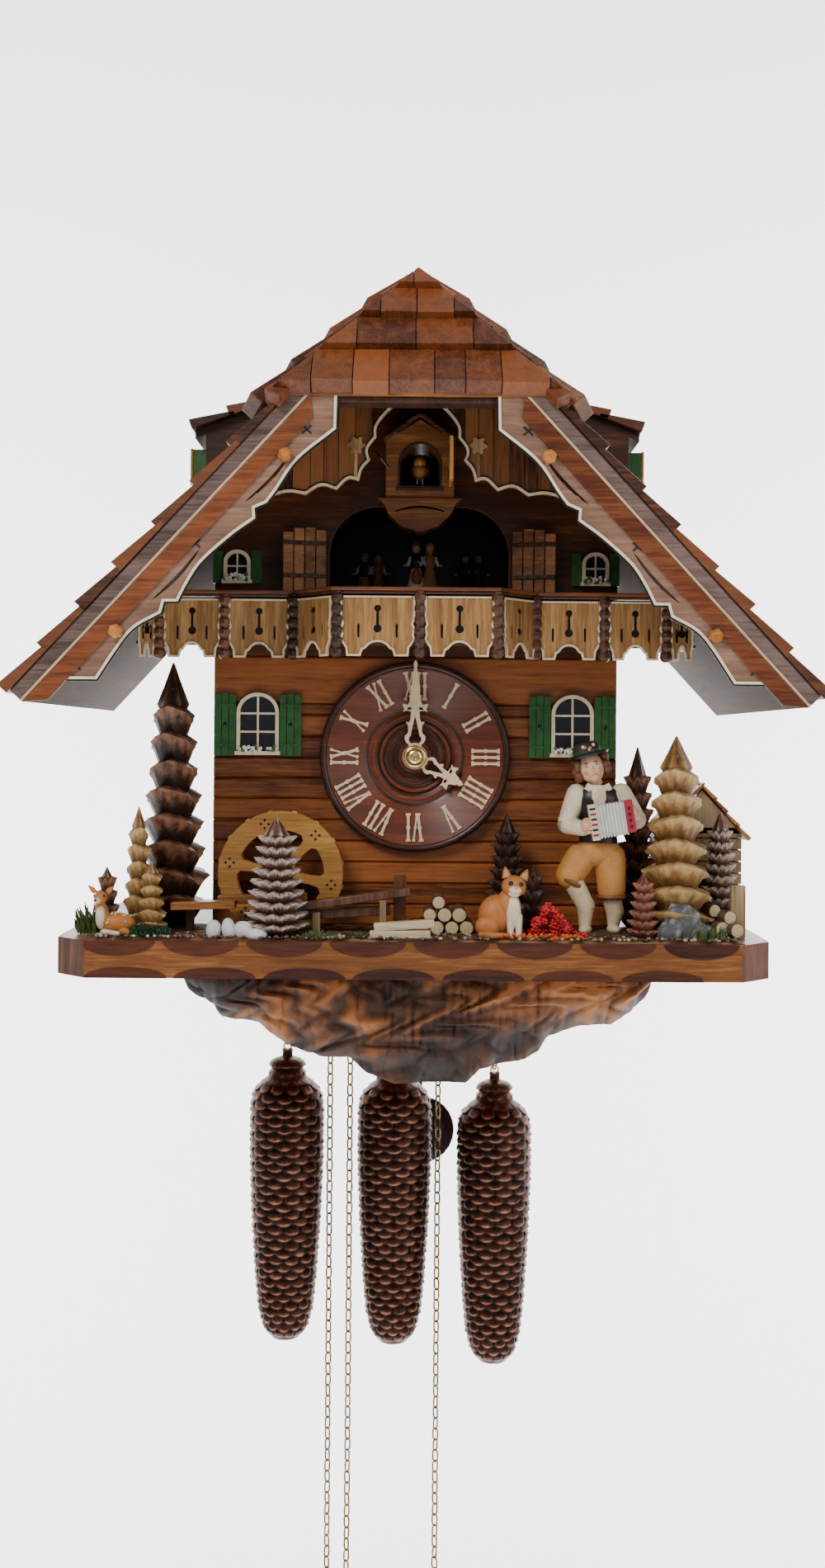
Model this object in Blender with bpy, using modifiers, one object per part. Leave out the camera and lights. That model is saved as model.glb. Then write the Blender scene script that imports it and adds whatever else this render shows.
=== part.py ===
"""A chalet cuckoo clock: case, roof, balcony, dial, figures, works, weights and chains.

Frame: +X to the right, +Y towards the wall, +Z up, metres.  The origin is on the wall
face of the back board, straight behind the centre of the dial.
"""
import math

import bmesh
import bpy
from mathutils import Matrix, Vector

MM = 0.001
CLEAR = 0.0003                 # gap left between neighbouring pieces

# Case
CASE_WIDTH = 0.218
CASE_DEPTH = 0.150             # wall to the face of the front board
BOARD = 0.008                  # front board and side walls
BACK_BOARD = 0.008
KEYHOLE_Z = 0.150
KEYHOLE_RADIUS = 0.005
KEYHOLE_SLOT = 0.005
KEYHOLE_HEIGHT = 0.012

# Platform and the carving under it
PLATFORM_TOP = -0.092
PLATFORM_THICK = 0.0185
PLATFORM_WIDTH = 0.360
PLATFORM_DEPTH = 0.225
PLATFORM_CORNER = 0.016
CARVING_THICK = 0.045
CARVING_SETBACK = 0.020        # from the platform's front edge
CARVING_OUTLINE = [            # x and depth below the platform, mm
    (-122, 0), (-117, -10), (-108, -16), (-100, -26), (-81, -28), (-73, -34),
    (-64, -41), (-47, -47), (-33, -47), (-24, -55), (-10, -60), (28, -60),
    (35, -52), (58, -47), (66, -43), (71, -35), (87, -29), (104, -28),
    (114, -22), (122, -11), (126, 0)]

# Roof
ROOF_WIDTH = 0.380             # across the lower edges of the boards
ROOF_DEPTH = 0.250
ROOF_PITCH = math.radians(47.3)
ROOF_APEX = 0.232              # underside of the boards at the ridge
ROOF_BOARD = 0.008
RIDGE_GAP = 0.00015
SHINGLE_COURSES = 7
SHINGLE_THIN = 0.003
SHINGLE_BUTT = 0.0065
HIP_EDGE_Z = 0.177             # underside of the hip at the roof's front
HIP_PITCH = math.radians(50.0)
HIP_COURSES = 4
HIP_THIN = 0.005
HIP_BUTT = 0.0095
HIP_OVERHANG = 0.003
HIP_PROUD = 0.002              # hip standing above the main shingles
BARGE_THICK = 0.006
BARGE_PROFILE = [              # along the slope from the eave, depth below it, mm
    (211.2, 8.9), (199.3, 19.4), (176.3, 16.1), (158.4, 18.6), (151.0, 19.4),
    (144.6, 16.6), (141.1, 20.4), (127.7, 17.7), (108.8, 16.0), (96.9, 17.8),
    (87.0, 20.5), (82.4, 15.6), (76.9, 18.4), (63.8, 14.2), (51.7, 14.6),
    (33.0, 17.7), (21.4, 5.2)]
DORMER_FACE = 0.113            # outer face of a dormer from the centre line
DORMER_TOP = 0.172
DORMER_PITCH = math.radians(20.0)
DORMER_BACK = 0.090
DORMER_LENGTH = 0.070
DORMER_ROOF = 0.004
DORMER_EAVE = 0.006

# Gable cladding with its scalloped arch
CLADDING_FACE = 0.200          # from the wall
CLADDING_THICK = 0.004
CLADDING_FOOT = 0.129
CLADDING_EDGE = [              # right half of the lower edge, mm
    (58, 133), (48, 130), (38, 139), (24.8, 145), (26.2, 158), (22.4, 168),
    (15, 180), (7, 182)]
CLADDING_CROWN = 0.186

# Stage and carousel
STAGE_X = 0.0015
STAGE_FLOOR = 0.088
STAGE_LOBE_RADIUS = 0.027
STAGE_LOBE_OFFSET = 0.0225
STAGE_LOBE_Z = 0.109
CAROUSEL_X = 0.003
CAROUSEL_RADIUS = 0.046
CAROUSEL_THICK = 0.003
CAROUSEL_TOP = 0.087
CAROUSEL_SHAFT = 0.003
DANCER_RADIUS = 0.034          # circle on which the couples stand
DANCER_HEIGHT = 0.032
STAGE_DOOR_WIDTH = 0.024
STAGE_DOOR_HEIGHT = 0.035
STAGE_DOOR_THICK = 0.003
STAGE_DOOR_ANGLE = math.radians(14.0)

# Cuckoo's house, door and bird
HOUSE_X = 0.0015
HOUSE_WIDTH = 0.036
HOUSE_FOOT = 0.138
HOUSE_WALL_TOP = 0.167
HOUSE_APEX = 0.178
HOUSE_DEPTH = 0.025
HOUSE_DOOR_WIDTH = 0.0206      # clear opening
HOUSE_SILL = 0.143
HOUSE_ARCH_Z = 0.1547
CUCKOO_DOOR_THICK = 0.002
CUCKOO_DOOR_LAP = 0.0006
BIRD_LENGTH = 0.016
BIRD_WIDTH = 0.010
BIRD_HEIGHT = 0.012
BIRD_ARM = 0.001

# Balcony
BALCONY_WIDTH = 0.290
BALCONY_DEPTH = 0.030          # from the front board
BAY_WIDTH = 0.082
BAY_DEPTH = 0.055
BAY_SPLAY = 0.021
RAILING_THICK = 0.005
RAILING_FOOT = 0.052
RAILING_TOP = 0.086
DECK_ABOVE_DIAL = 0.0086
DECK_THICK = 0.004

# Windows
WINDOW_GAP = 0.0101            # from the edge of the dial to a shutter
WINDOW_SILL = 0.001
WINDOW_WIDTH = 0.023
WINDOW_SPRING = 0.024
WINDOW_RISE = 0.010
SHUTTER_WIDTH = 0.012
SHUTTER_TOP = 0.030
WINDOW_THICK = 0.004

# Dial and hands
DIAL_RADIUS = 0.0514
DIAL_RIM = 0.0035
DIAL_RIM_HEIGHT = 0.0065
DIAL_THICK = 0.0045
DIAL_HUB_RADIUS = 0.009
PIPE_RADIUS = 0.0026
PIPE_BORE = 0.0019
ARBOR_RADIUS = 0.0015
HAND_CLEAR = 0.0012            # between dial, hour hand, minute hand and nut
HAND_THICK = 0.0012
MINUTE_LENGTH = 0.052
HOUR_LENGTH = 0.030
HOUR_ANGLE = math.radians(120.0)
NUT_RADIUS = 0.0062
NUT_THICK = 0.004

# Works
PLATE_THICK = 0.002
WORKS_SETBACK = 0.057          # case front to the front plate
REAR_PLATE = 0.044             # rear face from the wall
PLATE_LEFT = -0.088
PLATE_RIGHT = 0.064
PLATE_FOOT = -0.062
PLATE_TOP = 0.045
PILLAR_RADIUS = 0.003
PILLAR_INSET = 0.006
WHEEL_AXIS_Z = -0.030
CHAIN_BEHIND = 0.0035          # chains behind the middle of the plates
CHAIN_WIDTH = 0.0046
FLANGE_RIM = 0.0035            # flange standing past the chain's centre line
FLANGE_THICK = 0.002
WHEEL_ARBOR = 0.002
ESCAPE_RADIUS = 0.010
ESCAPE_Z = 0.016
ESCAPE_THICK = 0.0015
PENDULUM_X = 0.005
PENDULUM_GAP = 0.005           # bob behind the weights
PENDULUM_PIVOT_Z = 0.032
PENDULUM_BOB_Z = -0.228
PENDULUM_BOB_RADIUS = 0.0205
PENDULUM_BOB_THICK = 0.006
PENDULUM_ROD = 0.0012
PENDULUM_SWING = math.radians(5.0)
PIVOT_STUD = 0.002
MILL_X = -0.071
MILL_Z = -0.0625
MILL_RADIUS = 0.0334
MILL_THICK = 0.008
MILL_GAP = 0.010               # front board to the wheel's back
MILL_AXLE = 0.003
BELLOWS_X = 0.085
BELLOWS_WIDTH = 0.024
BELLOWS_REAR = 0.012
BELLOWS_DEPTH = 0.028
BELLOWS_TOP = 0.020
BELLOWS_LID = 0.004

# Weights: load side of each chain, then its free side
WEIGHT_HALF = 0.0220
WEIGHT_LENGTH = 0.171
MIDDLE_LOAD = -0.0103
LEFT_GAP = 0.0011              # left weight to its own free chain
MIDDLE_GAP = 0.0022            # middle weight to its own free chain
RIGHT_GAP = 0.0091             # right weight to its own free chain
INNER_GAP = 0.0012             # middle weight to the right free chain
RINGS_APART = 0.0026           # between the rings of the left and middle chains
WEIGHT_TOPS = {"left": -0.174, "middle": -0.176, "right": -0.187}
WEIGHT_PROFILE = [             # radius as a share of the half width, height as a share
    (0.00, 1.000), (0.14, 1.000), (0.14, 0.972), (0.34, 0.960), (0.42, 0.930),
    (0.40, 0.915), (0.72, 0.900), (0.93, 0.870), (1.00, 0.800), (1.00, 0.640),
    (0.94, 0.430), (0.84, 0.230), (0.75, 0.110), (0.60, 0.040), (0.34, 0.004),
    (0.00, 0.000)]

# Free chains: the tied hank below each one, and the ring on its end
HANK_TOP = -0.503
HANK_STRAIGHT = 0.060
HANK_FOLD = 0.0231             # radius of the outer turn
HANK_LAYERS = 2
CHAIN_POINTS = 40
MIDDLE_SET_FORWARD = 0.006     # the middle hank hangs in front of the left one
RING_RADIUS = 0.0085
RING_WIRE = 0.0011

# Scenery on the platform
TALL_TREE = {"beside": 0.020, "y": -0.165, "radius": 0.020, "top": 0.049}
RIGHT_TREE = {"beside": 0.028, "y": -0.192, "radius": 0.022, "top": 0.012}
TREE_TIERS = 5
TREE_TRUNK = 0.006
HUT_X = 0.154
HUT_WIDTH = 0.046
HUT_BACK = -0.112
HUT_DEPTH = 0.050
HUT_WALL = 0.052
HUT_RIDGE = 0.078
MUSICIAN_X = 0.0975
MUSICIAN_Y = -0.186
MUSICIAN_HEIGHT = 0.097
MUSICIAN_PROFILE = [           # radius and height as shares of the figure's height
    (0.00, 1.00), (0.10, 0.985), (0.15, 0.94), (0.11, 0.90), (0.11, 0.82),
    (0.07, 0.78), (0.19, 0.72), (0.22, 0.60), (0.18, 0.46), (0.20, 0.34),
    (0.16, 0.18), (0.14, 0.00), (0.00, 0.00)]
DANCER_PROFILE = [
    (0.00, 1.00), (0.10, 0.97), (0.13, 0.88), (0.08, 0.78), (0.20, 0.68),
    (0.18, 0.48), (0.28, 0.12), (0.26, 0.00), (0.00, 0.00)]

# Worked-out places
CASE_HALF = CASE_WIDTH / 2
FRONT_FACE = -CASE_DEPTH
FRONT_PLATE = CASE_DEPTH - WORKS_SETBACK
CHAIN_Y = CHAIN_BEHIND - (FRONT_PLATE + REAR_PLATE) / 2
SPROCKET_THICK = CHAIN_WIDTH + 2 * CLEAR
PENDULUM_Y = CHAIN_Y + WEIGHT_HALF + PENDULUM_GAP + PENDULUM_BOB_THICK / 2
DECK_BOTTOM = DIAL_RADIUS + DECK_ABOVE_DIAL
WINDOW_X = DIAL_RADIUS + WINDOW_GAP + WINDOW_WIDTH / 2 + SHUTTER_WIDTH
WEIGHT_REACH = WEIGHT_HALF + CHAIN_WIDTH / 2
MIDDLE_FREE = MIDDLE_LOAD - WEIGHT_REACH - MIDDLE_GAP
LEFT_FREE = MIDDLE_FREE - 2 * (HANK_LAYERS - 1) * CHAIN_WIDTH - RINGS_APART
RIGHT_FREE = MIDDLE_LOAD + WEIGHT_REACH + INNER_GAP
WEIGHTS = {
    "left": {"load": LEFT_FREE - WEIGHT_REACH - LEFT_GAP, "free": LEFT_FREE},
    "middle": {"load": MIDDLE_LOAD, "free": MIDDLE_FREE},
    "right": {"load": RIGHT_FREE + WEIGHT_REACH + RIGHT_GAP, "free": RIGHT_FREE}}
ROOF_HALF = ROOF_WIDTH / 2
SLOPE_GAP = CLEAR / math.cos(ROOF_PITCH)
SHINGLE_LIFT = ROOF_BOARD + CLEAR
CAROUSEL_Y = -FRONT_PLATE + PLATE_THICK / 2
HANK_HALF = HANK_FOLD + CHAIN_WIDTH / 2
HANK_ARC_TOP = HANK_TOP - HANK_HALF
HANK_ARC_FOOT = HANK_ARC_TOP - HANK_STRAIGHT

COLOURS = {
    "dark_wood": ((0.060, 0.022, 0.010), 0.45, 0.0),
    "brown_wood": ((0.200, 0.075, 0.025), 0.45, 0.0),
    "orange_wood": ((0.380, 0.150, 0.040), 0.45, 0.0),
    "light_wood": ((0.560, 0.330, 0.130), 0.50, 0.0),
    "pink_wood": ((0.420, 0.270, 0.190), 0.50, 0.0),
    "cream": ((0.760, 0.660, 0.460), 0.50, 0.0),
    "green_paint": ((0.025, 0.090, 0.020), 0.50, 0.0),
    "figure_paint": ((0.500, 0.360, 0.240), 0.60, 0.0),
    "brass": ((0.700, 0.510, 0.200), 0.30, 1.0),
    "aged_brass": ((0.420, 0.330, 0.160), 0.40, 1.0),
    "copper": ((0.220, 0.090, 0.055), 0.45, 0.8)}


def clear_scene():
    for old in list(bpy.data.objects):
        bpy.data.objects.remove(old, do_unlink=True)


def new_collection(name):
    collection = bpy.data.collections.new(name)
    bpy.context.scene.collection.children.link(collection)
    return collection


def finish(obj, colour):
    """Give an object a material of its own."""
    rgb, roughness, metallic = COLOURS[colour]
    material = bpy.data.materials.new(obj.name + "_finish")
    material.use_nodes = True
    shader = material.node_tree.nodes["Principled BSDF"]
    shader.inputs["Base Color"].default_value = (*rgb, 1.0)
    shader.inputs["Roughness"].default_value = roughness
    shader.inputs["Metallic"].default_value = metallic
    obj.data.materials.append(material)
    return obj


def add(name, data, colour):
    """Put a mesh or curve into the scene as a part, or as a tool when it has no colour."""
    obj = bpy.data.objects.new(name, data)
    if colour is None:
        TOOLS.objects.link(obj)
        obj.hide_render = True
        obj.display_type = "WIRE"
        return obj
    CLOCK.objects.link(obj)
    return finish(obj, colour)


def mesh_from(name, build):
    """Make a mesh with a function that fills a bmesh."""
    shape = bmesh.new()
    build(shape)
    mesh = bpy.data.meshes.new(name)
    shape.to_mesh(mesh)
    shape.free()
    return mesh


def box(name, low, high, colour=None):
    size = Vector(high) - Vector(low)
    middle = (Vector(high) + Vector(low)) / 2

    def build(shape):
        bmesh.ops.create_cube(shape, size=1.0)
        bmesh.ops.scale(shape, vec=size, verts=shape.verts)
        bmesh.ops.translate(shape, vec=middle, verts=shape.verts)
    return add(name, mesh_from(name, build), colour)


def rod(name, start, end, radius, colour=None, sides=16):
    """A round bar between two points."""
    start, end = Vector(start), Vector(end)
    turn = (end - start).to_track_quat("Z", "Y").to_matrix().to_4x4()

    def build(shape):
        bmesh.ops.create_cone(
            shape, cap_ends=True, segments=sides, radius1=radius, radius2=radius,
            depth=(end - start).length,
            matrix=Matrix.Translation((start + end) / 2) @ turn)
    return add(name, mesh_from(name, build), colour)


def ball(name, centre, size, colour=None, sides=12):
    """An egg with the given overall sizes."""
    def build(shape):
        bmesh.ops.create_uvsphere(shape, u_segments=sides, v_segments=sides // 2 + 2, radius=0.5)
        bmesh.ops.scale(shape, vec=Vector(size), verts=shape.verts)
        bmesh.ops.translate(shape, vec=Vector(centre), verts=shape.verts)
    return add(name, mesh_from(name, build), colour)


def as_mesh(obj):
    """Turn a curve object into a welded mesh object in the same place."""
    bpy.context.view_layer.update()
    depsgraph = bpy.context.evaluated_depsgraph_get()
    mesh = bpy.data.meshes.new_from_object(obj.evaluated_get(depsgraph))
    shape = bmesh.new()
    shape.from_mesh(mesh)
    bmesh.ops.remove_doubles(shape, verts=shape.verts, dist=1e-6)
    bmesh.ops.recalc_face_normals(shape, faces=shape.faces)
    shape.to_mesh(mesh)
    shape.free()
    name, home, matrix = obj.name, obj.users_collection[0], obj.matrix_world.copy()
    hidden, display = obj.hide_render, obj.display_type
    bpy.data.objects.remove(obj, do_unlink=True)
    piece = bpy.data.objects.new(name, mesh)
    home.objects.link(piece)
    piece.matrix_world = matrix
    piece.hide_render, piece.display_type = hidden, display
    return piece


def flat_curve(name, outlines, thickness):
    """A filled 2D curve: the first outline is the edge, the others are holes."""
    curve = bpy.data.curves.new(name, "CURVE")
    curve.dimensions = "2D"
    curve.fill_mode = "BOTH"
    curve.extrude = thickness / 2
    for outline in outlines:
        spline = curve.splines.new("POLY")
        spline.points.add(len(outline) - 1)
        for point, (across, up) in zip(spline.points, outline):
            point.co = (across, up, 0.0, 1.0)
        spline.use_cyclic_u = True
    return curve


def plate(name, outlines, front, back, colour=None):
    """An upright piece cut from a board: outlines in x and z, between two y values."""
    obj = add(name, flat_curve(name, outlines, abs(back - front)), colour)
    obj.rotation_euler = (math.pi / 2, 0.0, 0.0)
    obj.location = (0.0, (front + back) / 2, 0.0)
    return as_mesh(obj)


def slab(name, outlines, bottom, top, colour=None):
    """A level piece: outlines in x and y, between two heights."""
    obj = add(name, flat_curve(name, outlines, top - bottom), colour)
    obj.location = (0.0, 0.0, (bottom + top) / 2)
    return as_mesh(obj)


def side_plate(name, outline, left, right, colour=None):
    """A piece whose outline is in y and z, between two x values."""
    obj = add(name, flat_curve(name, [outline], right - left), colour)
    obj.rotation_euler = (math.pi / 2, 0.0, math.pi / 2)
    obj.location = ((left + right) / 2, 0.0, 0.0)
    return as_mesh(obj)


def turned(name, profile, place, colour=None, sides=16, rotation=(0.0, 0.0, 0.0)):
    """A turned piece: (radius, height) from the top down its outer side, as a Screw."""
    mesh = bpy.data.meshes.new(name)
    points = [(radius, 0.0, height) for radius, height in profile]
    mesh.from_pydata(points, [(i, i + 1) for i in range(len(points) - 1)], [])
    obj = add(name, mesh, colour)
    obj.location = place
    obj.rotation_euler = rotation
    screw = obj.modifiers.new("Turn", "SCREW")
    screw.steps = screw.render_steps = sides
    screw.use_merge_vertices = True
    screw.merge_threshold = 0.00001
    return obj


def shape_with(obj, tool, operation="DIFFERENCE"):
    """Cut, join or trim an object with a tool."""
    modifier = obj.modifiers.new(tool.name, "BOOLEAN")
    modifier.operation = operation
    modifier.solver = "EXACT"
    modifier.object = tool
    return obj


def arc(centre, radius, start, end, steps):
    """Points on an arc, angles in degrees."""
    points = []
    for step in range(steps + 1):
        angle = math.radians(start + (end - start) * step / steps)
        points.append((centre[0] + radius * math.cos(angle), centre[1] + radius * math.sin(angle)))
    return points


def circle(centre, radius, sides=16):
    return arc(centre, radius, 0.0, 360.0, sides)[:-1]


def in_mm(points):
    return [(a * MM, b * MM) for a, b in points]


def mirrored(points):
    return [(-a, b) for a, b in points]


def under_roof(x):
    """Height of the roof boards' underside at x."""
    return ROOF_APEX - abs(x) * math.tan(ROOF_PITCH)


def on_slope(along, lift):
    """Point in x and z on the right-hand slope: distance up from the eave, height off it."""
    x = ROOF_HALF - along * math.cos(ROOF_PITCH) + lift * math.sin(ROOF_PITCH)
    z = under_roof(ROOF_HALF) + along * math.sin(ROOF_PITCH) + lift * math.cos(ROOF_PITCH)
    return x, z


def to_ridge(lift):
    """Distance up the slope to the ridge for a given height off the underside."""
    return (ROOF_HALF + lift * math.sin(ROOF_PITCH) - RIDGE_GAP) / math.cos(ROOF_PITCH)


def on_hip(along, lift):
    """Point in y and z on the hip: distance up from its front edge, height off it."""
    y = -ROOF_DEPTH + along * math.cos(HIP_PITCH) - lift * math.sin(HIP_PITCH)
    z = HIP_EDGE_Z + along * math.sin(HIP_PITCH) + lift * math.cos(HIP_PITCH)
    return y, z


def stepped(courses, length, thin, butt, base):
    """Top edge of lapped courses as (along, lift), from the ridge down to the eave."""
    pitch = length / courses
    points = []
    for course in reversed(range(courses)):
        points.append(((course + 1) * pitch, base + thin))
        points.append((course * pitch, base + butt))
    return points


def case_outline():
    """Outline of the front and back boards, up to the roof."""
    foot = PLATFORM_TOP + CLEAR
    shoulder = under_roof(CASE_HALF) - SLOPE_GAP
    return [(-CASE_HALF, foot), (CASE_HALF, foot), (CASE_HALF, shoulder),
            (0.0, ROOF_APEX - SLOPE_GAP), (-CASE_HALF, shoulder)]


def cuckoo_opening(grow=0.0):
    """Arched doorway in the house and in the front board behind it."""
    half = HOUSE_DOOR_WIDTH / 2 + grow
    head = arc((HOUSE_X, HOUSE_ARCH_Z), half, 0.0, 180.0, 10)
    return [(HOUSE_X - half, HOUSE_SILL - grow), (HOUSE_X + half, HOUSE_SILL - grow)] + head


def stage_opening():
    """Two round-headed lobes with a pendant between them."""
    meet = math.degrees(math.acos(STAGE_LOBE_OFFSET / STAGE_LOBE_RADIUS))
    right = arc((STAGE_X + STAGE_LOBE_OFFSET, STAGE_LOBE_Z), STAGE_LOBE_RADIUS, 0.0, 180.0 - meet, 8)
    left = arc((STAGE_X - STAGE_LOBE_OFFSET, STAGE_LOBE_Z), STAGE_LOBE_RADIUS, meet, 180.0, 8)
    reach = STAGE_LOBE_OFFSET + STAGE_LOBE_RADIUS
    floor = [(STAGE_X - reach, STAGE_FLOOR), (STAGE_X + reach, STAGE_FLOOR)]
    return floor + right + left[1:]


def keyhole():
    """Round hole with a narrower slot above it, for the screw in the wall."""
    half = KEYHOLE_SLOT / 2
    tilt = math.degrees(math.asin(half / KEYHOLE_RADIUS))
    lower = arc((0.0, KEYHOLE_Z), KEYHOLE_RADIUS, 90.0 + tilt, 450.0 - tilt, 12)
    upper = arc((0.0, KEYHOLE_Z + KEYHOLE_HEIGHT), half, 0.0, 180.0, 6)
    return lower + upper


def make_case():
    outline = case_outline()
    plate("back_board", [outline, keyhole()], 0.0, -BACK_BOARD, "dark_wood")
    hand_hole = circle((0.0, 0.0), PIPE_RADIUS + 3 * CLEAR)
    plate("front_board", [outline, stage_opening(), cuckoo_opening(), hand_hole],
          FRONT_FACE, FRONT_FACE + BOARD, "brown_wood")
    for side, sign in (("left", -1), ("right", 1)):
        inner, outer = sign * (CASE_HALF - BOARD), sign * CASE_HALF
        box("wall_" + side,
            (min(inner, outer), FRONT_FACE + BOARD + CLEAR, PLATFORM_TOP + CLEAR),
            (max(inner, outer), -BACK_BOARD - CLEAR, under_roof(CASE_HALF) - SLOPE_GAP),
            "brown_wood")


def chain_slot(name, span):
    """Slot in the platform for both sides of one chain."""
    margin = CHAIN_WIDTH / 2 + 6 * CLEAR
    sides = (span["load"], span["free"])
    return box("slot_" + name,
               (min(sides) - margin, CHAIN_Y - 2 * margin, PLATFORM_TOP - 2 * PLATFORM_THICK),
               (max(sides) + margin, CHAIN_Y + 2 * margin, PLATFORM_TOP + PLATFORM_THICK))


def make_platform():
    half, corner = PLATFORM_WIDTH / 2, PLATFORM_CORNER
    outline = [(-half, 0.0), (-half, corner - PLATFORM_DEPTH), (corner - half, -PLATFORM_DEPTH),
               (half - corner, -PLATFORM_DEPTH), (half, corner - PLATFORM_DEPTH), (half, 0.0)]
    platform = slab("base_platform", [outline], PLATFORM_TOP - PLATFORM_THICK, PLATFORM_TOP,
                    "orange_wood")
    for name, span in WEIGHTS.items():
        shape_with(platform, chain_slot(name, span))
    drop = PENDULUM_PIVOT_Z - PLATFORM_TOP + PLATFORM_THICK
    swing = drop * math.tan(PENDULUM_SWING) + 4 * PENDULUM_ROD
    shape_with(platform, box(
        "slot_pendulum",
        (PENDULUM_X - swing, PENDULUM_Y - 4 * PENDULUM_ROD, PLATFORM_TOP - 2 * PLATFORM_THICK),
        (PENDULUM_X + swing, PENDULUM_Y + 4 * PENDULUM_ROD, PLATFORM_TOP + PLATFORM_THICK)))
    reach = MILL_RADIUS + 4 * CLEAR
    back = FRONT_FACE - MILL_GAP + 4 * CLEAR
    shape_with(platform, turned(
        "slot_mill_wheel", [(0.0, 0.0), (reach, 0.0), (reach, -MILL_THICK - 8 * CLEAR),
                            (0.0, -MILL_THICK - 8 * CLEAR)],
        (MILL_X, back, MILL_Z), sides=32, rotation=(-math.pi / 2, 0.0, 0.0)))


def make_carving():
    top = PLATFORM_TOP - PLATFORM_THICK - CLEAR
    outline = [(x, z + top) for x, z in in_mm(CARVING_OUTLINE)]
    front = CARVING_SETBACK - PLATFORM_DEPTH
    plate("base_carving", [outline], front, front + CARVING_THICK, "brown_wood")


def hip_cutter(name):
    """Everything in front of the hip's underside."""
    reach = 3 * ROOF_DEPTH
    low, high = on_hip(-reach, -CLEAR), on_hip(reach, -CLEAR)
    outline = [low, high, (high[0] - reach, high[1] + reach), (low[0] - reach, low[1] + reach)]
    return side_plate(name, outline, -ROOF_WIDTH, ROOF_WIDTH)


def make_roof():
    board = [on_slope(0.0, 0.0), on_slope(to_ridge(0.0), 0.0),
             on_slope(to_ridge(ROOF_BOARD), ROOF_BOARD), on_slope(0.0, ROOF_BOARD)]
    lift = SHINGLE_LIFT
    ridge = to_ridge(lift + SHINGLE_THIN)
    top = stepped(SHINGLE_COURSES, ridge, SHINGLE_THIN, SHINGLE_BUTT, lift)
    shingles = [(0.0, lift), (to_ridge(lift), lift)] + top
    shingles = [on_slope(along, height) for along, height in shingles]
    trim = hip_cutter("in_front_of_hip")
    for side, flip in (("left", mirrored), ("right", list)):
        boards = plate("roof_board_" + side, [flip(board)], -ROOF_DEPTH, 0.0, "dark_wood")
        shape_with(boards, trim)
        lapped = plate("shingles_" + side, [flip(shingles)], -ROOF_DEPTH, 0.0, "dark_wood")
        shape_with(lapped, trim)


def make_hip():
    """Shingled half hip that closes the front of the ridge."""
    crown = ROOF_APEX + (SHINGLE_LIFT + SHINGLE_BUTT) / math.cos(ROOF_PITCH) + HIP_PROUD
    length = (crown - HIP_EDGE_Z) / math.sin(HIP_PITCH) + HIP_BUTT
    top = stepped(HIP_COURSES, length, HIP_THIN, HIP_BUTT, 0.0)
    outline = [(-HIP_OVERHANG, 0.0), (length, 0.0)] + top + [(-HIP_OVERHANG, HIP_BUTT)]
    hip = side_plate("hip_roof", [on_hip(along, lift) for along, lift in outline],
                     -ROOF_HALF, ROOF_HALF, "dark_wood")
    foot = crown - 2 * (crown - HIP_EDGE_Z)
    half = (crown - foot) / math.tan(ROOF_PITCH)
    prism = plate("main_roof_prism", [[(-half, foot), (half, foot), (0.0, crown)]],
                  -2 * ROOF_DEPTH, 0.0)
    shape_with(hip, prism, "INTERSECT")


def make_bargeboards():
    inner = [on_slope(along, -depth) for along, depth in in_mm(BARGE_PROFILE)]
    top_z = inner[0][1]
    eave_x, eave_z = on_slope(0.0, -CLEAR)
    top_along = (top_z - eave_z) / math.sin(ROOF_PITCH)
    outline = [(eave_x, eave_z), on_slope(top_along, -CLEAR)] + inner
    for side, flip in (("left", mirrored), ("right", list)):
        plate("bargeboard_" + side, [flip(outline)],
              -ROOF_DEPTH, BARGE_THICK - ROOF_DEPTH, "pink_wood")


def make_dormers():
    """Small shed-roofed dormers, one on each slope."""
    lift = SHINGLE_LIFT + SHINGLE_BUTT + CLEAR
    offset = lift / math.cos(ROOF_PITCH)

    def on_shingles(x):
        return x, under_roof(x) + offset
    rise = math.tan(DORMER_PITCH)
    eave = DORMER_FACE + DORMER_EAVE
    roof_thick = DORMER_ROOF / math.cos(DORMER_PITCH)
    start = DORMER_TOP + roof_thick - DORMER_EAVE * rise
    meet = (ROOF_APEX + offset - start - eave * rise) / (math.tan(ROOF_PITCH) - rise)
    outline = [on_shingles(DORMER_FACE), (DORMER_FACE, DORMER_TOP),
               (eave, start - roof_thick), (eave, start), on_shingles(meet)]
    for side, flip in (("left", mirrored), ("right", list)):
        plate("dormer_" + side, [flip(outline)],
              -DORMER_BACK - DORMER_LENGTH, -DORMER_BACK, "dark_wood")


def make_cladding():
    gap = SLOPE_GAP
    reach = (ROOF_APEX - gap - CLADDING_FOOT) / math.tan(ROOF_PITCH)
    edge = in_mm(CLADDING_EDGE)
    right = [(reach, CLADDING_FOOT), (0.070, CLADDING_FOOT)] + edge
    left = [(-x, z) for x, z in reversed(right)]
    outline = [(0.0, ROOF_APEX - gap)] + right + [(0.0, CLADDING_CROWN)] + left
    plate("gable_cladding", [outline], -CLADDING_FACE, CLADDING_THICK - CLADDING_FACE,
          "brown_wood")


def balcony_path(inset):
    """Right half of the balcony's plan, from the front board round to the centre bay."""
    half, bay = BALCONY_WIDTH / 2 - inset, BAY_WIDTH / 2
    slant = inset * math.tan(math.atan2(BAY_DEPTH - BALCONY_DEPTH, BAY_SPLAY) / 2)
    side = FRONT_FACE - BALCONY_DEPTH + inset
    front = FRONT_FACE - BAY_DEPTH + inset
    return [(half, FRONT_FACE - CLEAR), (half, side), (bay + BAY_SPLAY - slant, side),
            (bay - slant, front)]


def both_sides(path):
    return path + [(-x, y) for x, y in reversed(path)]


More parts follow.
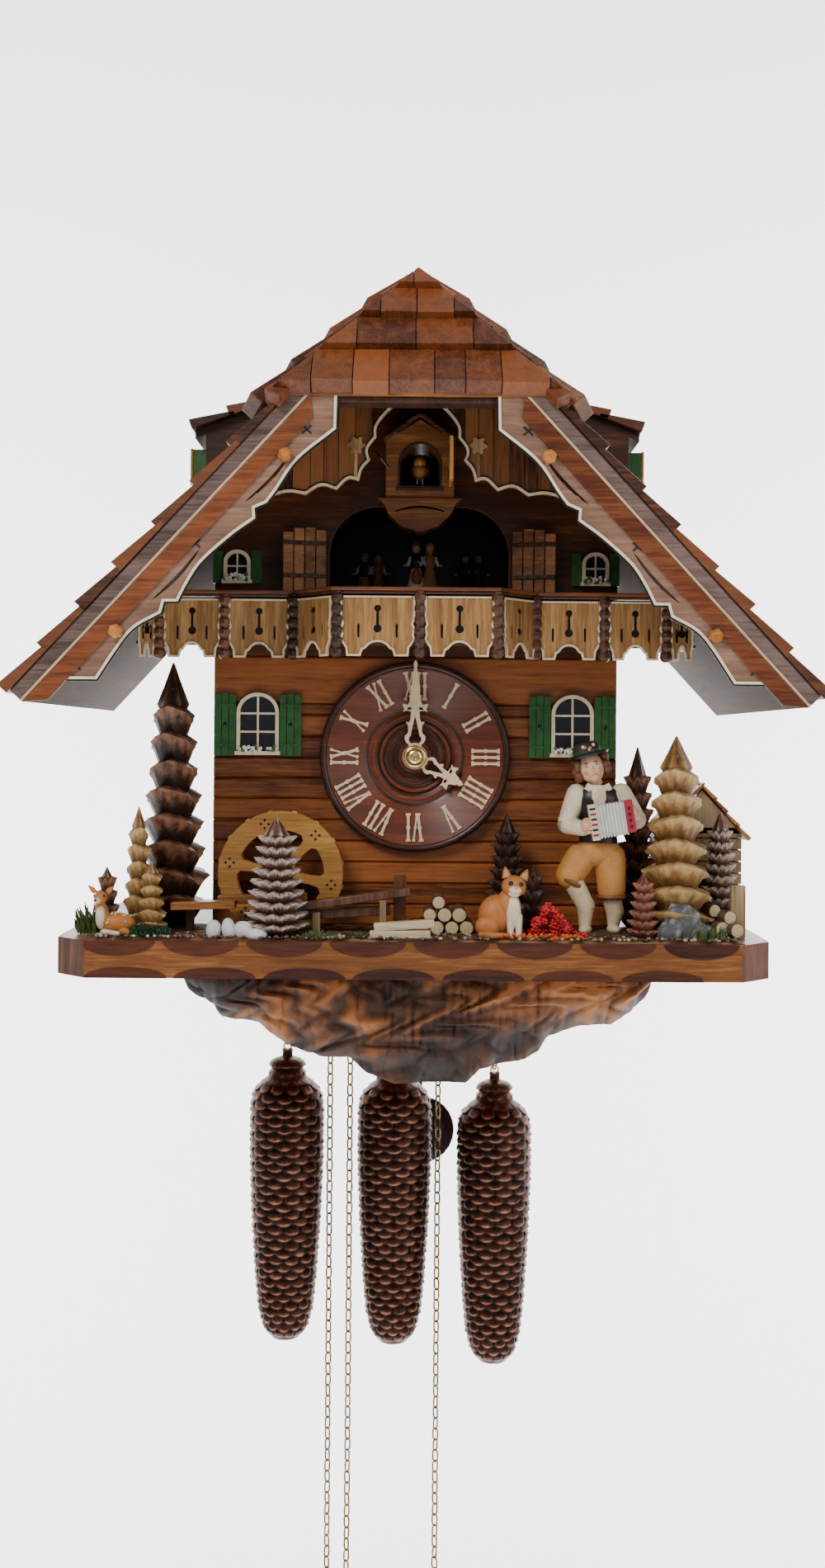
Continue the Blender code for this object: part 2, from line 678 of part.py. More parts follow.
def above_roof(name):
    """Everything higher than the roof's underside, for pieces that tuck beneath it."""
    reach, high = 2 * ROOF_WIDTH, ROOF_APEX + ROOF_WIDTH
    outline = [(-reach, under_roof(reach) - SLOPE_GAP), (0.0, ROOF_APEX - SLOPE_GAP),
               (reach, under_roof(reach) - SLOPE_GAP), (reach, high), (-reach, high)]
    return plate(name, [outline], -2 * ROOF_DEPTH, 0.0)


def make_balcony():
    outer, inner = balcony_path(0.0), balcony_path(RAILING_THICK)
    trim = above_roof("above_roof")
    band = both_sides(outer) + list(reversed(both_sides(inner)))
    railing = slab("balcony_railing", [band], RAILING_FOOT, RAILING_TOP, "light_wood")
    shape_with(railing, trim)
    deck = both_sides(balcony_path(RAILING_THICK + CLEAR))
    slab("balcony_deck", [deck], DECK_BOTTOM, DECK_BOTTOM + DECK_THICK, "brown_wood")


def make_windows():
    half = WINDOW_WIDTH / 2
    outer = half + SHUTTER_WIDTH
    head = []
    for step in range(9):
        angle = math.pi * step / 8
        head.append((half * math.cos(angle), WINDOW_SPRING + WINDOW_RISE * math.sin(angle)))
    shape = [(-outer, WINDOW_SILL), (outer, WINDOW_SILL), (outer, SHUTTER_TOP),
             (half, SHUTTER_TOP)]
    shape += [point for point in head if point[1] > SHUTTER_TOP]
    shape += [(-half, SHUTTER_TOP), (-outer, SHUTTER_TOP)]
    front = FRONT_FACE - CLEAR
    for side, sign in (("left", -1), ("right", 1)):
        outline = [(x + sign * WINDOW_X, z) for x, z in shape]
        plate("window_" + side, [outline], front - WINDOW_THICK, front, "green_paint")


def make_stage_doors():
    """Plank doors standing open on either side of the stage; they are glued in place."""
    reach = STAGE_LOBE_OFFSET + STAGE_LOBE_RADIUS
    for side, sign in (("left", -1), ("right", 1)):
        door = box("stage_door_" + side,
                   (min(0.0, sign * STAGE_DOOR_WIDTH), -STAGE_DOOR_THICK, 0.0),
                   (max(0.0, sign * STAGE_DOOR_WIDTH), 0.0, STAGE_DOOR_HEIGHT), "orange_wood")
        door.location = (STAGE_X + sign * (reach + 4 * CLEAR), FRONT_FACE - 2 * CLEAR, STAGE_FLOOR)
        door.rotation_euler = (0.0, 0.0, -sign * STAGE_DOOR_ANGLE)


def make_dial():
    hole = PIPE_RADIUS + 2 * CLEAR
    inner = DIAL_RADIUS - DIAL_RIM
    profile = [(hole, DIAL_THICK), (inner, DIAL_THICK), (inner + 0.001, DIAL_RIM_HEIGHT),
               (DIAL_RADIUS - 0.001, DIAL_RIM_HEIGHT), (DIAL_RADIUS, DIAL_THICK), (DIAL_RADIUS, 0.0),
               (hole, 0.0), (hole, DIAL_THICK)]
    turned("dial", profile, (0.0, FRONT_FACE - CLEAR, 0.0), "brown_wood", 48,
           (math.pi / 2, 0.0, 0.0))


def hand_outline(length, width):
    """Pointed hand with a round boss at its root, pointing up."""
    boss = 2 * PIPE_RADIUS
    lower = arc((0.0, 0.0), boss, 110.0, 430.0, 14)
    return lower + [(width * 0.4, length * 0.45), (width, length * 0.66), (width * 0.3, length * 0.84),
                    (0.0, length), (-width * 0.3, length * 0.84), (-width, length * 0.66),
                    (-width * 0.4, length * 0.45)]


def make_hands():
    """Hour hand on its pipe, minute hand on its arbor through the pipe, and the nut."""
    hour_back = FRONT_FACE - CLEAR - DIAL_RIM_HEIGHT - HAND_CLEAR
    minute_back = hour_back - HAND_THICK - HAND_CLEAR
    nut_back = minute_back - HAND_THICK - CLEAR
    pipe_end = -FRONT_PLATE - 10 * HAND_CLEAR
    arbor_end = -FRONT_PLATE - CLEAR

    turn = [(x * math.cos(HOUR_ANGLE) + z * math.sin(HOUR_ANGLE),
             z * math.cos(HOUR_ANGLE) - x * math.sin(HOUR_ANGLE))
            for x, z in hand_outline(HOUR_LENGTH, 0.004)]
    hour = plate("hour_hand", [turn], hour_back - HAND_THICK, hour_back, "cream")
    pipe_front = hour_back - HAND_THICK
    pipe = turned("hour_pipe", [(PIPE_BORE, 0.0), (PIPE_RADIUS, 0.0),
                                (PIPE_RADIUS, pipe_front - pipe_end),
                                (PIPE_BORE, pipe_front - pipe_end), (PIPE_BORE, 0.0)],
                  (0.0, pipe_front, 0.0), sides=16, rotation=(math.pi / 2, 0.0, 0.0))
    bore = rod("hour_bore", (0.0, pipe_front - BOARD, 0.0), (0.0, pipe_end + BOARD, 0.0), PIPE_BORE)
    shape_with(shape_with(hour, bore), pipe, "UNION")

    minute = plate("minute_hand", [hand_outline(MINUTE_LENGTH, 0.0035)],
                   minute_back - HAND_THICK, minute_back, "cream")
    arbor = rod("minute_arbor", (0.0, minute_back - HAND_THICK / 2, 0.0), (0.0, arbor_end, 0.0),
                ARBOR_RADIUS)
    shape_with(minute, arbor, "UNION")
    rod("hand_nut", (0.0, nut_back - NUT_THICK, 0.0), (0.0, nut_back, 0.0), NUT_RADIUS, "brass", 20)
    for name in ("hour_hand", "minute_hand", "hand_nut"):
        set_origin(bpy.data.objects[name], (0.0, hour_back, 0.0))


def set_origin(obj, point):
    """Move an object's origin onto its joint without moving its shape."""
    bpy.context.view_layer.update()
    matrix = obj.matrix_world.copy()
    target = Matrix.Translation(Vector(point))
    obj.data.transform(target.inverted() @ matrix)
    obj.matrix_world = target


def make_cuckoo():
    """House with its doorway, the door that stands open, and the bird on its arm."""
    half = HOUSE_WIDTH / 2
    outline = [(HOUSE_X - half, HOUSE_FOOT), (HOUSE_X + half, HOUSE_FOOT),
               (HOUSE_X + half, HOUSE_WALL_TOP), (HOUSE_X, HOUSE_APEX), (HOUSE_X - half, HOUSE_WALL_TOP)]
    back = FRONT_FACE - CLEAR
    front = back - HOUSE_DEPTH
    plate("cuckoo_house", [outline, cuckoo_opening()], front, back, "orange_wood")

    hinge_x = HOUSE_X + half - CUCKOO_DOOR_THICK
    width = hinge_x - HOUSE_X + HOUSE_DOOR_WIDTH / 2 + CUCKOO_DOOR_LAP
    top = HOUSE_ARCH_Z + HOUSE_DOOR_WIDTH / 2 + CUCKOO_DOOR_LAP
    half_thick = CUCKOO_DOOR_THICK / 2
    hinge_y = front - CLEAR - half_thick * math.sqrt(2)    # its corner clears the house as it swings
    door = box("cuckoo_door",
               (hinge_x - half_thick, hinge_y - width, HOUSE_SILL - CUCKOO_DOOR_LAP),
               (hinge_x + half_thick, hinge_y + half_thick, top), "orange_wood")
    set_origin(door, (hinge_x, hinge_y, HOUSE_SILL))

    centre = (HOUSE_X, front + BIRD_LENGTH / 2 + HAND_THICK, HOUSE_SILL + BIRD_HEIGHT / 2 + 0.003)
    bird = ball("cuckoo_bird", centre, (BIRD_WIDTH, BIRD_LENGTH, BIRD_HEIGHT), "brown_wood")
    tail = (centre[0], FRONT_FACE + 2 * BOARD, centre[2])
    shape_with(bird, rod("bird_arm", centre, tail, BIRD_ARM, sides=8), "UNION")


def make_carousel():
    bottom = CAROUSEL_TOP - CAROUSEL_THICK
    foot = PLATE_TOP + CLEAR
    profile = [(0.0, CAROUSEL_TOP), (CAROUSEL_RADIUS, CAROUSEL_TOP), (CAROUSEL_RADIUS, bottom),
               (CAROUSEL_SHAFT, bottom), (CAROUSEL_SHAFT, foot), (0.0, foot)]
    turned("carousel_table", profile, (CAROUSEL_X, CAROUSEL_Y, 0.0), "dark_wood", 32)
    for index, side in enumerate(("centre", "right", "left")):
        angle = math.radians(-90.0 + 120.0 * index)
        place = (CAROUSEL_X + DANCER_RADIUS * math.cos(angle),
                 CAROUSEL_Y + DANCER_RADIUS * math.sin(angle), CAROUSEL_TOP + CLEAR)
        profile = [(r * DANCER_HEIGHT, h * DANCER_HEIGHT) for r, h in DANCER_PROFILE]
        turned("dancers_" + side, profile, place, "figure_paint", 12)


def make_mill_wheel():
    back = FRONT_FACE - MILL_GAP
    profile = [(0.0, MILL_GAP - CLEAR), (MILL_AXLE, MILL_GAP - CLEAR), (MILL_AXLE, 0.0),
               (MILL_RADIUS, 0.0), (MILL_RADIUS, -MILL_THICK), (0.0, -MILL_THICK)]
    turned("mill_wheel", profile, (MILL_X, back, MILL_Z), "light_wood", 32,
           (-math.pi / 2, 0.0, 0.0))


def make_frame():
    """Two brass plates held apart by four pillars, with a stud for the pendulum."""
    front_y, rear_y = -FRONT_PLATE, -REAR_PLATE
    frame = box("movement_frame", (PLATE_LEFT, front_y, PLATE_FOOT),
                (PLATE_RIGHT, front_y + PLATE_THICK, PLATE_TOP), "brass")
    shape_with(frame, box("rear_plate", (PLATE_LEFT, rear_y - PLATE_THICK, PLATE_FOOT),
                          (PLATE_RIGHT, rear_y, PLATE_TOP)), "UNION")
    for x in (PLATE_LEFT + PILLAR_INSET, PLATE_RIGHT - PILLAR_INSET):
        for z in (PLATE_FOOT + PILLAR_INSET, PLATE_TOP - PILLAR_INSET):
            pillar = rod("pillar", (x, front_y + PLATE_THICK / 2, z),
                         (x, rear_y - PLATE_THICK / 2, z), PILLAR_RADIUS, sides=10)
            shape_with(frame, pillar, "UNION")
    stud_z = PENDULUM_PIVOT_Z + PIVOT_STUD + PENDULUM_ROD + CLEAR
    stud = rod("pendulum_stud", (PENDULUM_X, rear_y - PLATE_THICK / 2, stud_z),
               (PENDULUM_X, PENDULUM_Y + 3 * PENDULUM_ROD, stud_z), PIVOT_STUD, sides=10)
    shape_with(frame, stud, "UNION")


def make_chain_wheels():
    """Sprocket, flange and arbor of each of the three trains."""
    rear = -REAR_PLATE - PLATE_THICK - CLEAR
    front = -FRONT_PLATE + PLATE_THICK + CLEAR
    for name, span in WEIGHTS.items():
        centre = (span["load"] + span["free"]) / 2
        reach = abs(span["load"] - span["free"]) / 2
        sprocket = reach - CHAIN_WIDTH / 2 - CLEAR
        flange = reach + FLANGE_RIM
        near = CHAIN_Y + SPROCKET_THICK / 2
        far = CHAIN_Y - SPROCKET_THICK / 2
        profile = [(0.0, rear), (WHEEL_ARBOR, rear), (WHEEL_ARBOR, near), (sprocket, near),
                   (sprocket, far), (flange, far), (flange, far - FLANGE_THICK),
                   (WHEEL_ARBOR, far - FLANGE_THICK), (WHEEL_ARBOR, front), (0.0, front)]
        turned("chain_wheel_" + name, profile, (centre, 0.0, WHEEL_AXIS_Z), "brass", 24,
               (-math.pi / 2, 0.0, 0.0))


def make_escapement():
    rear = -REAR_PLATE - PLATE_THICK - CLEAR
    front = -FRONT_PLATE + PLATE_THICK + CLEAR
    face = rear - 2 * ESCAPE_THICK
    profile = [(0.0, rear), (WHEEL_ARBOR, rear), (WHEEL_ARBOR, face), (ESCAPE_RADIUS, face),
               (ESCAPE_RADIUS, face - ESCAPE_THICK), (WHEEL_ARBOR, face - ESCAPE_THICK),
               (WHEEL_ARBOR, front), (0.0, front)]
    turned("escape_wheel", profile, (PENDULUM_X, 0.0, ESCAPE_Z), "brass", 20,
           (-math.pi / 2, 0.0, 0.0))

    half = PENDULUM_BOB_THICK / 2
    radius = PENDULUM_BOB_RADIUS
    bob = turned("pendulum", [(0.0, half), (radius * 0.7, half * 0.8), (radius, 0.0),
                              (radius * 0.7, -half * 0.8), (0.0, -half)],
                 (PENDULUM_X, PENDULUM_Y, PENDULUM_BOB_Z), "dark_wood", 24,
                 (-math.pi / 2, 0.0, 0.0))
    rod_tool = rod("pendulum_rod", (PENDULUM_X, PENDULUM_Y, PENDULUM_PIVOT_Z),
                   (PENDULUM_X, PENDULUM_Y, PENDULUM_BOB_Z), PENDULUM_ROD, sides=8)
    shape_with(bob, rod_tool, "UNION")


def make_bellows():
    """Wooden whistle pipes with a hinged bellows board on each."""
    rear, front = -BELLOWS_REAR, -BELLOWS_REAR - BELLOWS_DEPTH
    for side, sign in (("left", -1), ("right", 1)):
        low = sign * BELLOWS_X - BELLOWS_WIDTH / 2
        high = sign * BELLOWS_X + BELLOWS_WIDTH / 2
        box("bellows_" + side, (low, front, PLATFORM_TOP + CLEAR), (high, rear, BELLOWS_TOP),
            "light_wood")
        bottom = BELLOWS_TOP + CLEAR
        lid = box("bellows_lid_" + side, (low, front, bottom), (high, rear, bottom + BELLOWS_LID),
                  "orange_wood")
        set_origin(lid, (sign * BELLOWS_X, rear, bottom))


def make_weights():
    for name, span in WEIGHTS.items():
        profile = [(r * WEIGHT_HALF, (h - 1.0) * WEIGHT_LENGTH) for r, h in WEIGHT_PROFILE]
        turned("weight_" + name, profile, (span["load"], CHAIN_Y, WEIGHT_TOPS[name]),
               "copper", 16)


def chain_run(name):
    """y of the chain's hanging run where it reaches its hank."""
    return CHAIN_Y - (MIDDLE_SET_FORWARD if name == "middle" else 0.0)


def smooth_route(points, count):
    """Points evenly spaced along a smooth curve through the given ones."""
    fine = []
    ends = [points[0]] + points + [points[-1]]
    for index in range(1, len(ends) - 2):
        a, b, c, d = ends[index - 1:index + 3]
        for step in range(20):
            t = step / 20
            fine.append(0.5 * (2 * b + (c - a) * t + (2 * a - 5 * b + 4 * c - d) * t * t
                               + (3 * b - a - 3 * c + d) * t ** 3))
    fine.append(points[-1])
    lengths = [0.0]
    for a, b in zip(fine, fine[1:]):
        lengths.append(lengths[-1] + (b - a).length)
    spaced, index = [], 0
    for step in range(count):
        goal = lengths[-1] * step / (count - 1)
        while index < len(fine) - 2 and lengths[index + 1] < goal:
            index += 1
        share = (goal - lengths[index]) / (lengths[index + 1] - lengths[index])
        spaced.append(fine[index].lerp(fine[index + 1], min(share, 1.0)))
    return spaced


def make_chains():
    """Free side of each chain: a straight fall, then a flat tied hank, then a ring."""
    half = CHAIN_WIDTH / 2
    fall_end = HANK_ARC_TOP + math.sqrt(HANK_HALF ** 2 - (HANK_FOLD - half) ** 2) + CLEAR
    for name, span in WEIGHTS.items():
        x, run = span["free"], chain_run(name)
        route = [Vector((x, CHAIN_Y, WHEEL_AXIS_Z)), Vector((x, CHAIN_Y, -0.150)),
                 Vector((x, CHAIN_Y, -0.300)), Vector((x, CHAIN_Y, -0.400)),
                 Vector((x, run, HANK_TOP + 0.010)), Vector((x, run, fall_end))]
        curve = bpy.data.curves.new("free_chain_" + name, "CURVE")
        curve.dimensions = "3D"
        curve.bevel_depth = half
        curve.bevel_resolution = 2
        curve.use_fill_caps = True
        spline = curve.splines.new("POLY")
        spline.points.add(CHAIN_POINTS - 1)
        for point, place in zip(spline.points, smooth_route(route, CHAIN_POINTS)):
            point.co = (*place, 1.0)
        add("free_chain_" + name, curve, "aged_brass")

        towards_wall = -1 if name == "middle" else 1
        beside = -1 if name == "middle" else 1
        middle_y = run + towards_wall * HANK_FOLD
        top = arc((middle_y, HANK_ARC_TOP), HANK_HALF, 0.0, 180.0, 12)
        foot = arc((middle_y, HANK_ARC_FOOT), HANK_HALF, 180.0, 360.0, 12)
        near, far = x - beside * half, x + beside * (HANK_LAYERS - 0.5) * CHAIN_WIDTH
        side_plate("hank_" + name, top + foot, min(near, far), max(near, far), "aged_brass")

        ring_x = x + beside * (HANK_LAYERS - 1) * CHAIN_WIDTH
        outer = RING_RADIUS + RING_WIRE
        drop = math.sqrt((HANK_HALF + CLEAR + outer) ** 2 - HANK_FOLD ** 2)
        section = arc((RING_RADIUS, 0.0), RING_WIRE, 90.0, -270.0, 8)
        turned("ring_" + name, section, (ring_x, run, HANK_ARC_FOOT - drop), "brass", 24,
               (0.0, math.pi / 2, 0.0))


def tree(name, spot, side, colour):
    """Tiered fir: each tier flares out and steps back in."""
    foot = PLATFORM_TOP + CLEAR
    height = spot["top"] - foot
    profile = [(0.0, height)]
    crown_foot = 0.14 * height
    for tier in range(TREE_TIERS):
        share = (tier + 1) / TREE_TIERS
        level = height - (height - crown_foot) * share
        profile.append((spot["radius"] * (0.25 + 0.75 * share), level))
        profile.append((spot["radius"] * (0.12 + 0.55 * share), level))
    profile += [(TREE_TRUNK, crown_foot), (TREE_TRUNK, 0.0), (0.0, 0.0)]
    turned(name, profile, (side * (CASE_HALF + spot["beside"]), spot["y"], foot), colour, 12)


def make_scenery():
    tree("tree_tall", TALL_TREE, -1, "dark_wood")
    tree("tree_right", RIGHT_TREE, 1, "light_wood")
    foot = PLATFORM_TOP + CLEAR
    half = HUT_WIDTH / 2
    outline = [(HUT_X - half, foot), (HUT_X + half, foot), (HUT_X + half, foot + HUT_WALL),
               (HUT_X, foot + HUT_RIDGE), (HUT_X - half, foot + HUT_WALL)]
    plate("hut", [outline], HUT_BACK - HUT_DEPTH, HUT_BACK, "orange_wood")
    profile = [(r * MUSICIAN_HEIGHT, h * MUSICIAN_HEIGHT) for r, h in MUSICIAN_PROFILE]
    turned("musician", profile, (MUSICIAN_X, MUSICIAN_Y, foot), "figure_paint", 14)


clear_scene()
CLOCK = new_collection("cuckoo_clock")
TOOLS = new_collection("tools")
make_case()
make_platform()
make_carving()
make_roof()
make_hip()
make_bargeboards()
make_dormers()
make_cladding()
make_balcony()
make_windows()
make_stage_doors()
make_dial()
make_hands()
make_cuckoo()
make_carousel()
make_mill_wheel()
make_frame()
make_chain_wheels()
make_escapement()
make_bellows()
make_weights()
make_chains()
make_scenery()
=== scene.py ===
"""Looks of the chalet cuckoo clock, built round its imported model."""
import math
import random

import bmesh
import bpy
import numpy as np
from mathutils import Matrix, Vector, noise


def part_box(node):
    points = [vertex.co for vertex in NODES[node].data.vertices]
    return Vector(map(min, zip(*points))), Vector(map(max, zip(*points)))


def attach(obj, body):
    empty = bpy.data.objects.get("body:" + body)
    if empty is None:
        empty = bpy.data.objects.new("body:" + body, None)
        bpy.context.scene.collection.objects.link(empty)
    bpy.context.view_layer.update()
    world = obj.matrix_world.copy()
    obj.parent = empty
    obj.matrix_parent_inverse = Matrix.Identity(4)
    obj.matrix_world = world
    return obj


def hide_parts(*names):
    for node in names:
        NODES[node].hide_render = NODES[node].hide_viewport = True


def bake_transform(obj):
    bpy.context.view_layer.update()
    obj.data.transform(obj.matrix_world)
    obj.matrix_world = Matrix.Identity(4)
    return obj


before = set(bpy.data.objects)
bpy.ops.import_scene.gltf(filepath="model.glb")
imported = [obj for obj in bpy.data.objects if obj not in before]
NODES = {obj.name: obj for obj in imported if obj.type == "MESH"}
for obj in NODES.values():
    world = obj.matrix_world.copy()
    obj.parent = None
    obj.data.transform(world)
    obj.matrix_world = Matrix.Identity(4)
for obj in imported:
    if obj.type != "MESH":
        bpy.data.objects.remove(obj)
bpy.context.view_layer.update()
MM = 0.001


def turned(place, angle, axis):
    """Matrix that turns a body about one of its axes and then moves it to its place."""
    return Matrix.Translation(place) @ Matrix.Rotation(angle, 4, axis)


# ---------------------------------------------------------------- camera, light, stage

CAMERA_PLACE = (0.0, -1.068, 0.0076)
CAMERA_LENS = 38.9
CAMERA_SHIFT = (-0.0016, -0.0263)
CAMERA_ROLL = math.radians(-0.45)
WORLD_LIGHT = 0.34
PAPER_GLOW = 0.9


def make_camera():
    """The main view: level, from straight in front, a little above the dial."""
    data = bpy.data.cameras.new("camera")
    data.sensor_width = 36.0
    data.lens = CAMERA_LENS
    data.shift_x, data.shift_y = CAMERA_SHIFT
    camera = bpy.data.objects.new("camera", data)
    bpy.context.scene.collection.objects.link(camera)
    roll = Matrix.Rotation(CAMERA_ROLL, 4, "Y")
    upright = Matrix.Rotation(math.pi / 2, 4, "X")
    camera.matrix_world = Matrix.Translation(CAMERA_PLACE) @ roll @ upright
    bpy.context.scene.camera = camera


def area_light(name, place, target, size, power, colour=(1.0, 1.0, 1.0)):
    data = bpy.data.lights.new(name, "AREA")
    data.shape = "RECTANGLE"
    data.size, data.size_y = size
    data.energy = power
    data.color = colour
    light = bpy.data.objects.new(name, data)
    bpy.context.scene.collection.objects.link(light)
    light.location = place
    aim = Vector(target) - Vector(place)
    light.rotation_euler = aim.to_track_quat("-Z", "Y").to_euler()


def make_lights():
    area_light("key", (-0.9, -1.5, 1.3), (0.0, -0.1, 0.0), (0.7, 0.7), 30.0, (1.0, 0.97, 0.93))
    area_light("fill", (1.3, -1.2, 0.5), (0.0, -0.1, 0.0), (1.0, 1.2), 11.0)
    area_light("low", (-0.2, -1.4, -1.1), (0.0, -0.1, -0.2), (1.0, 0.7), 5.0)
    area_light("rear", (0.3, 1.5, 1.2), (0.0, 0.0, 0.0), (1.2, 1.0), 14.0)
    for side in (-1, 1):
        area_light("wash_%d" % (side + 1), (side * 1.7, 0.9, 0.6), (side * 0.4, 2.6, 0.2),
                   (1.2, 1.6), 75.0)
        area_light("foot_%d" % (side + 1), (side * 1.7, 0.9, -0.9), (side * 0.4, 2.6, -1.4),
                   (1.2, 1.0), 45.0)
    world = bpy.data.worlds.new("studio")
    world.use_nodes = True
    background = world.node_tree.nodes["Background"]
    background.inputs["Color"].default_value = (1.0, 1.0, 1.0, 1.0)
    background.inputs["Strength"].default_value = WORLD_LIGHT
    bpy.context.scene.world = world


def make_studio():
    """Pale floor far below the hanging clock, curving up into a pale backdrop."""
    floor_z, back_y, reach, bend = -2.10, 2.6, 4.5, 0.5
    section = [(-reach, floor_z), (back_y - bend, floor_z)]
    for step in range(1, 9):
        angle = math.pi / 2 * step / 8
        section.append((back_y - bend + bend * math.sin(angle),
                        floor_z + bend - bend * math.cos(angle)))
    section.append((back_y, 2.6))
    vertices = [(x, y, z) for y, z in section for x in (-reach, reach)]
    faces = [(2 * i, 2 * i + 1, 2 * i + 3, 2 * i + 2) for i in range(len(section) - 1)]
    mesh = bpy.data.meshes.new("studio_floor")
    mesh.from_pydata(vertices, [], faces)
    mesh.shade_smooth()
    floor = bpy.data.objects.new("studio_floor", mesh)
    bpy.context.scene.collection.objects.link(floor)
    material = bpy.data.materials.new("studio_paper")
    material.use_nodes = True
    shader = material.node_tree.nodes["Principled BSDF"]
    shader.inputs["Base Color"].default_value = (0.93, 0.93, 0.93, 1.0)
    shader.inputs["Roughness"].default_value = 0.9
    shader.inputs["Emission Color"].default_value = (1.0, 1.0, 1.0, 1.0)
    shader.inputs["Emission Strength"].default_value = PAPER_GLOW
    mesh.materials.append(material)


# ---------------------------------------------------------------- materials

class Nodes:
    """Short hand for building one material's node tree."""

    def __init__(self, name):
        self.material = bpy.data.materials.new(name)
        self.material.use_nodes = True
        self.tree = self.material.node_tree
        self.shader = self.tree.nodes["Principled BSDF"]
        self.place = self.add("ShaderNodeTexCoord").outputs["Object"]

    def add(self, kind, inputs=(), **settings):
        node = self.tree.nodes.new(kind)
        for key, value in settings.items():
            setattr(node, key, value)
        for key, value in dict(inputs).items():
            if isinstance(value, bpy.types.NodeSocket):
                self.tree.links.new(value, node.inputs[key])
            else:
                node.inputs[key].default_value = value
        return node

    def link(self, output, name):
        self.tree.links.new(output, self.shader.inputs[name])

    def stretched(self, stretch):
        """Object coordinates scaled along each axis."""
        return self.add("ShaderNodeMapping", {"Vector": self.place, "Scale": stretch}).outputs[0]

    def noise(self, vector, scale, detail=4.0, rough=0.55, distortion=0.0):
        return self.add("ShaderNodeTexNoise", {
            "Vector": vector, "Scale": scale, "Detail": detail, "Roughness": rough,
            "Distortion": distortion}).outputs["Fac"]

    def ramp(self, value, stops):
        node = self.add("ShaderNodeValToRGB", {"Fac": value})
        elements = node.color_ramp.elements
        while len(elements) < len(stops):
            elements.new(0.5)
        for element, (position, colour) in zip(elements, stops):
            element.position = position
            element.color = (*colour, 1.0)
        return node.outputs["Color"]

    def math(self, operation, a, b=0.5):
        node = self.add("ShaderNodeMath", operation=operation)
        for socket, value in zip(node.inputs, (a, b)):
            if isinstance(value, bpy.types.NodeSocket):
                self.tree.links.new(value, socket)
            else:
                socket.default_value = value
        return node.outputs[0]

    def attribute(self, name):
        return self.add("ShaderNodeAttribute", attribute_name=name).outputs["Fac"]

    def bump(self, height, strength, distance):
        node = self.add("ShaderNodeBump", {"Height": height, "Strength": strength,
                                           "Distance": distance})
        self.link(node.outputs["Normal"], "Normal")

    def finish(self, metallic=0.0, specular=0.5, coat=0.0, coat_rough=0.2):
        self.shader.inputs["Metallic"].default_value = metallic
        self.shader.inputs["Specular IOR Level"].default_value = specular
        self.shader.inputs["Coat Weight"].default_value = coat
        self.shader.inputs["Coat Roughness"].default_value = coat_rough
        return self.material


def scaled(colour, factor):
    return tuple(min(1.0, channel * factor) for channel in colour)


def wood(name, dark, light, grain="x", rough=0.42, coat=0.25, streak=1.0, spread=0.5):
    """Stained, varnished wood: fibres and pores along the grain, broad figure, mottled stain."""
    n = Nodes(name)
    along = {"x": (6.0, 90.0, 90.0), "y": (90.0, 6.0, 90.0), "z": (90.0, 90.0, 6.0)}[grain]
    fibre = n.noise(n.stretched(along), 9.0, 6.0, 0.62, 0.3)
    wide = tuple(0.22 * part for part in along)
    figure = n.noise(n.stretched(wide), 5.0, 3.0, 0.5, 1.2)
    mottle = n.noise(n.place, 28.0, 3.0, 0.6)
    tone = n.attribute("tone")
    mixed = n.math("ADD", n.math("MULTIPLY", fibre, 0.52 * streak),
                   n.math("MULTIPLY", figure, 0.42))
    mixed = n.math("ADD", mixed, n.math("MULTIPLY", tone, spread * 0.35))
    mixed = n.math("ADD", mixed, n.math("MULTIPLY", mottle, 0.16))
    mixed = n.math("SUBTRACT", mixed, 0.16 + 0.1 * (streak - 1.0))
    colour = n.ramp(mixed, [(0.22, scaled(dark, 0.55)), (0.40, dark), (0.62, light),
                            (0.80, scaled(light, 1.35))])
    n.link(colour, "Base Color")
    roughness = n.math("ADD", n.math("MULTIPLY", fibre, 0.22), rough - 0.11)
    n.link(roughness, "Roughness")
    n.bump(fibre, 0.35, 0.00025)
    return n.finish(specular=0.32, coat=0.4 * coat, coat_rough=0.3)


def paint(name, colour, rough=0.5, variation=0.22, worn=None, coat=0.0):
    """Brushed-on paint: uneven cover, fine strokes, and a worn under-colour in the thin spots."""
    n = Nodes(name)
    strokes = n.noise(n.stretched((120.0, 120.0, 30.0)), 10.0, 4.0, 0.6)
    cloud = n.noise(n.place, 160.0, 4.0, 0.6)
    mixed = n.math("ADD", n.math("MULTIPLY", strokes, 0.5), n.math("MULTIPLY", cloud, 0.5))
    under = worn if worn else scaled(colour, 1.0 - 1.6 * variation)
    shade = n.ramp(mixed, [(0.30, under), (0.46, colour), (0.66, scaled(colour, 1.0 + variation))])
    n.link(shade, "Base Color")
    n.link(n.math("ADD", n.math("MULTIPLY", cloud, 0.25), rough - 0.12), "Roughness")
    n.bump(mixed, 0.3, 0.00015)
    return n.finish(specular=0.4, coat=coat)


def metal(name, colour, dirt, rough=0.3, scale=220.0, amount=0.5):
    """Turned or stamped metal with tarnish lying in broad patches and fine scratches."""
    n = Nodes(name)
    patches = n.noise(n.place, scale, 5.0, 0.6)
    scratches = n.noise(n.stretched((400.0, 30.0, 400.0)), 8.0, 3.0, 0.6)
    tarnish = n.ramp(n.math("ADD", patches, n.math("MULTIPLY", n.attribute("tone"), 0.12)),
                     [(0.34, dirt), (0.34 + 0.4 * amount, colour), (0.86, scaled(colour, 1.15))])
    n.link(tarnish, "Base Color")
    n.link(n.math("ADD", n.math("MULTIPLY", patches, 0.3), rough - 0.12), "Roughness")
    n.bump(scratches, 0.2, 0.0001)
    return n.finish(metallic=1.0)


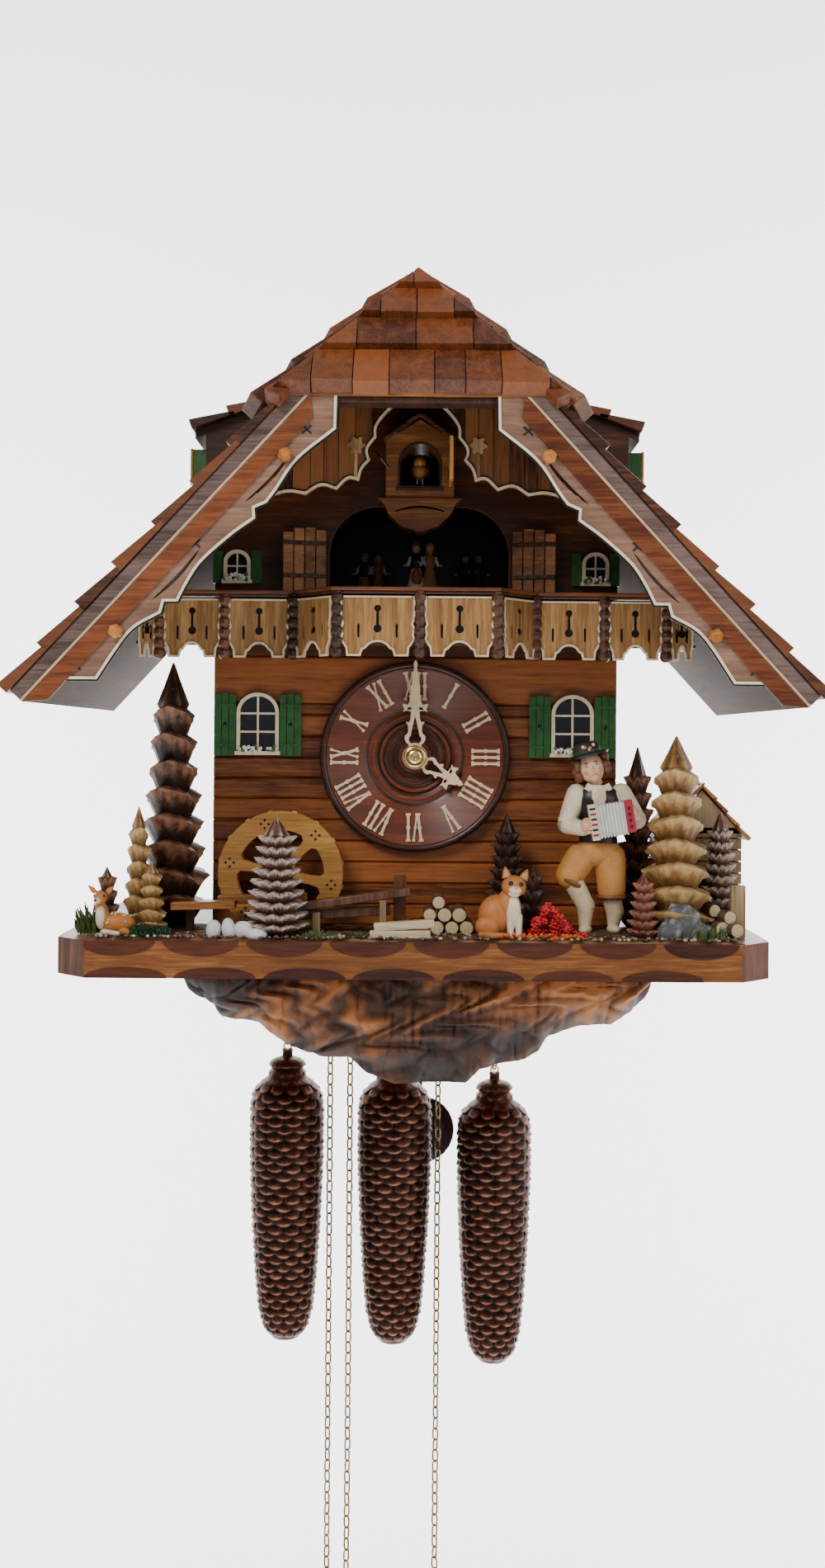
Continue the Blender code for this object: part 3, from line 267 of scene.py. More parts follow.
def relief_shaded(name, low, middle, high, rough=0.5, metallic=0.0, scale=260.0, wide=0.0):
    """Colour that follows the piece's own relief: painted shade in the hollows, painted highlight
    on top.
    """
    n = Nodes(name)
    # the lift attribute holds painted light: low values give painted shade, high values painted
    # highlight
    relief = n.attribute("lift")
    speck = n.noise(n.place, scale, 5.0, 0.65)
    broad = n.noise(n.place, 40.0, 2.0, 0.5)
    mixed = n.math("ADD", relief, n.math("MULTIPLY", n.math("SUBTRACT", speck, 0.5), 0.7))
    mixed = n.math("ADD", mixed, n.math("MULTIPLY", n.math("SUBTRACT", broad, 0.5), wide))
    n.link(n.ramp(mixed, [(0.12, low), (0.50, middle), (0.88, high)]), "Base Color")
    n.link(n.math("ADD", n.math("MULTIPLY", speck, 0.3), rough - 0.15), "Roughness")
    n.bump(speck, 0.35, 0.0003)
    return n.finish(metallic=metallic, specular=0.25)


M = {
    "shingle_y": wood("shingle_side", (0.030, 0.010, 0.005), (0.130, 0.042, 0.015), "x", 0.42, 0.3,
                      1.1, 1.0),
    "roof_board": wood("roof_board_wood", (0.040, 0.018, 0.011), (0.120, 0.058, 0.034), "y", 0.75,
                       0.0),
    "facade": wood("facade_wood", (0.080, 0.020, 0.006), (0.265, 0.080, 0.019), "x", 0.36, 0.4,
                   1.25, 0.7),
    "gable": wood("gable_wood", (0.040, 0.012, 0.005), (0.150, 0.048, 0.014), "x", 0.40, 0.35),
    "plank": wood("plank_wood", (0.030, 0.010, 0.005), (0.170, 0.060, 0.018), "z", 0.42, 0.3,
                  1.2, 1.3),
    "barge": wood("barge_wood", (0.240, 0.130, 0.085), (0.460, 0.290, 0.205), "x", 0.42, 0.3, 0.8),
    "orange": wood("orange_wood", (0.170, 0.055, 0.013), (0.420, 0.170, 0.045), "x", 0.38, 0.4),
    "scallop": wood("scallop_wood", (0.026, 0.006, 0.003), (0.085, 0.020, 0.007), "x", 0.38, 0.4),
    "oak": wood("oak_wood", (0.360, 0.165, 0.036), (0.560, 0.310, 0.085), "x", 0.42, 0.3, 1.1),
    "balcony": wood("balcony_wood", (0.230, 0.110, 0.036), (0.450, 0.250, 0.095), "z", 0.42, 0.3,
                    1.2, 0.8),
    "post": wood("post_wood", (0.030, 0.010, 0.005), (0.110, 0.038, 0.014), "z", 0.42, 0.3),
    "dial": wood("dial_wood", (0.130, 0.026, 0.008), (0.270, 0.066, 0.020), "x", 0.42, 0.2, 0.8),
    "dark": wood("dark_wood", (0.020, 0.008, 0.004), (0.070, 0.028, 0.014), "z", 0.45, 0.2),
    "light": wood("light_wood", (0.420, 0.260, 0.110), (0.680, 0.470, 0.240), "x", 0.45, 0.2),
    "cream": paint("cream_paint", (0.760, 0.650, 0.450), 0.45, 0.12),
    "green": paint("green_paint", (0.016, 0.085, 0.014), 0.45, 0.45, (0.012, 0.018, 0.010), 0.2),
    "black": paint("black_paint", (0.010, 0.008, 0.008), 0.35, 0.4),
    "white": paint("white_paint", (0.760, 0.740, 0.690), 0.5, 0.12),
    "brass": metal("brass_metal", (0.780, 0.570, 0.250), (0.420, 0.270, 0.090), 0.28),
    "chain": metal("chain_brass", (0.330, 0.250, 0.115), (0.090, 0.060, 0.024), 0.42, 600.0, 0.6),
    "cone": relief_shaded("cone_copper", (0.008, 0.004, 0.003), (0.070, 0.025, 0.016),
                   (0.520, 0.230, 0.140), 0.40, 0.75),
    "carving": relief_shaded("carving_wood", (0.014, 0.006, 0.004), (0.062, 0.022, 0.009),
                      (0.280, 0.098, 0.026), 0.62, 0.0, 70.0, 0.7),
}


# ---------------------------------------------------------------- shapes

class Shape:
    """Collects closed bodies into one mesh, each with a random tone and a material index."""

    def __init__(self, seed=1):
        self.vertices, self.faces, self.mats, self.tones, self.relief_shading = [], [], [], [], []
        self.random = random.Random(seed)

    def body(self, vertices, faces, mat=0, tone=None, matrix=None, relief_shading=None):
        start = len(self.vertices)
        if matrix is not None:
            vertices = [matrix @ Vector(v) for v in vertices]
        self.vertices += [tuple(v) for v in vertices]
        self.faces += [tuple(start + i for i in face) for face in faces]
        self.mats += [mat] * len(faces)
        self.tones += [self.random.random() if tone is None else tone] * len(vertices)
        self.relief_shading += [0.5] * len(vertices) if relief_shading is None else list(relief_shading)
        return self

    def box(self, low, high, mat=0, matrix=None):
        (x0, y0, z0), (x1, y1, z1) = low, high
        corners = [(x, y, z) for z in (z0, z1) for x, y in ((x0, y0), (x1, y0), (x1, y1), (x0, y1))]
        faces = [(3, 2, 1, 0), (4, 5, 6, 7), (0, 1, 5, 4), (1, 2, 6, 5), (2, 3, 7, 6), (3, 0, 4, 7)]
        return self.body(corners, faces, mat, None, matrix)

    def prism(self, outline, near, far, mat=0, matrix=None, axis="y"):
        """An outline without holes, swept from near to far along an axis."""
        def at(a, b, c):
            return {"y": (a, c, b), "z": (a, b, c), "x": (c, a, b)}[axis]
        count = len(outline)
        area = sum(outline[i - 1][0] * outline[i][1] - outline[i][0] * outline[i - 1][1]
                   for i in range(count))
        if (area < 0) != (axis == "y") == (near < far):
            outline = outline[::-1]
        if near > far:
            near, far = far, near
        vertices = [at(a, b, near) for a, b in outline] + [at(a, b, far) for a, b in outline]
        faces = [tuple(range(count)), tuple(reversed(range(count, 2 * count)))]
        for i in range(count):
            j = (i + 1) % count
            faces.append((j, i, count + i, count + j))
        return self.body(vertices, faces, mat, None, matrix)

    def lathe(self, profile, sides=24, mat=0, matrix=None, tone=None, scale=(1.0, 1.0)):
        """A turned body from (radius, height) points, bottom to top, round +Z."""
        vertices, faces = [], []
        for radius, height in profile:
            for side in range(sides):
                angle = 2 * math.pi * side / sides
                vertices.append((radius * scale[0] * math.cos(angle),
                                 radius * scale[1] * math.sin(angle), height))
        for ring in range(len(profile) - 1):
            for side in range(sides):
                a = ring * sides + side
                b = ring * sides + (side + 1) % sides
                faces.append((a, b, b + sides, a + sides))
        faces.append(tuple(reversed(range(sides))))
        top = (len(profile) - 1) * sides
        faces.append(tuple(range(top, top + sides)))
        return self.body(vertices, faces, mat, tone, matrix)

    def ball(self, centre, size, mat=0, rings=8, sides=12, tone=None, matrix=None):
        """An egg with the given half sizes."""
        profile = []
        for ring in range(rings + 1):
            angle = math.pi * (ring / rings - 0.5)
            profile.append((max(math.cos(angle), 0.02), math.sin(angle)))
        place = Matrix.Translation(centre) @ Matrix.Diagonal((*size, 1.0))
        if matrix is not None:
            place = matrix @ place
        return self.lathe(profile, sides, mat, place, tone)

    def tube(self, path, radius, mat=0, sides=8):
        """A round bar along a path; radius is one value or one for each point."""
        path = [Vector(p) for p in path]
        radii = radius if isinstance(radius, (list, tuple)) else [radius] * len(path)
        up = Vector((0.0, 0.0, 1.0))
        vertices, faces = [], []
        for index, point in enumerate(path):
            ahead = path[min(index + 1, len(path) - 1)] - path[max(index - 1, 0)]
            ahead = ahead.normalized() if ahead.length > 1e-9 else Vector((0.0, 0.0, 1.0))
            side = ahead.cross(up)
            if side.length < 1e-3:
                side = ahead.cross(Vector((0.0, 1.0, 0.0)))
            side.normalize()
            up = side.cross(ahead).normalized()
            for step in range(sides):
                angle = 2 * math.pi * step / sides
                vertices.append(point + radii[index]
                                * (math.cos(angle) * side + math.sin(angle) * up))
        for ring in range(len(path) - 1):
            for step in range(sides):
                a = ring * sides + step
                b = ring * sides + (step + 1) % sides
                faces.append((b, a, a + sides, b + sides))
        faces.append(tuple(range(sides)))
        last = (len(path) - 1) * sides
        faces.append(tuple(reversed(range(last, last + sides))))
        return self.body(vertices, faces, mat)

    def place(self, name, materials, body="root", replaces=(), bevel=0.0, smooth=True, slot=None,
              angle=35.0):
        """Make the piece: mesh, attributes, materials, rounding, and the body it rides on."""
        mesh = bpy.data.meshes.new(name)
        mesh.from_pydata(self.vertices, [], self.faces)
        tone = mesh.attributes.new("tone", "FLOAT", "POINT")
        tone.data.foreach_set("value", np.array(self.tones, np.float32))
        # lift: per-vertex painted shade and painted highlight, read by the relief materials
        lift = mesh.attributes.new("lift", "FLOAT", "POINT")
        lift.data.foreach_set("value", np.array(self.relief_shading, np.float32))
        for material in materials:
            mesh.materials.append(M[material] if isinstance(material, str) else material)
        mesh.polygons.foreach_set("material_index", self.mats)
        return settle(name, mesh, body, replaces, bevel, smooth, angle)


def settle(name, mesh, body="root", replaces=(), bevel=0.0, smooth=True, angle=35.0):
    """Link a mesh as a piece, round its edges, and let it ride on its body."""
    obj = bpy.data.objects.new(name, mesh)
    bpy.context.scene.collection.objects.link(obj)
    shape = bmesh.new()
    shape.from_mesh(mesh)
    bmesh.ops.recalc_face_normals(shape, faces=shape.faces)
    shape.to_mesh(mesh)
    shape.free()
    if bevel:
        rounding = obj.modifiers.new("rounding", "BEVEL")
        rounding.width = bevel
        rounding.segments = 2
        rounding.limit_method = "ANGLE"
        rounding.angle_limit = math.radians(angle)
    if smooth:
        mesh.shade_smooth()
        mesh.set_sharp_from_angle(angle=math.radians(angle))
    if replaces:
        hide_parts(*replaces)
    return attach(obj, body)


def arc(centre, radius, start, end, steps, squash=1.0):
    points = []
    for step in range(steps + 1):
        angle = math.radians(start + (end - start) * step / steps)
        points.append((centre[0] + radius * math.cos(angle),
                       centre[1] + radius * squash * math.sin(angle)))
    return points


def board(name, outlines, near, far, material, body="root", replaces=(), bevel=0.0,
          matrix=None):
    """A flat piece with holes: outlines in x and z, between two y values."""
    curve = bpy.data.curves.new(name + "_outline", "CURVE")
    curve.dimensions = "2D"
    curve.fill_mode = "BOTH"
    curve.extrude = abs(far - near) / 2
    for outline in outlines:
        spline = curve.splines.new("POLY")
        spline.points.add(len(outline) - 1)
        for point, (across, up) in zip(spline.points, outline):
            point.co = (across, up, 0.0, 1.0)
        spline.use_cyclic_u = True
    flat = bpy.data.objects.new(name + "_outline", curve)
    mesh = bpy.data.meshes.new_from_object(flat)
    bpy.data.objects.remove(flat)
    bpy.data.curves.remove(curve)
    mesh.name = name
    mesh.transform(turned((0.0, (near + far) / 2, 0.0), math.pi / 2, "X"))
    shape = bmesh.new()
    shape.from_mesh(mesh)
    bmesh.ops.remove_doubles(shape, verts=shape.verts, dist=1e-6)
    bmesh.ops.dissolve_limit(shape, angle_limit=0.001, verts=shape.verts, edges=shape.edges)
    shape.to_mesh(mesh)
    shape.free()
    if matrix is not None:
        mesh.transform(matrix)
    mesh.materials.clear()
    mesh.materials.append(M[material])
    return settle(name, mesh, body, replaces, bevel, True)


def repaint(node, material):
    """Give a CAD node its finished material."""
    mesh = NODES[node].data
    mesh.materials.clear()
    mesh.materials.append(M[material])


# ---------------------------------------------------------------- chains

LINK_PITCH = 0.00635
LINK_LENGTH = 0.0080
CHAIN_WIDTH = 0.0046
LINK_WIRE = 0.00055
HANK_FOLD = 0.0231
HANK_STRAIGHT = 0.060
HANK_ARC_TOP = -0.5284
WHEEL_AXIS_Z = -0.030
CHAIN_Y = -0.065
CHAINS = {
    "left": {"load": -0.0740, "free": -0.0486, "wall": 1, "run": -0.065},
    "middle": {"load": -0.0103, "free": -0.0368, "wall": -1, "run": -0.071},
    "right": {"load": 0.0486, "free": 0.0152, "wall": 1, "run": -0.065}}


def hank_route(chain):
    """Turns of a tied hank: three inwards in one layer, three outwards in the next."""
    wall, x, run = chain["wall"], chain["free"], chain["run"]
    middle = run + wall * HANK_FOLD
    beside = CHAIN_WIDTH * wall
    foot = HANK_ARC_TOP - HANK_STRAIGHT
    radii = [HANK_FOLD, HANK_FOLD - CHAIN_WIDTH, HANK_FOLD - 2 * CHAIN_WIDTH]
    turns = [(radius, 0.0) for radius in radii] + [(radius, 1.0) for radius in reversed(radii)]
    points = []
    for index, (radius, layer) in enumerate(turns):
        after, layer_after = turns[index + 1] if index < 5 else turns[index]
        for step in range(5):
            points.append((x + beside * layer, middle - wall * radius,
                           HANK_ARC_TOP - HANK_STRAIGHT * step / 5))
        for step in range(10):
            angle = math.pi * step / 10
            points.append((x + beside * layer, middle - wall * radius * math.cos(angle),
                           foot - radius * math.sin(angle)))
        for step in range(5):
            points.append((x + beside * layer, middle + wall * radius,
                           foot + HANK_STRAIGHT * step / 5))
        for step in range(10):
            share = step / 10
            smooth = share * share * (3 - 2 * share)
            across = radius + (after - radius) * smooth
            level = layer + (layer_after - layer) * smooth
            angle = math.pi * share
            points.append((x + beside * level, middle + wall * across * math.cos(angle),
                           HANK_ARC_TOP + across * math.sin(angle)))
    for step in range(8):
        points.append((x + beside, run, HANK_ARC_TOP - (HANK_STRAIGHT + 0.0165) * step / 7))
    return points


def link_chain(name, route):
    """Oval links along a route, each turned a quarter from the last."""
    route = np.array(route, float)
    lengths = np.concatenate([[0.0], np.cumsum(np.linalg.norm(np.diff(route, axis=0), axis=1))])
    count = int(lengths[-1] / LINK_PITCH)
    half = LINK_LENGTH / 2 - CHAIN_WIDTH / 2
    ring = CHAIN_WIDTH / 2 - LINK_WIRE
    centre = [(half + ring * math.sin(a), ring * math.cos(a)) for a in np.linspace(0, math.pi, 7)]
    centre += [(-half - ring * math.sin(a), -ring * math.cos(a))
               for a in np.linspace(0, math.pi, 7)]
    outward = [(math.sin(a), math.cos(a)) for a in np.linspace(0, math.pi, 7)]
    outward += [(-math.sin(a), -math.cos(a)) for a in np.linspace(0, math.pi, 7)]
    sides = 6
    local = []
    for (along, across), (nx, ny) in zip(centre, outward):
        for side in range(sides):
            angle = 2 * math.pi * side / sides
            out = LINK_WIRE * math.cos(angle)
            local.append((along + nx * out, across + ny * out, LINK_WIRE * math.sin(angle)))
    local = np.array(local)
    loops = len(centre)
    quads = []
    for ring_index in range(loops):
        for side in range(sides):
            a = ring_index * sides + side
            b = ring_index * sides + (side + 1) % sides
            c = ((ring_index + 1) % loops) * sides + (side + 1) % sides
            d = ((ring_index + 1) % loops) * sides + side
            quads.append((a, b, c, d))
    quads = np.array(quads)
    vertices, faces, tones = [], [], []
    rng = random.Random(len(name) + 7)
    for link in range(count):
        at = (link + 0.5) * LINK_PITCH
        here = np.array([np.interp(at, lengths, route[:, k]) for k in range(3)])
        ahead = np.array([np.interp(at + 0.002, lengths, route[:, k]) for k in range(3)])
        behind = np.array([np.interp(at - 0.002, lengths, route[:, k]) for k in range(3)])
        along = ahead - behind
        along /= np.linalg.norm(along)
        side = np.cross(along, (1.0, 0.0, 0.0))
        side /= np.linalg.norm(side)
        twist = math.radians(45.0 + (90.0 if link % 2 else 0.0) + rng.uniform(-8.0, 8.0))
        other = np.cross(side, along)
        across = math.cos(twist) * side + math.sin(twist) * other
        normal = np.cross(along, across)
        vertices.append(here + local @ np.array([along, across, normal]))
        faces.append(quads + link * len(local))
        tones += [rng.random()] * len(local)
    mesh = bpy.data.meshes.new(name)
    mesh.from_pydata(np.concatenate(vertices).tolist(), [], np.concatenate(faces).tolist())
    tone = mesh.attributes.new("tone", "FLOAT", "POINT")
    tone.data.foreach_set("value", np.array(tones, np.float32))
    mesh.materials.append(M["chain"])
    return mesh


def make_chains():
    for name, chain in CHAINS.items():
        x, run = chain["free"], chain["run"]
        fall = [(x, CHAIN_Y, WHEEL_AXIS_Z), (x, CHAIN_Y, -0.150), (x, CHAIN_Y, -0.300),
                (x, CHAIN_Y, -0.400)]
        if run != CHAIN_Y:
            for step in range(1, 8):
                share = step / 8
                smooth = share * share * (3 - 2 * share)
                fall.append((x, CHAIN_Y + (run - CHAIN_Y) * smooth, -0.400 - 0.093 * share))
        fall.append((x, run, -0.493))
        route = fall + hank_route(chain)
        mesh = link_chain("chain_" + name, route)
        piece = settle("chain_" + name, mesh, "root", ("free_chain_" + name, "hank_" + name))
        repaint("ring_" + name, "brass")
        tie = Shape(3)
        middle = run + chain["wall"] * HANK_FOLD
        tie_z = HANK_ARC_TOP - HANK_STRAIGHT / 2
        half_x, half_y = 0.0050, HANK_FOLD + 0.0028
        centre_x = x + chain["wall"] * CHAIN_WIDTH / 2
        loop = []
        for step in range(25):
            angle = 2 * math.pi * step / 24
            loop.append((centre_x + half_x * max(-1, min(1, 1.25 * math.cos(angle))),
                         middle + half_y * max(-1, min(1, 1.25 * math.sin(angle))), tie_z))
        for level in (-0.0011, 0.0011):
            tie.tube([(a, b, c + level) for a, b, c in loop], 0.0009)
        tie_piece = tie.place("chain_tie_" + name, ["brass"], slot="brass")

        load = chain["load"]
        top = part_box("weight_" + name)[1].z
        middle_x = (load + x) / 2
        radius = abs(load - x) / 2
        away = 1 if load > x else -1
        loaded = [(middle_x - away * radius * math.cos(a), CHAIN_Y,
                   WHEEL_AXIS_Z + radius * math.sin(a))
                  for a in np.linspace(0.25, math.pi, 14)]
        loaded += [(load, CHAIN_Y, WHEEL_AXIS_Z + (top - WHEEL_AXIS_Z) * share)
                   for share in (0.25, 0.5, 0.75, 1.0)]
        mesh = link_chain("loaded_chain_" + name, loaded)
        obj = bpy.data.objects.new("loaded_chain_" + name, mesh)
        bpy.context.scene.collection.objects.link(obj)
        mesh.shade_smooth()
        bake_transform(obj)


# ---------------------------------------------------------------- roof

PITCH = math.radians(47.3)
ROOF_HALF = 0.190
ROOF_APEX = 0.232
ROOF_DEPTH = 0.250
EAVE_Z = ROOF_APEX - ROOF_HALF * math.tan(PITCH)
SHINGLE_BASE = 0.0083
SHINGLE_THIN = 0.0030
SHINGLE_BUTT = 0.0062
HIP_PITCH = math.radians(50.0)
HIP_Z = 0.177
CROWN_Z = ROOF_APEX + (SHINGLE_BASE + SHINGLE_BUTT) / math.cos(PITCH) + 0.002


def on_slope(along, lift, side=1):
    """Point in x and z: distance up the slope from the eave, height off its underside."""
    x = ROOF_HALF - along * math.cos(PITCH) + lift * math.sin(PITCH)
    return side * x, EAVE_Z + along * math.sin(PITCH) + lift * math.cos(PITCH)


def slope_frame(side):
    """Matrix from (along, depth, lift) to the object's frame."""
    x, z = on_slope(0.0, 0.0, side)
    frame_matrix = Matrix((
        (-side * math.cos(PITCH), 0.0, side * math.sin(PITCH), x),
        (0.0, 1.0, 0.0, 0.0),
        (math.sin(PITCH), 0.0, math.cos(PITCH), z),
        (0.0, 0.0, 0.0, 1.0)))
    return frame_matrix


def hip_frame():
    """Matrix from (x, along, lift) on the hip to the object's frame."""
    return Matrix((
        (1.0, 0.0, 0.0, 0.0),
        (0.0, math.cos(HIP_PITCH), -math.sin(HIP_PITCH), -ROOF_DEPTH),
        (0.0, math.sin(HIP_PITCH), math.cos(HIP_PITCH), HIP_Z),
        (0.0, 0.0, 0.0, 1.0)))


def wedge(shape, a0, a1, b0, b1, butt, thin, base, matrix, mat=0, first="a"):
    """A shingle: lowest edge thick, upper edge thin. It runs up a, or up b."""
    if first == "a":
        low = [(a0, b0, base), (a1, b0, base), (a1, b1, base), (a0, b1, base)]
        high = [(a0, b0, base + butt), (a1, b0, base + thin), (a1, b1, base + thin),
                (a0, b1, base + butt)]
    else:
        low = [(a0, b0, base), (a1, b0, base), (a1, b1, base), (a0, b1, base)]
        high = [(a0, b0, base + butt), (a1, b0, base + butt), (a1, b1, base + thin),
                (a0, b1, base + thin)]
    faces = [(3, 2, 1, 0), (4, 5, 6, 7), (0, 1, 5, 4), (1, 2, 6, 5), (2, 3, 7, 6), (3, 0, 4, 7)]
    shape.body(low + high, faces, mat, None, matrix)


def cut_shape(shape, planes):
    """Cut a collected shape with planes, dropping what lies on each normal's side."""
    mesh = bpy.data.meshes.new("cut")
    mesh.from_pydata(shape.vertices, [], shape.faces)
    work = bmesh.new()
    work.from_mesh(mesh)
    bpy.data.meshes.remove(mesh)
    tones = work.verts.layers.float.new("tone")
    for vertex, tone in zip(work.verts, shape.tones):
        vertex[tones] = tone
    for point, normal in planes:
        found = bmesh.ops.bisect_plane(work, geom=work.verts[:] + work.edges[:] + work.faces[:],
                                       dist=1e-7, plane_co=point, plane_no=normal, clear_outer=True)
        rims = [part for part in found["geom_cut"] if isinstance(part, bmesh.types.BMEdge)]
        bmesh.ops.holes_fill(work, edges=rims, sides=0)
    work.verts.index_update()
    cut = Shape()
    cut.vertices = [tuple(v.co) for v in work.verts]
    cut.tones = [v[tones] for v in work.verts]
    cut.relief_shading = [0.5] * len(cut.vertices)
    cut.faces = [tuple(v.index for v in face.verts) for face in work.faces]
    cut.mats = [0] * len(cut.faces)
    work.free()
    return cut


def make_main_shingles():
    courses = 11
    top = (ROOF_HALF + (SHINGLE_BASE + 0.002) * math.sin(PITCH)) / math.cos(PITCH)
    step = top / courses
    hip_y = -ROOF_DEPTH - 0.004 * math.sin(HIP_PITCH)
    hip_z = HIP_Z + 0.004 * math.cos(HIP_PITCH)
    hip_plane = ((0.0, hip_y, hip_z), (0.0, -math.sin(HIP_PITCH), math.cos(HIP_PITCH)))
    for side, name in ((-1, "left"), (1, "right")):
        shape = Shape(11 + side)
        matrix = slope_frame(side)
        for course in range(courses):
            y = -ROOF_DEPTH - shape.random.uniform(0.0, 0.0008)
            while y < -0.0005:
                width = shape.random.uniform(0.013, 0.022)
                end = min(y + width, 0.0)
                if end > -0.008:
                    end = 0.0
                low = course * step + shape.random.uniform(-0.0012, 0.0012)
                if course == 0:
                    low = shape.random.uniform(-0.0028, 0.0004)
                high = min((course + 1) * step + 0.004, top - 0.0003)
                butt = SHINGLE_BUTT + shape.random.uniform(-0.0006, 0.0003)
                wedge(shape, low, high, y, end - 0.0004, butt, SHINGLE_THIN - 0.0006, SHINGLE_BASE,
                      matrix)
                y = end
        shape = cut_shape(shape, [hip_plane])
        shape.place("shingles_" + name + "_laid", ["shingle_y"], replaces=["shingles_" + name],
                    bevel=0.0004, slot="dark_wood", smooth=False)


def make_hip_shingles():
    shape = Shape(23)
    matrix = hip_frame()
    length = (CROWN_Z - HIP_Z) / math.sin(HIP_PITCH)
    courses = 4
    starts = [0.0, 0.27 * length, 0.52 * length, 0.76 * length, length]
    for course in range(courses):
        x = -0.080
        while x < 0.080:
            width = shape.random.uniform(0.014, 0.030)
            low = starts[course] + shape.random.uniform(-0.0006, 0.0010)
            if course == 0:
                low = -0.0030 + shape.random.choice((0.0, 0.0006, 0.0016))
            wedge(shape, x, x + width - 0.0005, low, starts[course + 1] + 0.003,
                  0.0088 - 0.0008 * shape.random.random(), 0.0038, 0.0, matrix, first="b")
            x += width
    planes = [((0.0, 0.0, CROWN_Z - 0.002), (side * math.sin(PITCH), 0.0, math.cos(PITCH)))
              for side in (-1, 1)]
    shape = cut_shape(shape, planes)
    shape.place("hip_shingles", ["hip"], replaces=["hip_roof"], bevel=0.0004, slot="dark_wood",
                smooth=False)


def lapped_board(shape, start, end, out, normal, width, butt, thin, overlap=0.0):
    """A cap board from start up to end, spreading from the line towards out, standing on normal."""
    start, end, out, normal = (Vector(v) for v in (start, end, out, normal))
    run = (end - start).normalized()
    low = start - run * overlap
    corners = [low, low + out * width, end + out * width, end]
    top = [low + normal * butt, low + out * width + normal * butt,
           end + out * width + normal * thin, end + normal * thin]
    faces = [(3, 2, 1, 0), (4, 5, 6, 7), (0, 1, 5, 4), (1, 2, 6, 5), (2, 3, 7, 6), (3, 0, 4, 7)]
    shape.body(corners + top, faces)


def make_caps():
    """Boards lapped over both hips, and over the ridge behind them."""
    shape = Shape(31)
    foot_half = (CROWN_Z - HIP_Z) / math.tan(PITCH)
    foot_y = -ROOF_DEPTH
    top = Vector((0.0, foot_y + (CROWN_Z - HIP_Z) / math.tan(HIP_PITCH), CROWN_Z - 0.0035))
    hip_normal = Vector((0.0, -math.sin(HIP_PITCH), math.cos(HIP_PITCH)))
    for side in (-1, 1):
        foot = Vector((side * foot_half, foot_y, HIP_Z - 0.0035))
        line = (top - foot).normalized()
        slope_normal = Vector((side * math.sin(PITCH), 0.0, math.cos(PITCH)))
        back = slope_normal.cross(line) * side
        back = back if back.y > 0 else -back
        front = hip_normal.cross(line)
        front = front if front.y < 0 else -front
        front = -front if (front.x * side) > 0 else front
        count = 4
        for index in range(count):
            start = foot.lerp(top, index / count)
            end = foot.lerp(top, min(1.0, (index + 1) / count + 0.10))
            lean = shape.random.uniform(-0.0006, 0.0006)
            lapped_board(shape, start, end, back, slope_normal, 0.0165 + lean, 0.0078, 0.0030,
                         0.0045)
            lapped_board(shape, start, end, front, hip_normal, 0.0085 - lean, 0.0072, 0.0030,
                         0.0025)
    for index in range(8):
        start_y = top.y - 0.006 + index * 0.0235
        end_y = min(start_y + 0.0275, -0.0004)
        for side in (-1, 1):
            slope_normal = Vector((side * math.sin(PITCH), 0.0, math.cos(PITCH)))
            down = Vector((side * math.cos(PITCH), 0.0, -math.sin(PITCH)))
            lapped_board(shape, (0.0, start_y, CROWN_Z - 0.0072), (0.0, end_y, CROWN_Z - 0.0072),
                         down, slope_normal, 0.0150, 0.0052, 0.0036)
    shape.place("roof_caps", ["cap"], bevel=0.0005, slot="dark_wood", smooth=False)


def ribbon(shape, path, start, end, near, far, mat=0, tone=None, matrix=None):
    """A flat band beside a path in x and z, from start to end off it, between two y values."""
    path = [Vector(p) for p in path]
    normals = []
    for index in range(len(path)):
        sides = []
        if index:
            sides.append((path[index] - path[index - 1]).normalized())
        if index < len(path) - 1:
            sides.append((path[index + 1] - path[index]).normalized())
        turned = [Vector((-side.y, side.x)) for side in sides]
        middle = sum(turned, Vector((0.0, 0.0)))
        middle = middle.normalized() if middle.length > 1e-6 else turned[0]
        normals.append(middle / max(0.5, middle.dot(turned[0])))
    inner = [p + n * start for p, n in zip(path, normals)]
    outer = [p + n * end for p, n in zip(path, normals)]
    vertices, faces = [], []
    for a, b in zip(inner, outer):
        vertices += [(a.x, near, a.y), (b.x, near, b.y), (b.x, far, b.y), (a.x, far, a.y)]
    for index in range(len(path) - 1):
        base = 4 * index
        for k in range(4):
            faces.append((base + k, base + (k + 1) % 4, base + 4 + (k + 1) % 4, base + 4 + k))
    faces.append((3, 2, 1, 0))
    last = 4 * (len(path) - 1)
    faces.append((last, last + 1, last + 2, last + 3))
    shape.body(vertices, faces, mat, tone, matrix)


def eased(points, per=5):
    """Smooth the runs between corner points; each point is (a, b, corner)."""
    path = []
    runs, run = [], [points[0]]
    for point in points[1:]:
        run.append(point)
        if point[2]:
            runs.append(run)
            run = [point]
    if len(run) > 1:
        runs.append(run)
    for run in runs:
        knots = [Vector(p[:2]) for p in run]
        if len(knots) == 2:
            path += knots[:-1]
            continue
        guarded = [2 * knots[0] - knots[1]] + knots + [2 * knots[-1] - knots[-2]]
        for i in range(1, len(guarded) - 2):
            a, b, c, d = guarded[i - 1:i + 3]
            for step in range(per):
                t = step / per
                path.append(0.5 * (2 * b + (c - a) * t + (2 * a - 5 * b + 4 * c - d) * t * t
                                   + (3 * b - a - 3 * c + d) * t ** 3))
    path.append(Vector(runs[-1][-1][:2]))
    return [tuple(p) for p in path]


BARGE_EDGE = [                 # up the slope, depth below it (mm), and whether it is a corner
    (211.2, 8.9, 1), (199.3, 19.4, 1), (176.3, 16.1, 0), (158.4, 18.6, 0), (151.0, 19.4, 1),
    (144.6, 16.6, 1), (141.1, 20.4, 1), (127.7, 17.7, 0), (108.8, 16.0, 0), (96.9, 17.8, 0),
    (87.0, 20.5, 1), (82.4, 15.6, 1), (76.9, 18.4, 1), (63.8, 14.2, 0), (51.7, 14.6, 0),
    (33.0, 17.7, 1), (21.4, 5.2, 1)]


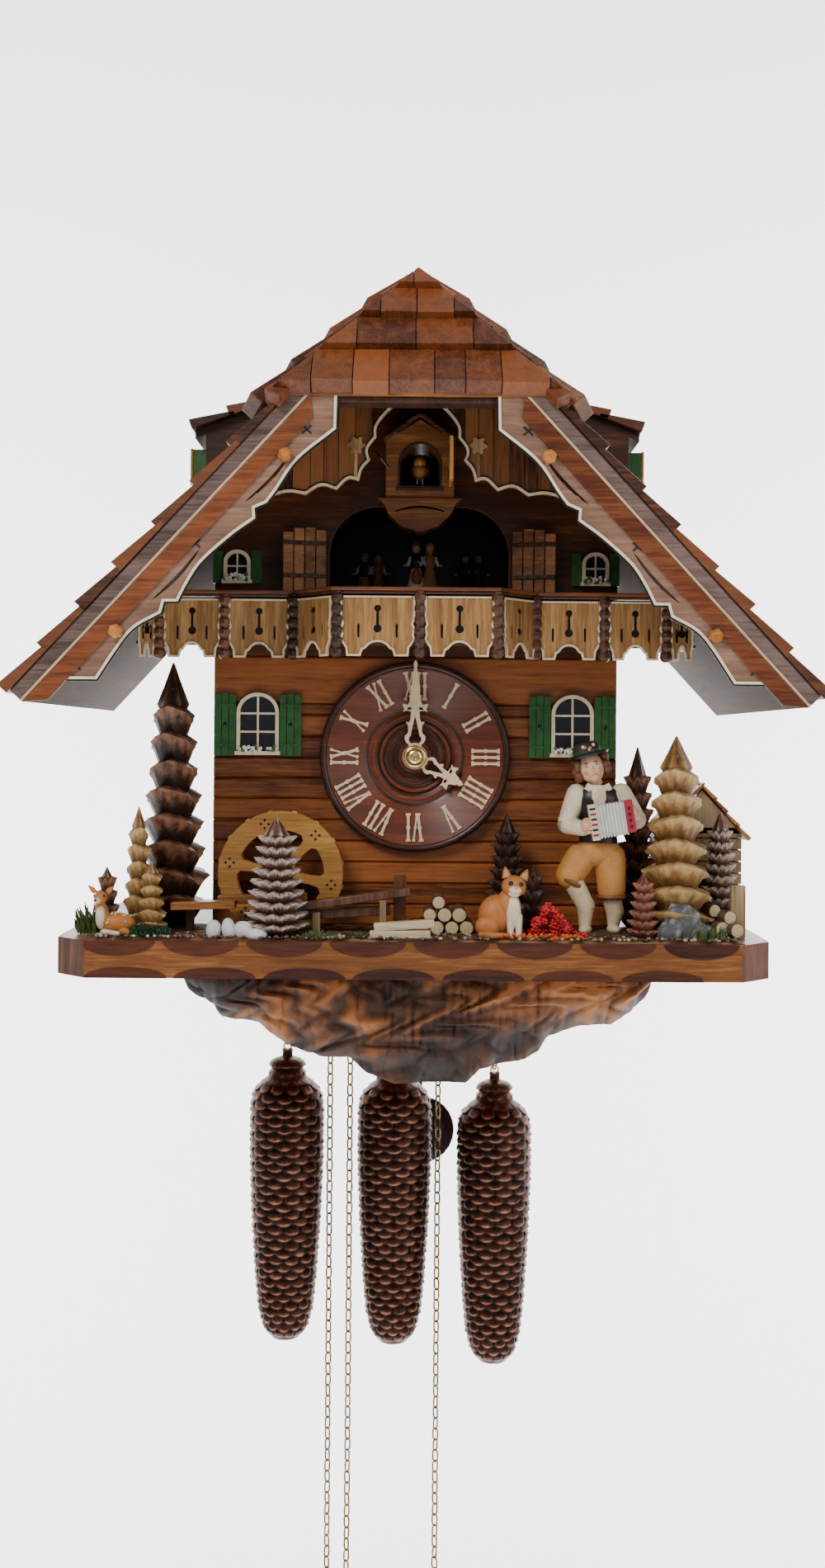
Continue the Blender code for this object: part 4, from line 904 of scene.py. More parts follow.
def slot_outline(along, depth, length, width, bend):
    """A long curved slit cut through a bargeboard, thin at both ends."""
    points = []
    for step in range(9):
        t = step / 8
        swell = math.sin(math.pi * t) ** 0.7
        middle = depth + bend * math.sin(math.pi * t)
        points.append((along + length * (t - 0.5), middle + 0.5 * width * swell + 0.0001))
    for step in range(7, 0, -1):
        t = step / 8
        swell = math.sin(math.pi * t) ** 0.7
        middle = depth + bend * math.sin(math.pi * t)
        points.append((along + length * (t - 0.5), middle - 0.5 * width * swell - 0.0001))
    return points


def make_bargeboards():
    edge = [(a * MM, b * MM) for a, b in eased(BARGE_EDGE)]
    top_z = on_slope(*[0.2112, -0.0089])[1]
    top_along = (top_z - on_slope(0.0, -0.0003)[1]) / math.sin(PITCH)
    for side, name in ((-1, "left"), (1, "right")):
        inner = [on_slope(along, -depth, side) for along, depth in edge]
        outline = [on_slope(0.0, -0.0003, side), on_slope(top_along, -0.0003, side)] + inner
        holes = [[on_slope(a, -b, side) for a, b in slot_outline(*slit)]
                 for slit in ((0.1605, 0.0126, 0.034, 0.0016, 0.0016),
                              (0.0955, 0.0122, 0.034, 0.0016, 0.0014))]
        board("bargeboard_cut_" + name, [outline] + holes, -0.2500, -0.2440, "barge",
              replaces=["bargeboard_" + name], bevel=0.0003)
        trim = Shape(41 + side)
        ribbon(trim, inner, 0.0, -0.0013 * side, -0.2509, -0.2496, 0)
        ribbon(trim, inner, -0.0013 * side, -0.0022 * side, -0.2504, -0.2496, 1)
        trim.place("bargeboard_edging_" + name, ["cream", "black"], slot="pink_wood", smooth=False)
        band = Shape(47 + side)
        fascia = [on_slope(a, -d, side) for a, d in
                  ((0.0, 0.0003), (0.2035, 0.0003), (0.1960, 0.0088), (0.0090, 0.0088))]
        band.prism(fascia, -0.2513, -0.2502)
        band.place("fascia_" + name, ["fascia_red"], bevel=0.0003, slot="brown_wood")
        rim = Shape(51 + side)
        strip = [on_slope(a, d, side) for a, d in
                 ((0.0, 0.0016), (0.2040, 0.0016), (0.2040, 0.0072), (0.0, 0.0072))]
        rim.prism(strip, -0.2508, -0.2501)
        low = [on_slope(a, d, side) for a, d in
               ((0.0, 0.0), (0.2040, 0.0), (0.2040, 0.0013), (0.0, 0.0013))]
        rim.prism(low, -0.2511, -0.2501, 1)
        rim.place("roof_edge_" + name, ["edge_grey", "cream_dull"], slot="dark_wood", smooth=False)
        pegs = Shape(61 + side)
        for x, z in ((0.0637, 0.1458), (0.1446, 0.0602)):
            place = turned((side * x, -0.2500, z), math.pi / 2, "X")
            pegs.lathe([(0.0036, 0.0), (0.0036, 0.0042), (0.0024, 0.0056)], 6, 0,
                       place @ Matrix.Rotation(0.3, 4, "Z"))
        for x, z in ((0.0535, 0.1585), (0.1067, 0.1030), (0.1640, 0.0435)):
            for turn in (-1, 1):
                place = turned((side * x, -0.2503, z), turn * math.radians(42), "Y")
                pegs.box((-0.0030, -0.0002, -0.00045), (0.0030, 0.0002, 0.00045), 1, place)
        pegs.place("bargeboard_pegs_" + name, ["peg", "black"], bevel=0.0003, slot="orange_wood")


def make_dormers():
    for side, name in ((-1, "left"), (1, "right")):
        repaint("dormer_" + name, "gable")
        slope = math.radians(20.0)
        shape = Shape(71 + side)
        matrix = Matrix((
            (-side * math.cos(slope), 0.0, side * math.sin(slope), side * 0.1195),
            (0.0, 1.0, 0.0, 0.0),
            (math.sin(slope), 0.0, math.cos(slope), 0.1742),
            (0.0, 0.0, 0.0, 1.0)))
        for course in range(3):
            y = -0.1655
            while y < -0.0850:
                width = shape.random.uniform(0.012, 0.018)
                low = course * 0.0200 + shape.random.uniform(-0.0015, 0.0008)
                wedge(shape, low, low + 0.0245, y, min(y + width, -0.0845) - 0.0004,
                      0.0052 + 0.0006 * shape.random.random(), 0.0018, 0.0, matrix)
                y += width
        shape.place("dormer_shingles_" + name, ["shingle_y"], slot="dark_wood", bevel=0.0004,
                    smooth=False)
        window = Shape(77 + side)
        face = side * 0.1131
        # the black inner box is the pane: painted shade behind the glass
        for low_y, high_y, depth, mat in ((-0.142, -0.108, 0.0012, 0), (-0.138, -0.112, 0.0016, 1)):
            inset = 0.0 if mat == 0 else 0.003
            a, b = sorted((face, face + side * depth))
            window.box((a, low_y, 0.1450 + inset), (b, high_y, 0.1680 - inset), mat)
        a, b = sorted((face, face + side * 0.0022))
        window.box((a, -0.1250 - 0.0006, 0.1480), (b, -0.1250 + 0.0006, 0.1650), 0)
        window.box((a, -0.138, 0.1560), (b, -0.112, 0.1572), 0)
        for y in (-0.1440, -0.1060):
            a, b = sorted((face, face + side * 0.0090))
            window.box((a, y - 0.0012, 0.1475), (b, y + 0.0012, 0.1665), 2)
            a, b = sorted((face + side * 0.0090, face + side * 0.0104))
            window.box((a, y - 0.0014, 0.1470), (b, y + 0.0014, 0.1670), 3)
        window.place("dormer_window_" + name, ["cream", "black", "green", "peg"], bevel=0.0003,
                     slot="green_paint")
        cheek = Shape(81 + side)
        for index in range(7):
            y = -0.1598 + index * 0.0100
            a, b = sorted((side * 0.1130, side * 0.1135))
            if -0.146 < y < -0.106:
                continue
            cheek.box((a, y + 0.0003, 0.1365), (b, y + 0.0097, 0.1715), 0)
        cheek.place("dormer_boards_" + name, ["gable"], bevel=0.0002, slot="dark_wood")


def make_soffit():
    """Board closing the foot of the hip over the gable."""
    shape = Shape(85)
    shape.box((-0.0650, -0.2512, 0.1747), (0.0650, -0.2350, 0.1766), 0)
    # dark strip tucked under the board: painted shade under it
    shape.box((-0.0640, -0.2490, 0.1720), (0.0640, -0.2350, 0.1745), 1)
    shape.place("hip_soffit", ["orange", "dark"], bevel=0.0003, slot="brown_wood")


M["hip"] = wood("hip_wood", (0.060, 0.015, 0.005), (0.200, 0.056, 0.014), "z", 0.36, 0.4, 1.1, 1.0)
M["cap"] = wood("cap_wood", (0.050, 0.015, 0.006), (0.180, 0.055, 0.018), "x", 0.38, 0.35, 1.1, 1.1)
M["fascia_red"] = wood("fascia_red_wood", (0.080, 0.018, 0.006), (0.240, 0.070, 0.022), "x", 0.34,
                       0.45, 0.9)
M["edge_grey"] = wood("edge_grey_wood", (0.060, 0.036, 0.030), (0.170, 0.110, 0.095), "x", 0.40,
                      0.3)
M["cream_dull"] = paint("cream_dull_paint", (0.480, 0.330, 0.200), 0.5, 0.2)
M["peg"] = wood("peg_wood", (0.330, 0.110, 0.018), (0.620, 0.270, 0.060), "y", 0.35, 0.4)


def make_roof():
    make_main_shingles()
    make_hip_shingles()
    make_caps()
    make_bargeboards()
    make_dormers()
    make_soffit()


# ---------------------------------------------------------------- front, gable, balcony

CASE_HALF = 0.109
FACE = -0.1500
ON_FACE = -0.1503
STAGE_X = 0.0015
STAGE_ARCH_OUT = 0.0225
STAGE_ARCH_RADIUS = 0.027
STAGE_SPRING = 0.109
STAGE_FLOOR = 0.088
DOOR_RADIUS = 0.0103
DOOR_SPRING = 0.1547
DOOR_SILL = 0.1430
PANEL_FOOT = 0.0525
PANEL_HEIGHT = 0.0295


def under_roof(x):
    return ROOF_APEX - abs(x) * math.tan(PITCH)


def stage_outline():
    """Two arches that meet over the stage."""
    out, radius = STAGE_ARCH_OUT, STAGE_ARCH_RADIUS
    meet = math.degrees(math.acos(out / radius))
    left = arc((STAGE_X - out, STAGE_SPRING), radius, 180, meet, 16)
    right = arc((STAGE_X + out, STAGE_SPRING), radius, 180 - meet, 0, 16)
    return ([(STAGE_X - out - radius, STAGE_FLOOR)] + left + right[1:]
            + [(STAGE_X + out + radius, STAGE_FLOOR)])


def door_outline(steps):
    """Round-topped opening for the cuckoo."""
    return ([(STAGE_X - DOOR_RADIUS, DOOR_SILL)]
            + arc((STAGE_X, DOOR_SPRING), DOOR_RADIUS, 180, 0, steps)
            + [(STAGE_X + DOOR_RADIUS, DOOR_SILL)])


def make_facade():
    shape = Shape(101)
    levels = [-0.0917]
    z = -0.0917
    while z < 0.024:
        z += 0.0114
        levels.append(z)
    levels[-1] = 0.0285
    levels.append(0.0540)
    for low, high in zip(levels, levels[1:]):
        section = [(FACE + 0.0011, low + 0.0001), (FACE, low + 0.0012),
                   (FACE, high - 0.0012), (FACE + 0.0011, high - 0.0001), (-0.1425, high - 0.0001),
                   (-0.1425, low + 0.0001)]
        shape.prism(section, -CASE_HALF, CASE_HALF, axis="x")
    shape.box((-CASE_HALF, -0.1470, -0.0917), (CASE_HALF, -0.1421, 0.0540), 1)
    shape.place("facade_logs", ["facade", "dark"], replaces=["front_board"],
                slot="brown_wood", smooth=False)
    outline = [(-CASE_HALF, 0.0542), (CASE_HALF, 0.0542),
               (CASE_HALF, under_roof(CASE_HALF) - 0.0004),
               (0.0, ROOF_APEX - 0.0004), (-CASE_HALF, under_roof(CASE_HALF) - 0.0004)]
    board("gable_board", [outline, stage_outline(), door_outline(12)], FACE, -0.1421,
          "gable_board")
    edge = Shape(103)
    ribbon(edge, stage_outline(), -0.0001, -0.0012, -0.1510, -0.1499, 0)
    edge.place("stage_edge", ["post"], slot="brown_wood", smooth=False)


CLADDING_EDGE = [
    (0.0, 185.0, 1), (4.0, 182.9, 0), (10.0, 181.3, 0), (16.6, 175.4, 0), (20.8, 169.2, 0),
    (21.0, 163.8, 1), (24.7, 159.1, 0), (25.3, 155.7, 0), (24.0, 152.3, 1), (28.0, 147.6, 0),
    (29.7, 141.5, 1), (35.2, 142.4, 0), (41.2, 136.8, 1), (49.1, 138.8, 0), (57.0, 134.3, 1),
    (66.0, 135.4, 0), (76.0, 132.8, 1), (88.0, 134.0, 1)]


def make_cladding():
    half = [(x * MM, z * MM) for x, z in eased(CLADDING_EDGE)]
    edge = [(-x, z) for x, z in reversed(half)] + half[1:]
    rim_x = half[-1][0]
    outline = edge + [(rim_x, under_roof(rim_x) - 0.0004), (0.0, ROOF_APEX - 0.0004),
                      (-rim_x, under_roof(rim_x) - 0.0004)]
    whole = Shape(105)
    whole.prism(outline, -0.2000, -0.1962)
    planks = Shape(106)
    x = -rim_x
    while x < rim_x:
        width = planks.random.uniform(0.0062, 0.0098)
        piece = cut_shape(whole, [((x + 0.0002, 0.0, 0.0), (-1.0, 0.0, 0.0)),
                                  ((min(x + width, rim_x) - 0.0002, 0.0, 0.0), (1.0, 0.0, 0.0))])
        planks.body(piece.vertices, piece.faces, 0, planks.random.random())
        x += width
    planks.place("gable_planks", ["plank"], replaces=["gable_cladding"], slot="dark_wood",
                 bevel=0.0004, smooth=False)
    trim = Shape(107)
    ribbon(trim, edge, 0.0, 0.0013, -0.2011, -0.1990, 0)
    ribbon(trim, edge, 0.0013, 0.0022, -0.2003, -0.1990, 1)
    trim.place("gable_edging", ["cream_trim", "black"], slot="dark_wood", smooth=False)
    leaves = Shape(108)
    for side in (-1, 1):
        lobes = []
        for step in range(36):
            angle = 2 * math.pi * step / 36
            radius = 0.0040 + 0.0009 * math.cos(6 * angle + 0.4)
            lobes.append((side * 0.0312 + radius * math.cos(angle),
                          0.1600 + radius * math.sin(angle)))
        leaves.prism(lobes, -0.2009, -0.2000)
        leaves.prism([(side * 0.0305, 0.1420), (side * 0.0325, 0.1420), (side * 0.0320, 0.1580),
                      (side * 0.0308, 0.1580)], -0.2007, -0.2000)
    leaves.place("gable_leaves", ["leaf_wood"], slot="dark_wood", bevel=0.0002)


def make_cuckoo_house():
    left, right = -0.0165, 0.0195
    outline = [(left, 0.138), (right, 0.138), (right, 0.167), (STAGE_X, 0.178), (left, 0.167)]
    door = door_outline(14)
    board("cuckoo_house_front", [outline, door], -0.1753, ON_FACE, "orange",
          replaces=["cuckoo_house"], bevel=0.0004)
    shape = Shape(111)
    pitch = math.atan2(0.011, 0.018)
    for side in (-1, 1):
        place = turned((STAGE_X, 0.0, 0.1795), side * pitch, "Y")
        for course in range(3):
            a, b = sorted((side * (0.0073 * course), side * (0.0073 * course + 0.0082)))
            shape.box((a, -0.1790, -0.0006 * course - 0.0004),
                      (b, -0.1510, 0.0013 - 0.0006 * course), 0, place)
    ribbon(shape, door, 0.0, 0.0014, -0.17545, -0.1750, 1)
    shape.box((STAGE_X - 0.0125, -0.1770, 0.1404), (STAGE_X + 0.0125, -0.1750, 0.1420), 1)
    shape.place("cuckoo_house_roof", ["post", "dark"], slot="dark_wood", bevel=0.0002, smooth=False)
    flare = [(-0.0215, 0.1378), (0.0245, 0.1378), (0.0205, 0.1345), (0.0180, 0.1290),
             (0.0110, 0.1225), (STAGE_X, 0.1195), (-0.0080, 0.1225), (-0.0150, 0.1290),
             (-0.0175, 0.1345)]
    smile = []
    for step in range(9):
        t = step / 8 - 0.5
        smile.append((STAGE_X + 0.026 * t, 0.1330 - 0.0055 * t * t * 2 + 0.0006))
    for step in range(8, -1, -1):
        t = step / 8 - 0.5
        smile.append((STAGE_X + 0.026 * t,
                      0.1330 - 0.0055 * t * t * 2 - 0.0005 * math.cos(math.pi * t)))
    board("cuckoo_bracket", [flare, smile], -0.1680, ON_FACE, "orange", bevel=0.0006)
    wire = Shape(113)
    wire.tube([(-0.0215, -0.1700, 0.1610), (-0.0190, -0.1765, 0.1570), (-0.0150, -0.1765, 0.1520)],
              0.0006)
    wire.place("cuckoo_wire", ["steel"], slot="brass")
    low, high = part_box("cuckoo_door")
    leaf = Shape(115)
    middle = (low.x + high.x) / 2
    for index in range(3):
        y0 = low.y + (high.y - low.y) * index / 3
        y1 = low.y + (high.y - low.y) * (index + 1) / 3
        leaf.box((low.x, y0 + 0.0001, low.z), (high.x, y1 - 0.0001, high.z - 0.0010), 0)
    for z in (low.z + 0.0045, high.z - 0.0060):
        leaf.box((middle - 0.0013, low.y + 0.001, z - 0.0009),
                 (middle + 0.0013, high.y, z + 0.0009), 1)
    leaf.place("cuckoo_door_leaf", ["orange_light", "post"], "cuckoo_door", ["cuckoo_door"],
               bevel=0.0003, slot="orange_wood")


def make_bird():
    shape = Shape(117)
    low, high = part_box("cuckoo_bird")
    x, z = (low.x + high.x) / 2, (low.z + high.z) / 2
    y = low.y + 0.0080
    shape.ball((x, y, z), (0.0042, 0.0078, 0.0046), 0)
    shape.ball((x, y - 0.0040, z + 0.0042), (0.0034, 0.0038, 0.0034), 0)
    for lift, lean in ((0.0008, 0.35), (-0.0009, -0.45)):
        place = turned((x, y - 0.0068, z + 0.0042 + lift), math.pi / 2 + lean, "X")
        shape.lathe([(0.0013, 0.0), (0.0009, 0.0016), (0.0002, 0.0034)], 8, 1, place)
    for side in (-1, 1):
        shape.ball((x + side * 0.0021, y - 0.0066, z + 0.0054), (0.0005, 0.0005, 0.0006), 3, 4, 8)
        wing = turned((x + side * 0.0040, y + 0.0010, z + 0.0004), side * -0.25, "Z")
        shape.ball((0.0, 0.0, 0.0), (0.0010, 0.0062, 0.0034), 2, 6, 10, None, wing)
        shape.tube([(x + side * 0.0014, y, z - 0.0036),
                    (x + side * 0.0014, y - 0.0008, z - 0.0072)],
                   0.0005, 4)
    shape.box((x - 0.0016, y + 0.0050, z - 0.0014), (x + 0.0016, y + 0.0105, z - 0.0002), 2)
    shape.tube([(x, y + 0.004, z), (x, high.y, z)], 0.0009, 5)
    shape.place("cuckoo", ["bird", "peg", "plank", "black", "white", "steel"], "cuckoo_bird",
                ["cuckoo_bird"], slot="brown_wood")


def make_stage():
    """The boards that hang beside the dancers, and black boxes round them as painted shade inside
    the stage.
    """
    for side, name in ((-1, "left"), (1, "right")):
        hinge = Vector((STAGE_X + side * 0.0507, -0.1506, 0.0))
        swing = math.radians(14.0)
        place = turned(hinge, -side * swing, "Z")
        if side < 0:
            place = place @ Matrix.Rotation(math.pi, 4, "Z") @ Matrix.Scale(-1, 4, (0, 1, 0))
        shape = Shape(121 + side)
        for index in range(4):
            a = 0.0060 * index
            top = 0.1215 + (0.0005, 0.0018, 0.0012, -0.0010)[index]
            shape.box((a + 0.0002, -0.0030, 0.0882), (a + 0.0058, -0.0002, top), 0, place)
        for z in (0.0960, 0.1135):
            shape.box((0.0006, -0.0038, z), (0.0236, -0.0028, z + 0.0022), 1, place)
            for a in (0.003, 0.009, 0.015, 0.021):
                shape.box((a - 0.0005, -0.0042, z + 0.0006), (a + 0.0005, -0.0036, z + 0.0016), 2,
                          place)
        shape.place("stage_door_boards_" + name, ["orange", "post", "black"],
                    replaces=["stage_door_" + name], bevel=0.0003, slot="orange_wood")
    # black boxes standing for the shade inside the case behind the stage: painted shade
    shade_boxes = Shape(125)
    shade_boxes.box((-0.0600, -0.1400, 0.0850), (-0.0590, -0.0950, 0.1400), 0)
    shade_boxes.box((0.0620, -0.1400, 0.0850), (0.0630, -0.0950, 0.1400), 0)
    shade_boxes.box((-0.0600, -0.0420, 0.0850), (0.0630, -0.0405, 0.1480), 0)
    shade_boxes.box((-0.0600, -0.1400, 0.1395), (0.0630, -0.0420, 0.1405), 0)
    shade_boxes.place("stage_painted_shade", ["black"], slot="dark_wood", smooth=False)


def small_window(shape, x, sill, width, spring, rise, flowers, rng):
    """An arched, glazed window with bars and a sill: materials cream, a black pane as painted shade
    behind the glass, white, green leaf.
    """
    half = width / 2
    y = FACE - 0.0003

    def outline(inset, foot):
        points = [(x - half + inset, foot)]
        points += arc((x, spring), half - inset, 180, 0, 14, (rise - inset) / (half - inset))
        return points + [(x + half - inset, foot)]
    frame_line = outline(0.0, sill)
    # near-black pane: painted shade behind the glass
    shape.prism(outline(0.0012, sill + 0.0010), y - 0.0016, y, 1)
    ribbon(shape, frame_line, 0.0, -0.0019, y - 0.0038, y, 0)
    shape.box((x - half - 0.0008, y - 0.0050, sill - 0.0006), (x + half + 0.0008, y, sill + 0.0014),
              0)
    bar = 0.00055 if width > 0.02 else 0.00045
    top = spring + rise
    shape.box((x - bar, y - 0.0026, sill), (x + bar, y - 0.0010, top - 0.0012), 0)
    rows = (0.36, 0.66) if width > 0.02 else (0.5,)
    for share in rows:
        z = sill + (top - sill) * share
        shape.box((x - half + 0.001, y - 0.0025, z - bar), (x + half - 0.001, y - 0.0010, z + bar),
                  0)
    for _ in range(flowers):
        place = (x + rng.uniform(-half, half) * 0.85, y - 0.0052 - rng.uniform(0, 0.0012),
                 sill + rng.uniform(0.0010, 0.0042))
        size = rng.uniform(0.0007, 0.0013)
        shape.ball(place, (size, size * 0.6, size), rng.choice((2, 2, 3)), 4, 6)


def make_windows():
    rng = random.Random(131)
    for side, name in ((-1, "left"), (1, "right")):
        shape = Shape(133 + side)
        small_window(shape, side * 0.085, 0.0010, 0.0228, 0.0235, 0.0105, 30, rng)
        for edge in (-1, 1):
            for plank in range(3):
                a = side * 0.085 + edge * (0.0118 + 0.0040 * plank)
                b = side * 0.085 + edge * (0.0118 + 0.0040 * (plank + 1) - 0.0003)
                low, high = sorted((a, b))
                high_z = 0.0335 - 0.0006 * abs(plank - 1)
                shape.box((low, -0.1535, 0.0000), (high, ON_FACE, high_z), 4)
            middle = side * 0.085 + edge * 0.0177
            shape.box((middle - 0.0055, -0.1541, 0.0050), (middle + 0.0055, -0.1534, 0.0064), 4)
            shape.box((middle - 0.0055, -0.1541, 0.0265), (middle + 0.0055, -0.1534, 0.0279), 4)
            shape.ball((middle, -0.1536, 0.0165), (0.0011, 0.0005, 0.0016), 1, 4, 8)
        shape.place("window_" + name + "_glazed", ["cream", "pane", "white", "leaf", "green"],
                    replaces=["window_" + name], bevel=0.0003, slot="green_paint")
        upper = Shape(137 + side)
        x = side * 0.0968
        small_window(upper, x, 0.0935, 0.0146, 0.1045, 0.0066, 22, rng)
        for edge in (-1, 1):
            a, b = sorted((x + edge * 0.0078, x + edge * 0.0130))
            upper.box((a, -0.1528, 0.0930), (b, ON_FACE, 0.1105), 4)
        upper.place("upper_window_" + name, ["cream", "pane", "white", "leaf", "green"],
                    bevel=0.0002, slot="green_paint")


def panel_outline(width, height):
    """Balcony panel: notched sides, two feet and an arch between them."""
    half = [(0.50, 1.0), (0.50, 0.62), (0.47, 0.52), (0.50, 0.44), (0.48, 0.34), (0.50, 0.26),
            (0.42, 0.12), (0.41, 0.0), (0.26, 0.0), (0.235, 0.10), (0.19, 0.12), (0.14, 0.19),
            (0.07, 0.235), (0.0, 0.245)]
    right = [(u * width, v * height) for u, v in half]
    return right + [(-u, v) for u, v in reversed(right[:-1])]


def balcony_panel(name, start, end):
    """One pierced panel with a cream edge, standing between two points on the balcony's front."""
    start, end = Vector(start), Vector(end)
    width = (end - start).length
    angle = math.atan2(end.y - start.y, end.x - start.x)
    middle = (start + end) / 2
    place = turned((middle.x, middle.y, PANEL_FOOT), angle, "Z")
    height = PANEL_HEIGHT
    outline = panel_outline(width, height)
    upper, lower = 0.79 * height, 0.44 * height
    keyhole = (arc((0.0, upper), 0.0018, -70, 250, 10)
               + arc((0.0, lower), 0.0021, 110, 430, 10))
    slits = []
    for side in (-1, 1):
        u = side * 0.27 * width
        slits.append([(u - 0.0005, 0.30 * height), (u + 0.0005, 0.27 * height),
                      (u + 0.0006, 0.50 * height), (u, 0.54 * height), (u - 0.0006, 0.50 * height)])
    board(name, [outline, keyhole] + slits, -0.0016, 0.0, "balcony", bevel=0.0002,
          matrix=place)
    trim = Shape(len(name))
    ribbon(trim, outline, 0.0, 0.0011, -0.0023, -0.0010, 0, None, place)
    ribbon(trim, [(-0.48 * width, height), (0.48 * width, height)], 0.0, -0.0009, -0.0022, -0.0010,
           0, None, place)
    trim.place(name + "_edge", ["cream_trim"], slot="light_wood", smooth=False)


def make_balcony():
    front = [(-0.145, ON_FACE), (-0.145, -0.180), (-0.062, -0.180), (-0.041, -0.205),
             (0.041, -0.205), (0.062, -0.180), (0.145, -0.180), (0.145, ON_FACE)]

    def strip(shape, inner, outer, low, high, mat):
        """A band that follows the balcony's front between two offsets and two heights."""
        path = [Vector(p) for p in front]
        band = Shape(1)
        ribbon(band, path, inner, outer, low, high)
        vertices = [(x, z, y) for x, y, z in band.vertices]
        shape.body(vertices, band.faces, mat)
    shape = Shape(141)
    # the black bands (this one and the lowest) sit behind the pierced panels: painted shade seen
    # through the holes
    strip(shape, -0.0008, 0.0012, 0.0600, 0.0830, 1)
    strip(shape, -0.0030, 0.0034, 0.0832, 0.0848, 0)
    strip(shape, -0.0042, 0.0044, 0.0848, 0.0866, 0)
    strip(shape, -0.0014, 0.0030, 0.0580, 0.0600, 1)
    shape.place("balcony_rails", ["rail", "black"], replaces=["balcony_railing"], bevel=0.0003,
                slot="light_wood", smooth=False)
    y_side, y_bay = -0.1815, -0.2065
    spans = [((-0.1440, y_side), (-0.1370, y_side)), ((-0.1310, y_side), (-0.1030, y_side)),
             ((-0.0970, y_side), (-0.0670, y_side)), ((-0.0615, -0.1832), (-0.0425, -0.2057)),
             ((-0.0375, y_bay), (-0.0015, y_bay)), ((0.0055, y_bay), (0.0390, y_bay)),
             ((0.0440, -0.2040), (0.0610, -0.1835)), ((0.0645, y_side), (0.0955, y_side)),
             ((0.1015, y_side), (0.1280, y_side)), ((0.1340, y_side), (0.1440, y_side))]
    for index, (start, end) in enumerate(spans):
        balcony_panel("balcony_panel_%d" % index, (*start, 0.0), (*end, 0.0))
    posts = Shape(143)
    for x, y in ((-0.134, y_side), (-0.100, y_side), (-0.0640, -0.1825), (-0.0400, -0.2060),
                 (0.0020, y_bay), (0.0415, -0.2060), (0.0625, -0.1825), (0.0985, y_side),
                 (0.131, y_side)):
        profile = [(0.0016, 0.0505)]
        for knot in range(6):
            z = 0.0512 + 0.00555 * knot
            profile += [(0.0026, z), (0.0034, z + 0.0013), (0.0034, z + 0.0034),
                        (0.0024, z + 0.0048)]
        profile.append((0.0024, 0.0845))
        place = turned((x, y - 0.0010, 0.0), math.pi / 4, "Z")
        posts.lathe(profile, 8, 0, place)
    posts.place("balcony_posts", ["post"], slot="dark_wood", bevel=0.0002, smooth=False)


M["gable_board"] = wood("gable_board_wood", (0.070, 0.019, 0.006), (0.215, 0.066, 0.018), "x", 0.36,
                        0.4, 0.9)
M["cream_trim"] = paint("cream_trim_paint", (0.560, 0.430, 0.280), 0.5, 0.2, (0.30, 0.20, 0.11))
M["leaf_wood"] = wood("leaf_wood", (0.210, 0.110, 0.040), (0.420, 0.260, 0.110), "z", 0.45, 0.2)
M["orange_light"] = wood("orange_light_wood", (0.360, 0.130, 0.025), (0.640, 0.300, 0.070), "z",
                         0.36, 0.4)
M["steel"] = metal("steel_metal", (0.520, 0.520, 0.530), (0.240, 0.235, 0.230), 0.3)
M["bird"] = wood("bird_wood", (0.190, 0.060, 0.016), (0.400, 0.180, 0.060), "y", 0.42, 0.25)
# near-black glossy pane: painted shade behind the glass
M["pane"] = paint("pane_painted_shade", (0.006, 0.007, 0.009), 0.16, 0.35, (0.002, 0.002, 0.003), 0.4)
M["leaf"] = paint("leaf_paint", (0.060, 0.130, 0.030), 0.6, 0.4)
M["rail"] = wood("rail_wood", (0.060, 0.017, 0.006), (0.190, 0.055, 0.018), "x", 0.34, 0.45)


def make_front():
    make_facade()
    make_cladding()
    make_cuckoo_house()
    make_bird()
    make_stage()
    make_windows()
    make_balcony()


# ---------------------------------------------------------------- dial, hands, wheel

def numeral(text):
    """Strokes of a Roman numeral as outlines, feet at v = 0, height 1, centred on u = 0."""
    widths = {"I": 0.0034, "V": 0.0066, "X": 0.0066}
    height = 0.0154
    total = sum(widths[letter] for letter in text)
    squeeze = min(1.0, 0.0160 / total)
    u = -total / 2
    strokes = []

    def bar(a, b, thick):
        """A stroke between two points with swelling ends and a small waist bead."""
        a, b = Vector(a), Vector(b)
        along = (b - a).normalized()
        side = Vector((-along.y, along.x))
        length = (b - a).length
        marks = ((0.0, 1.55), (0.06, 1.65), (0.11, 0.95), (0.42, 0.80), (0.47, 1.25), (0.53, 1.25),
                 (0.58, 0.80), (0.89, 0.95), (0.94, 1.65), (1.0, 1.55))
        left = [a + along * length * t + side * thick * w / 2 for t, w in marks]
        right = [a + along * length * t - side * thick * w / 2 for t, w in marks]
        strokes.append([(p.x * squeeze, p.y) for p in left + right[::-1]])
    for letter in text:
        width = widths[letter]
        left, right, middle = u + 0.0012, u + width - 0.0012, u + width / 2
        if letter == "I":
            bar((middle, 0.0), (middle, height), 0.0017)
        elif letter == "V":
            bar((middle - 0.0001, 0.0), (left, height), 0.0017)
            bar((middle + 0.0003, 0.0), (right, height), 0.0011)
        else:
            bar((right, 0.0), (left, height), 0.0017)
            bar((left, 0.0), (right, height), 0.0011)
        u += width
    return strokes


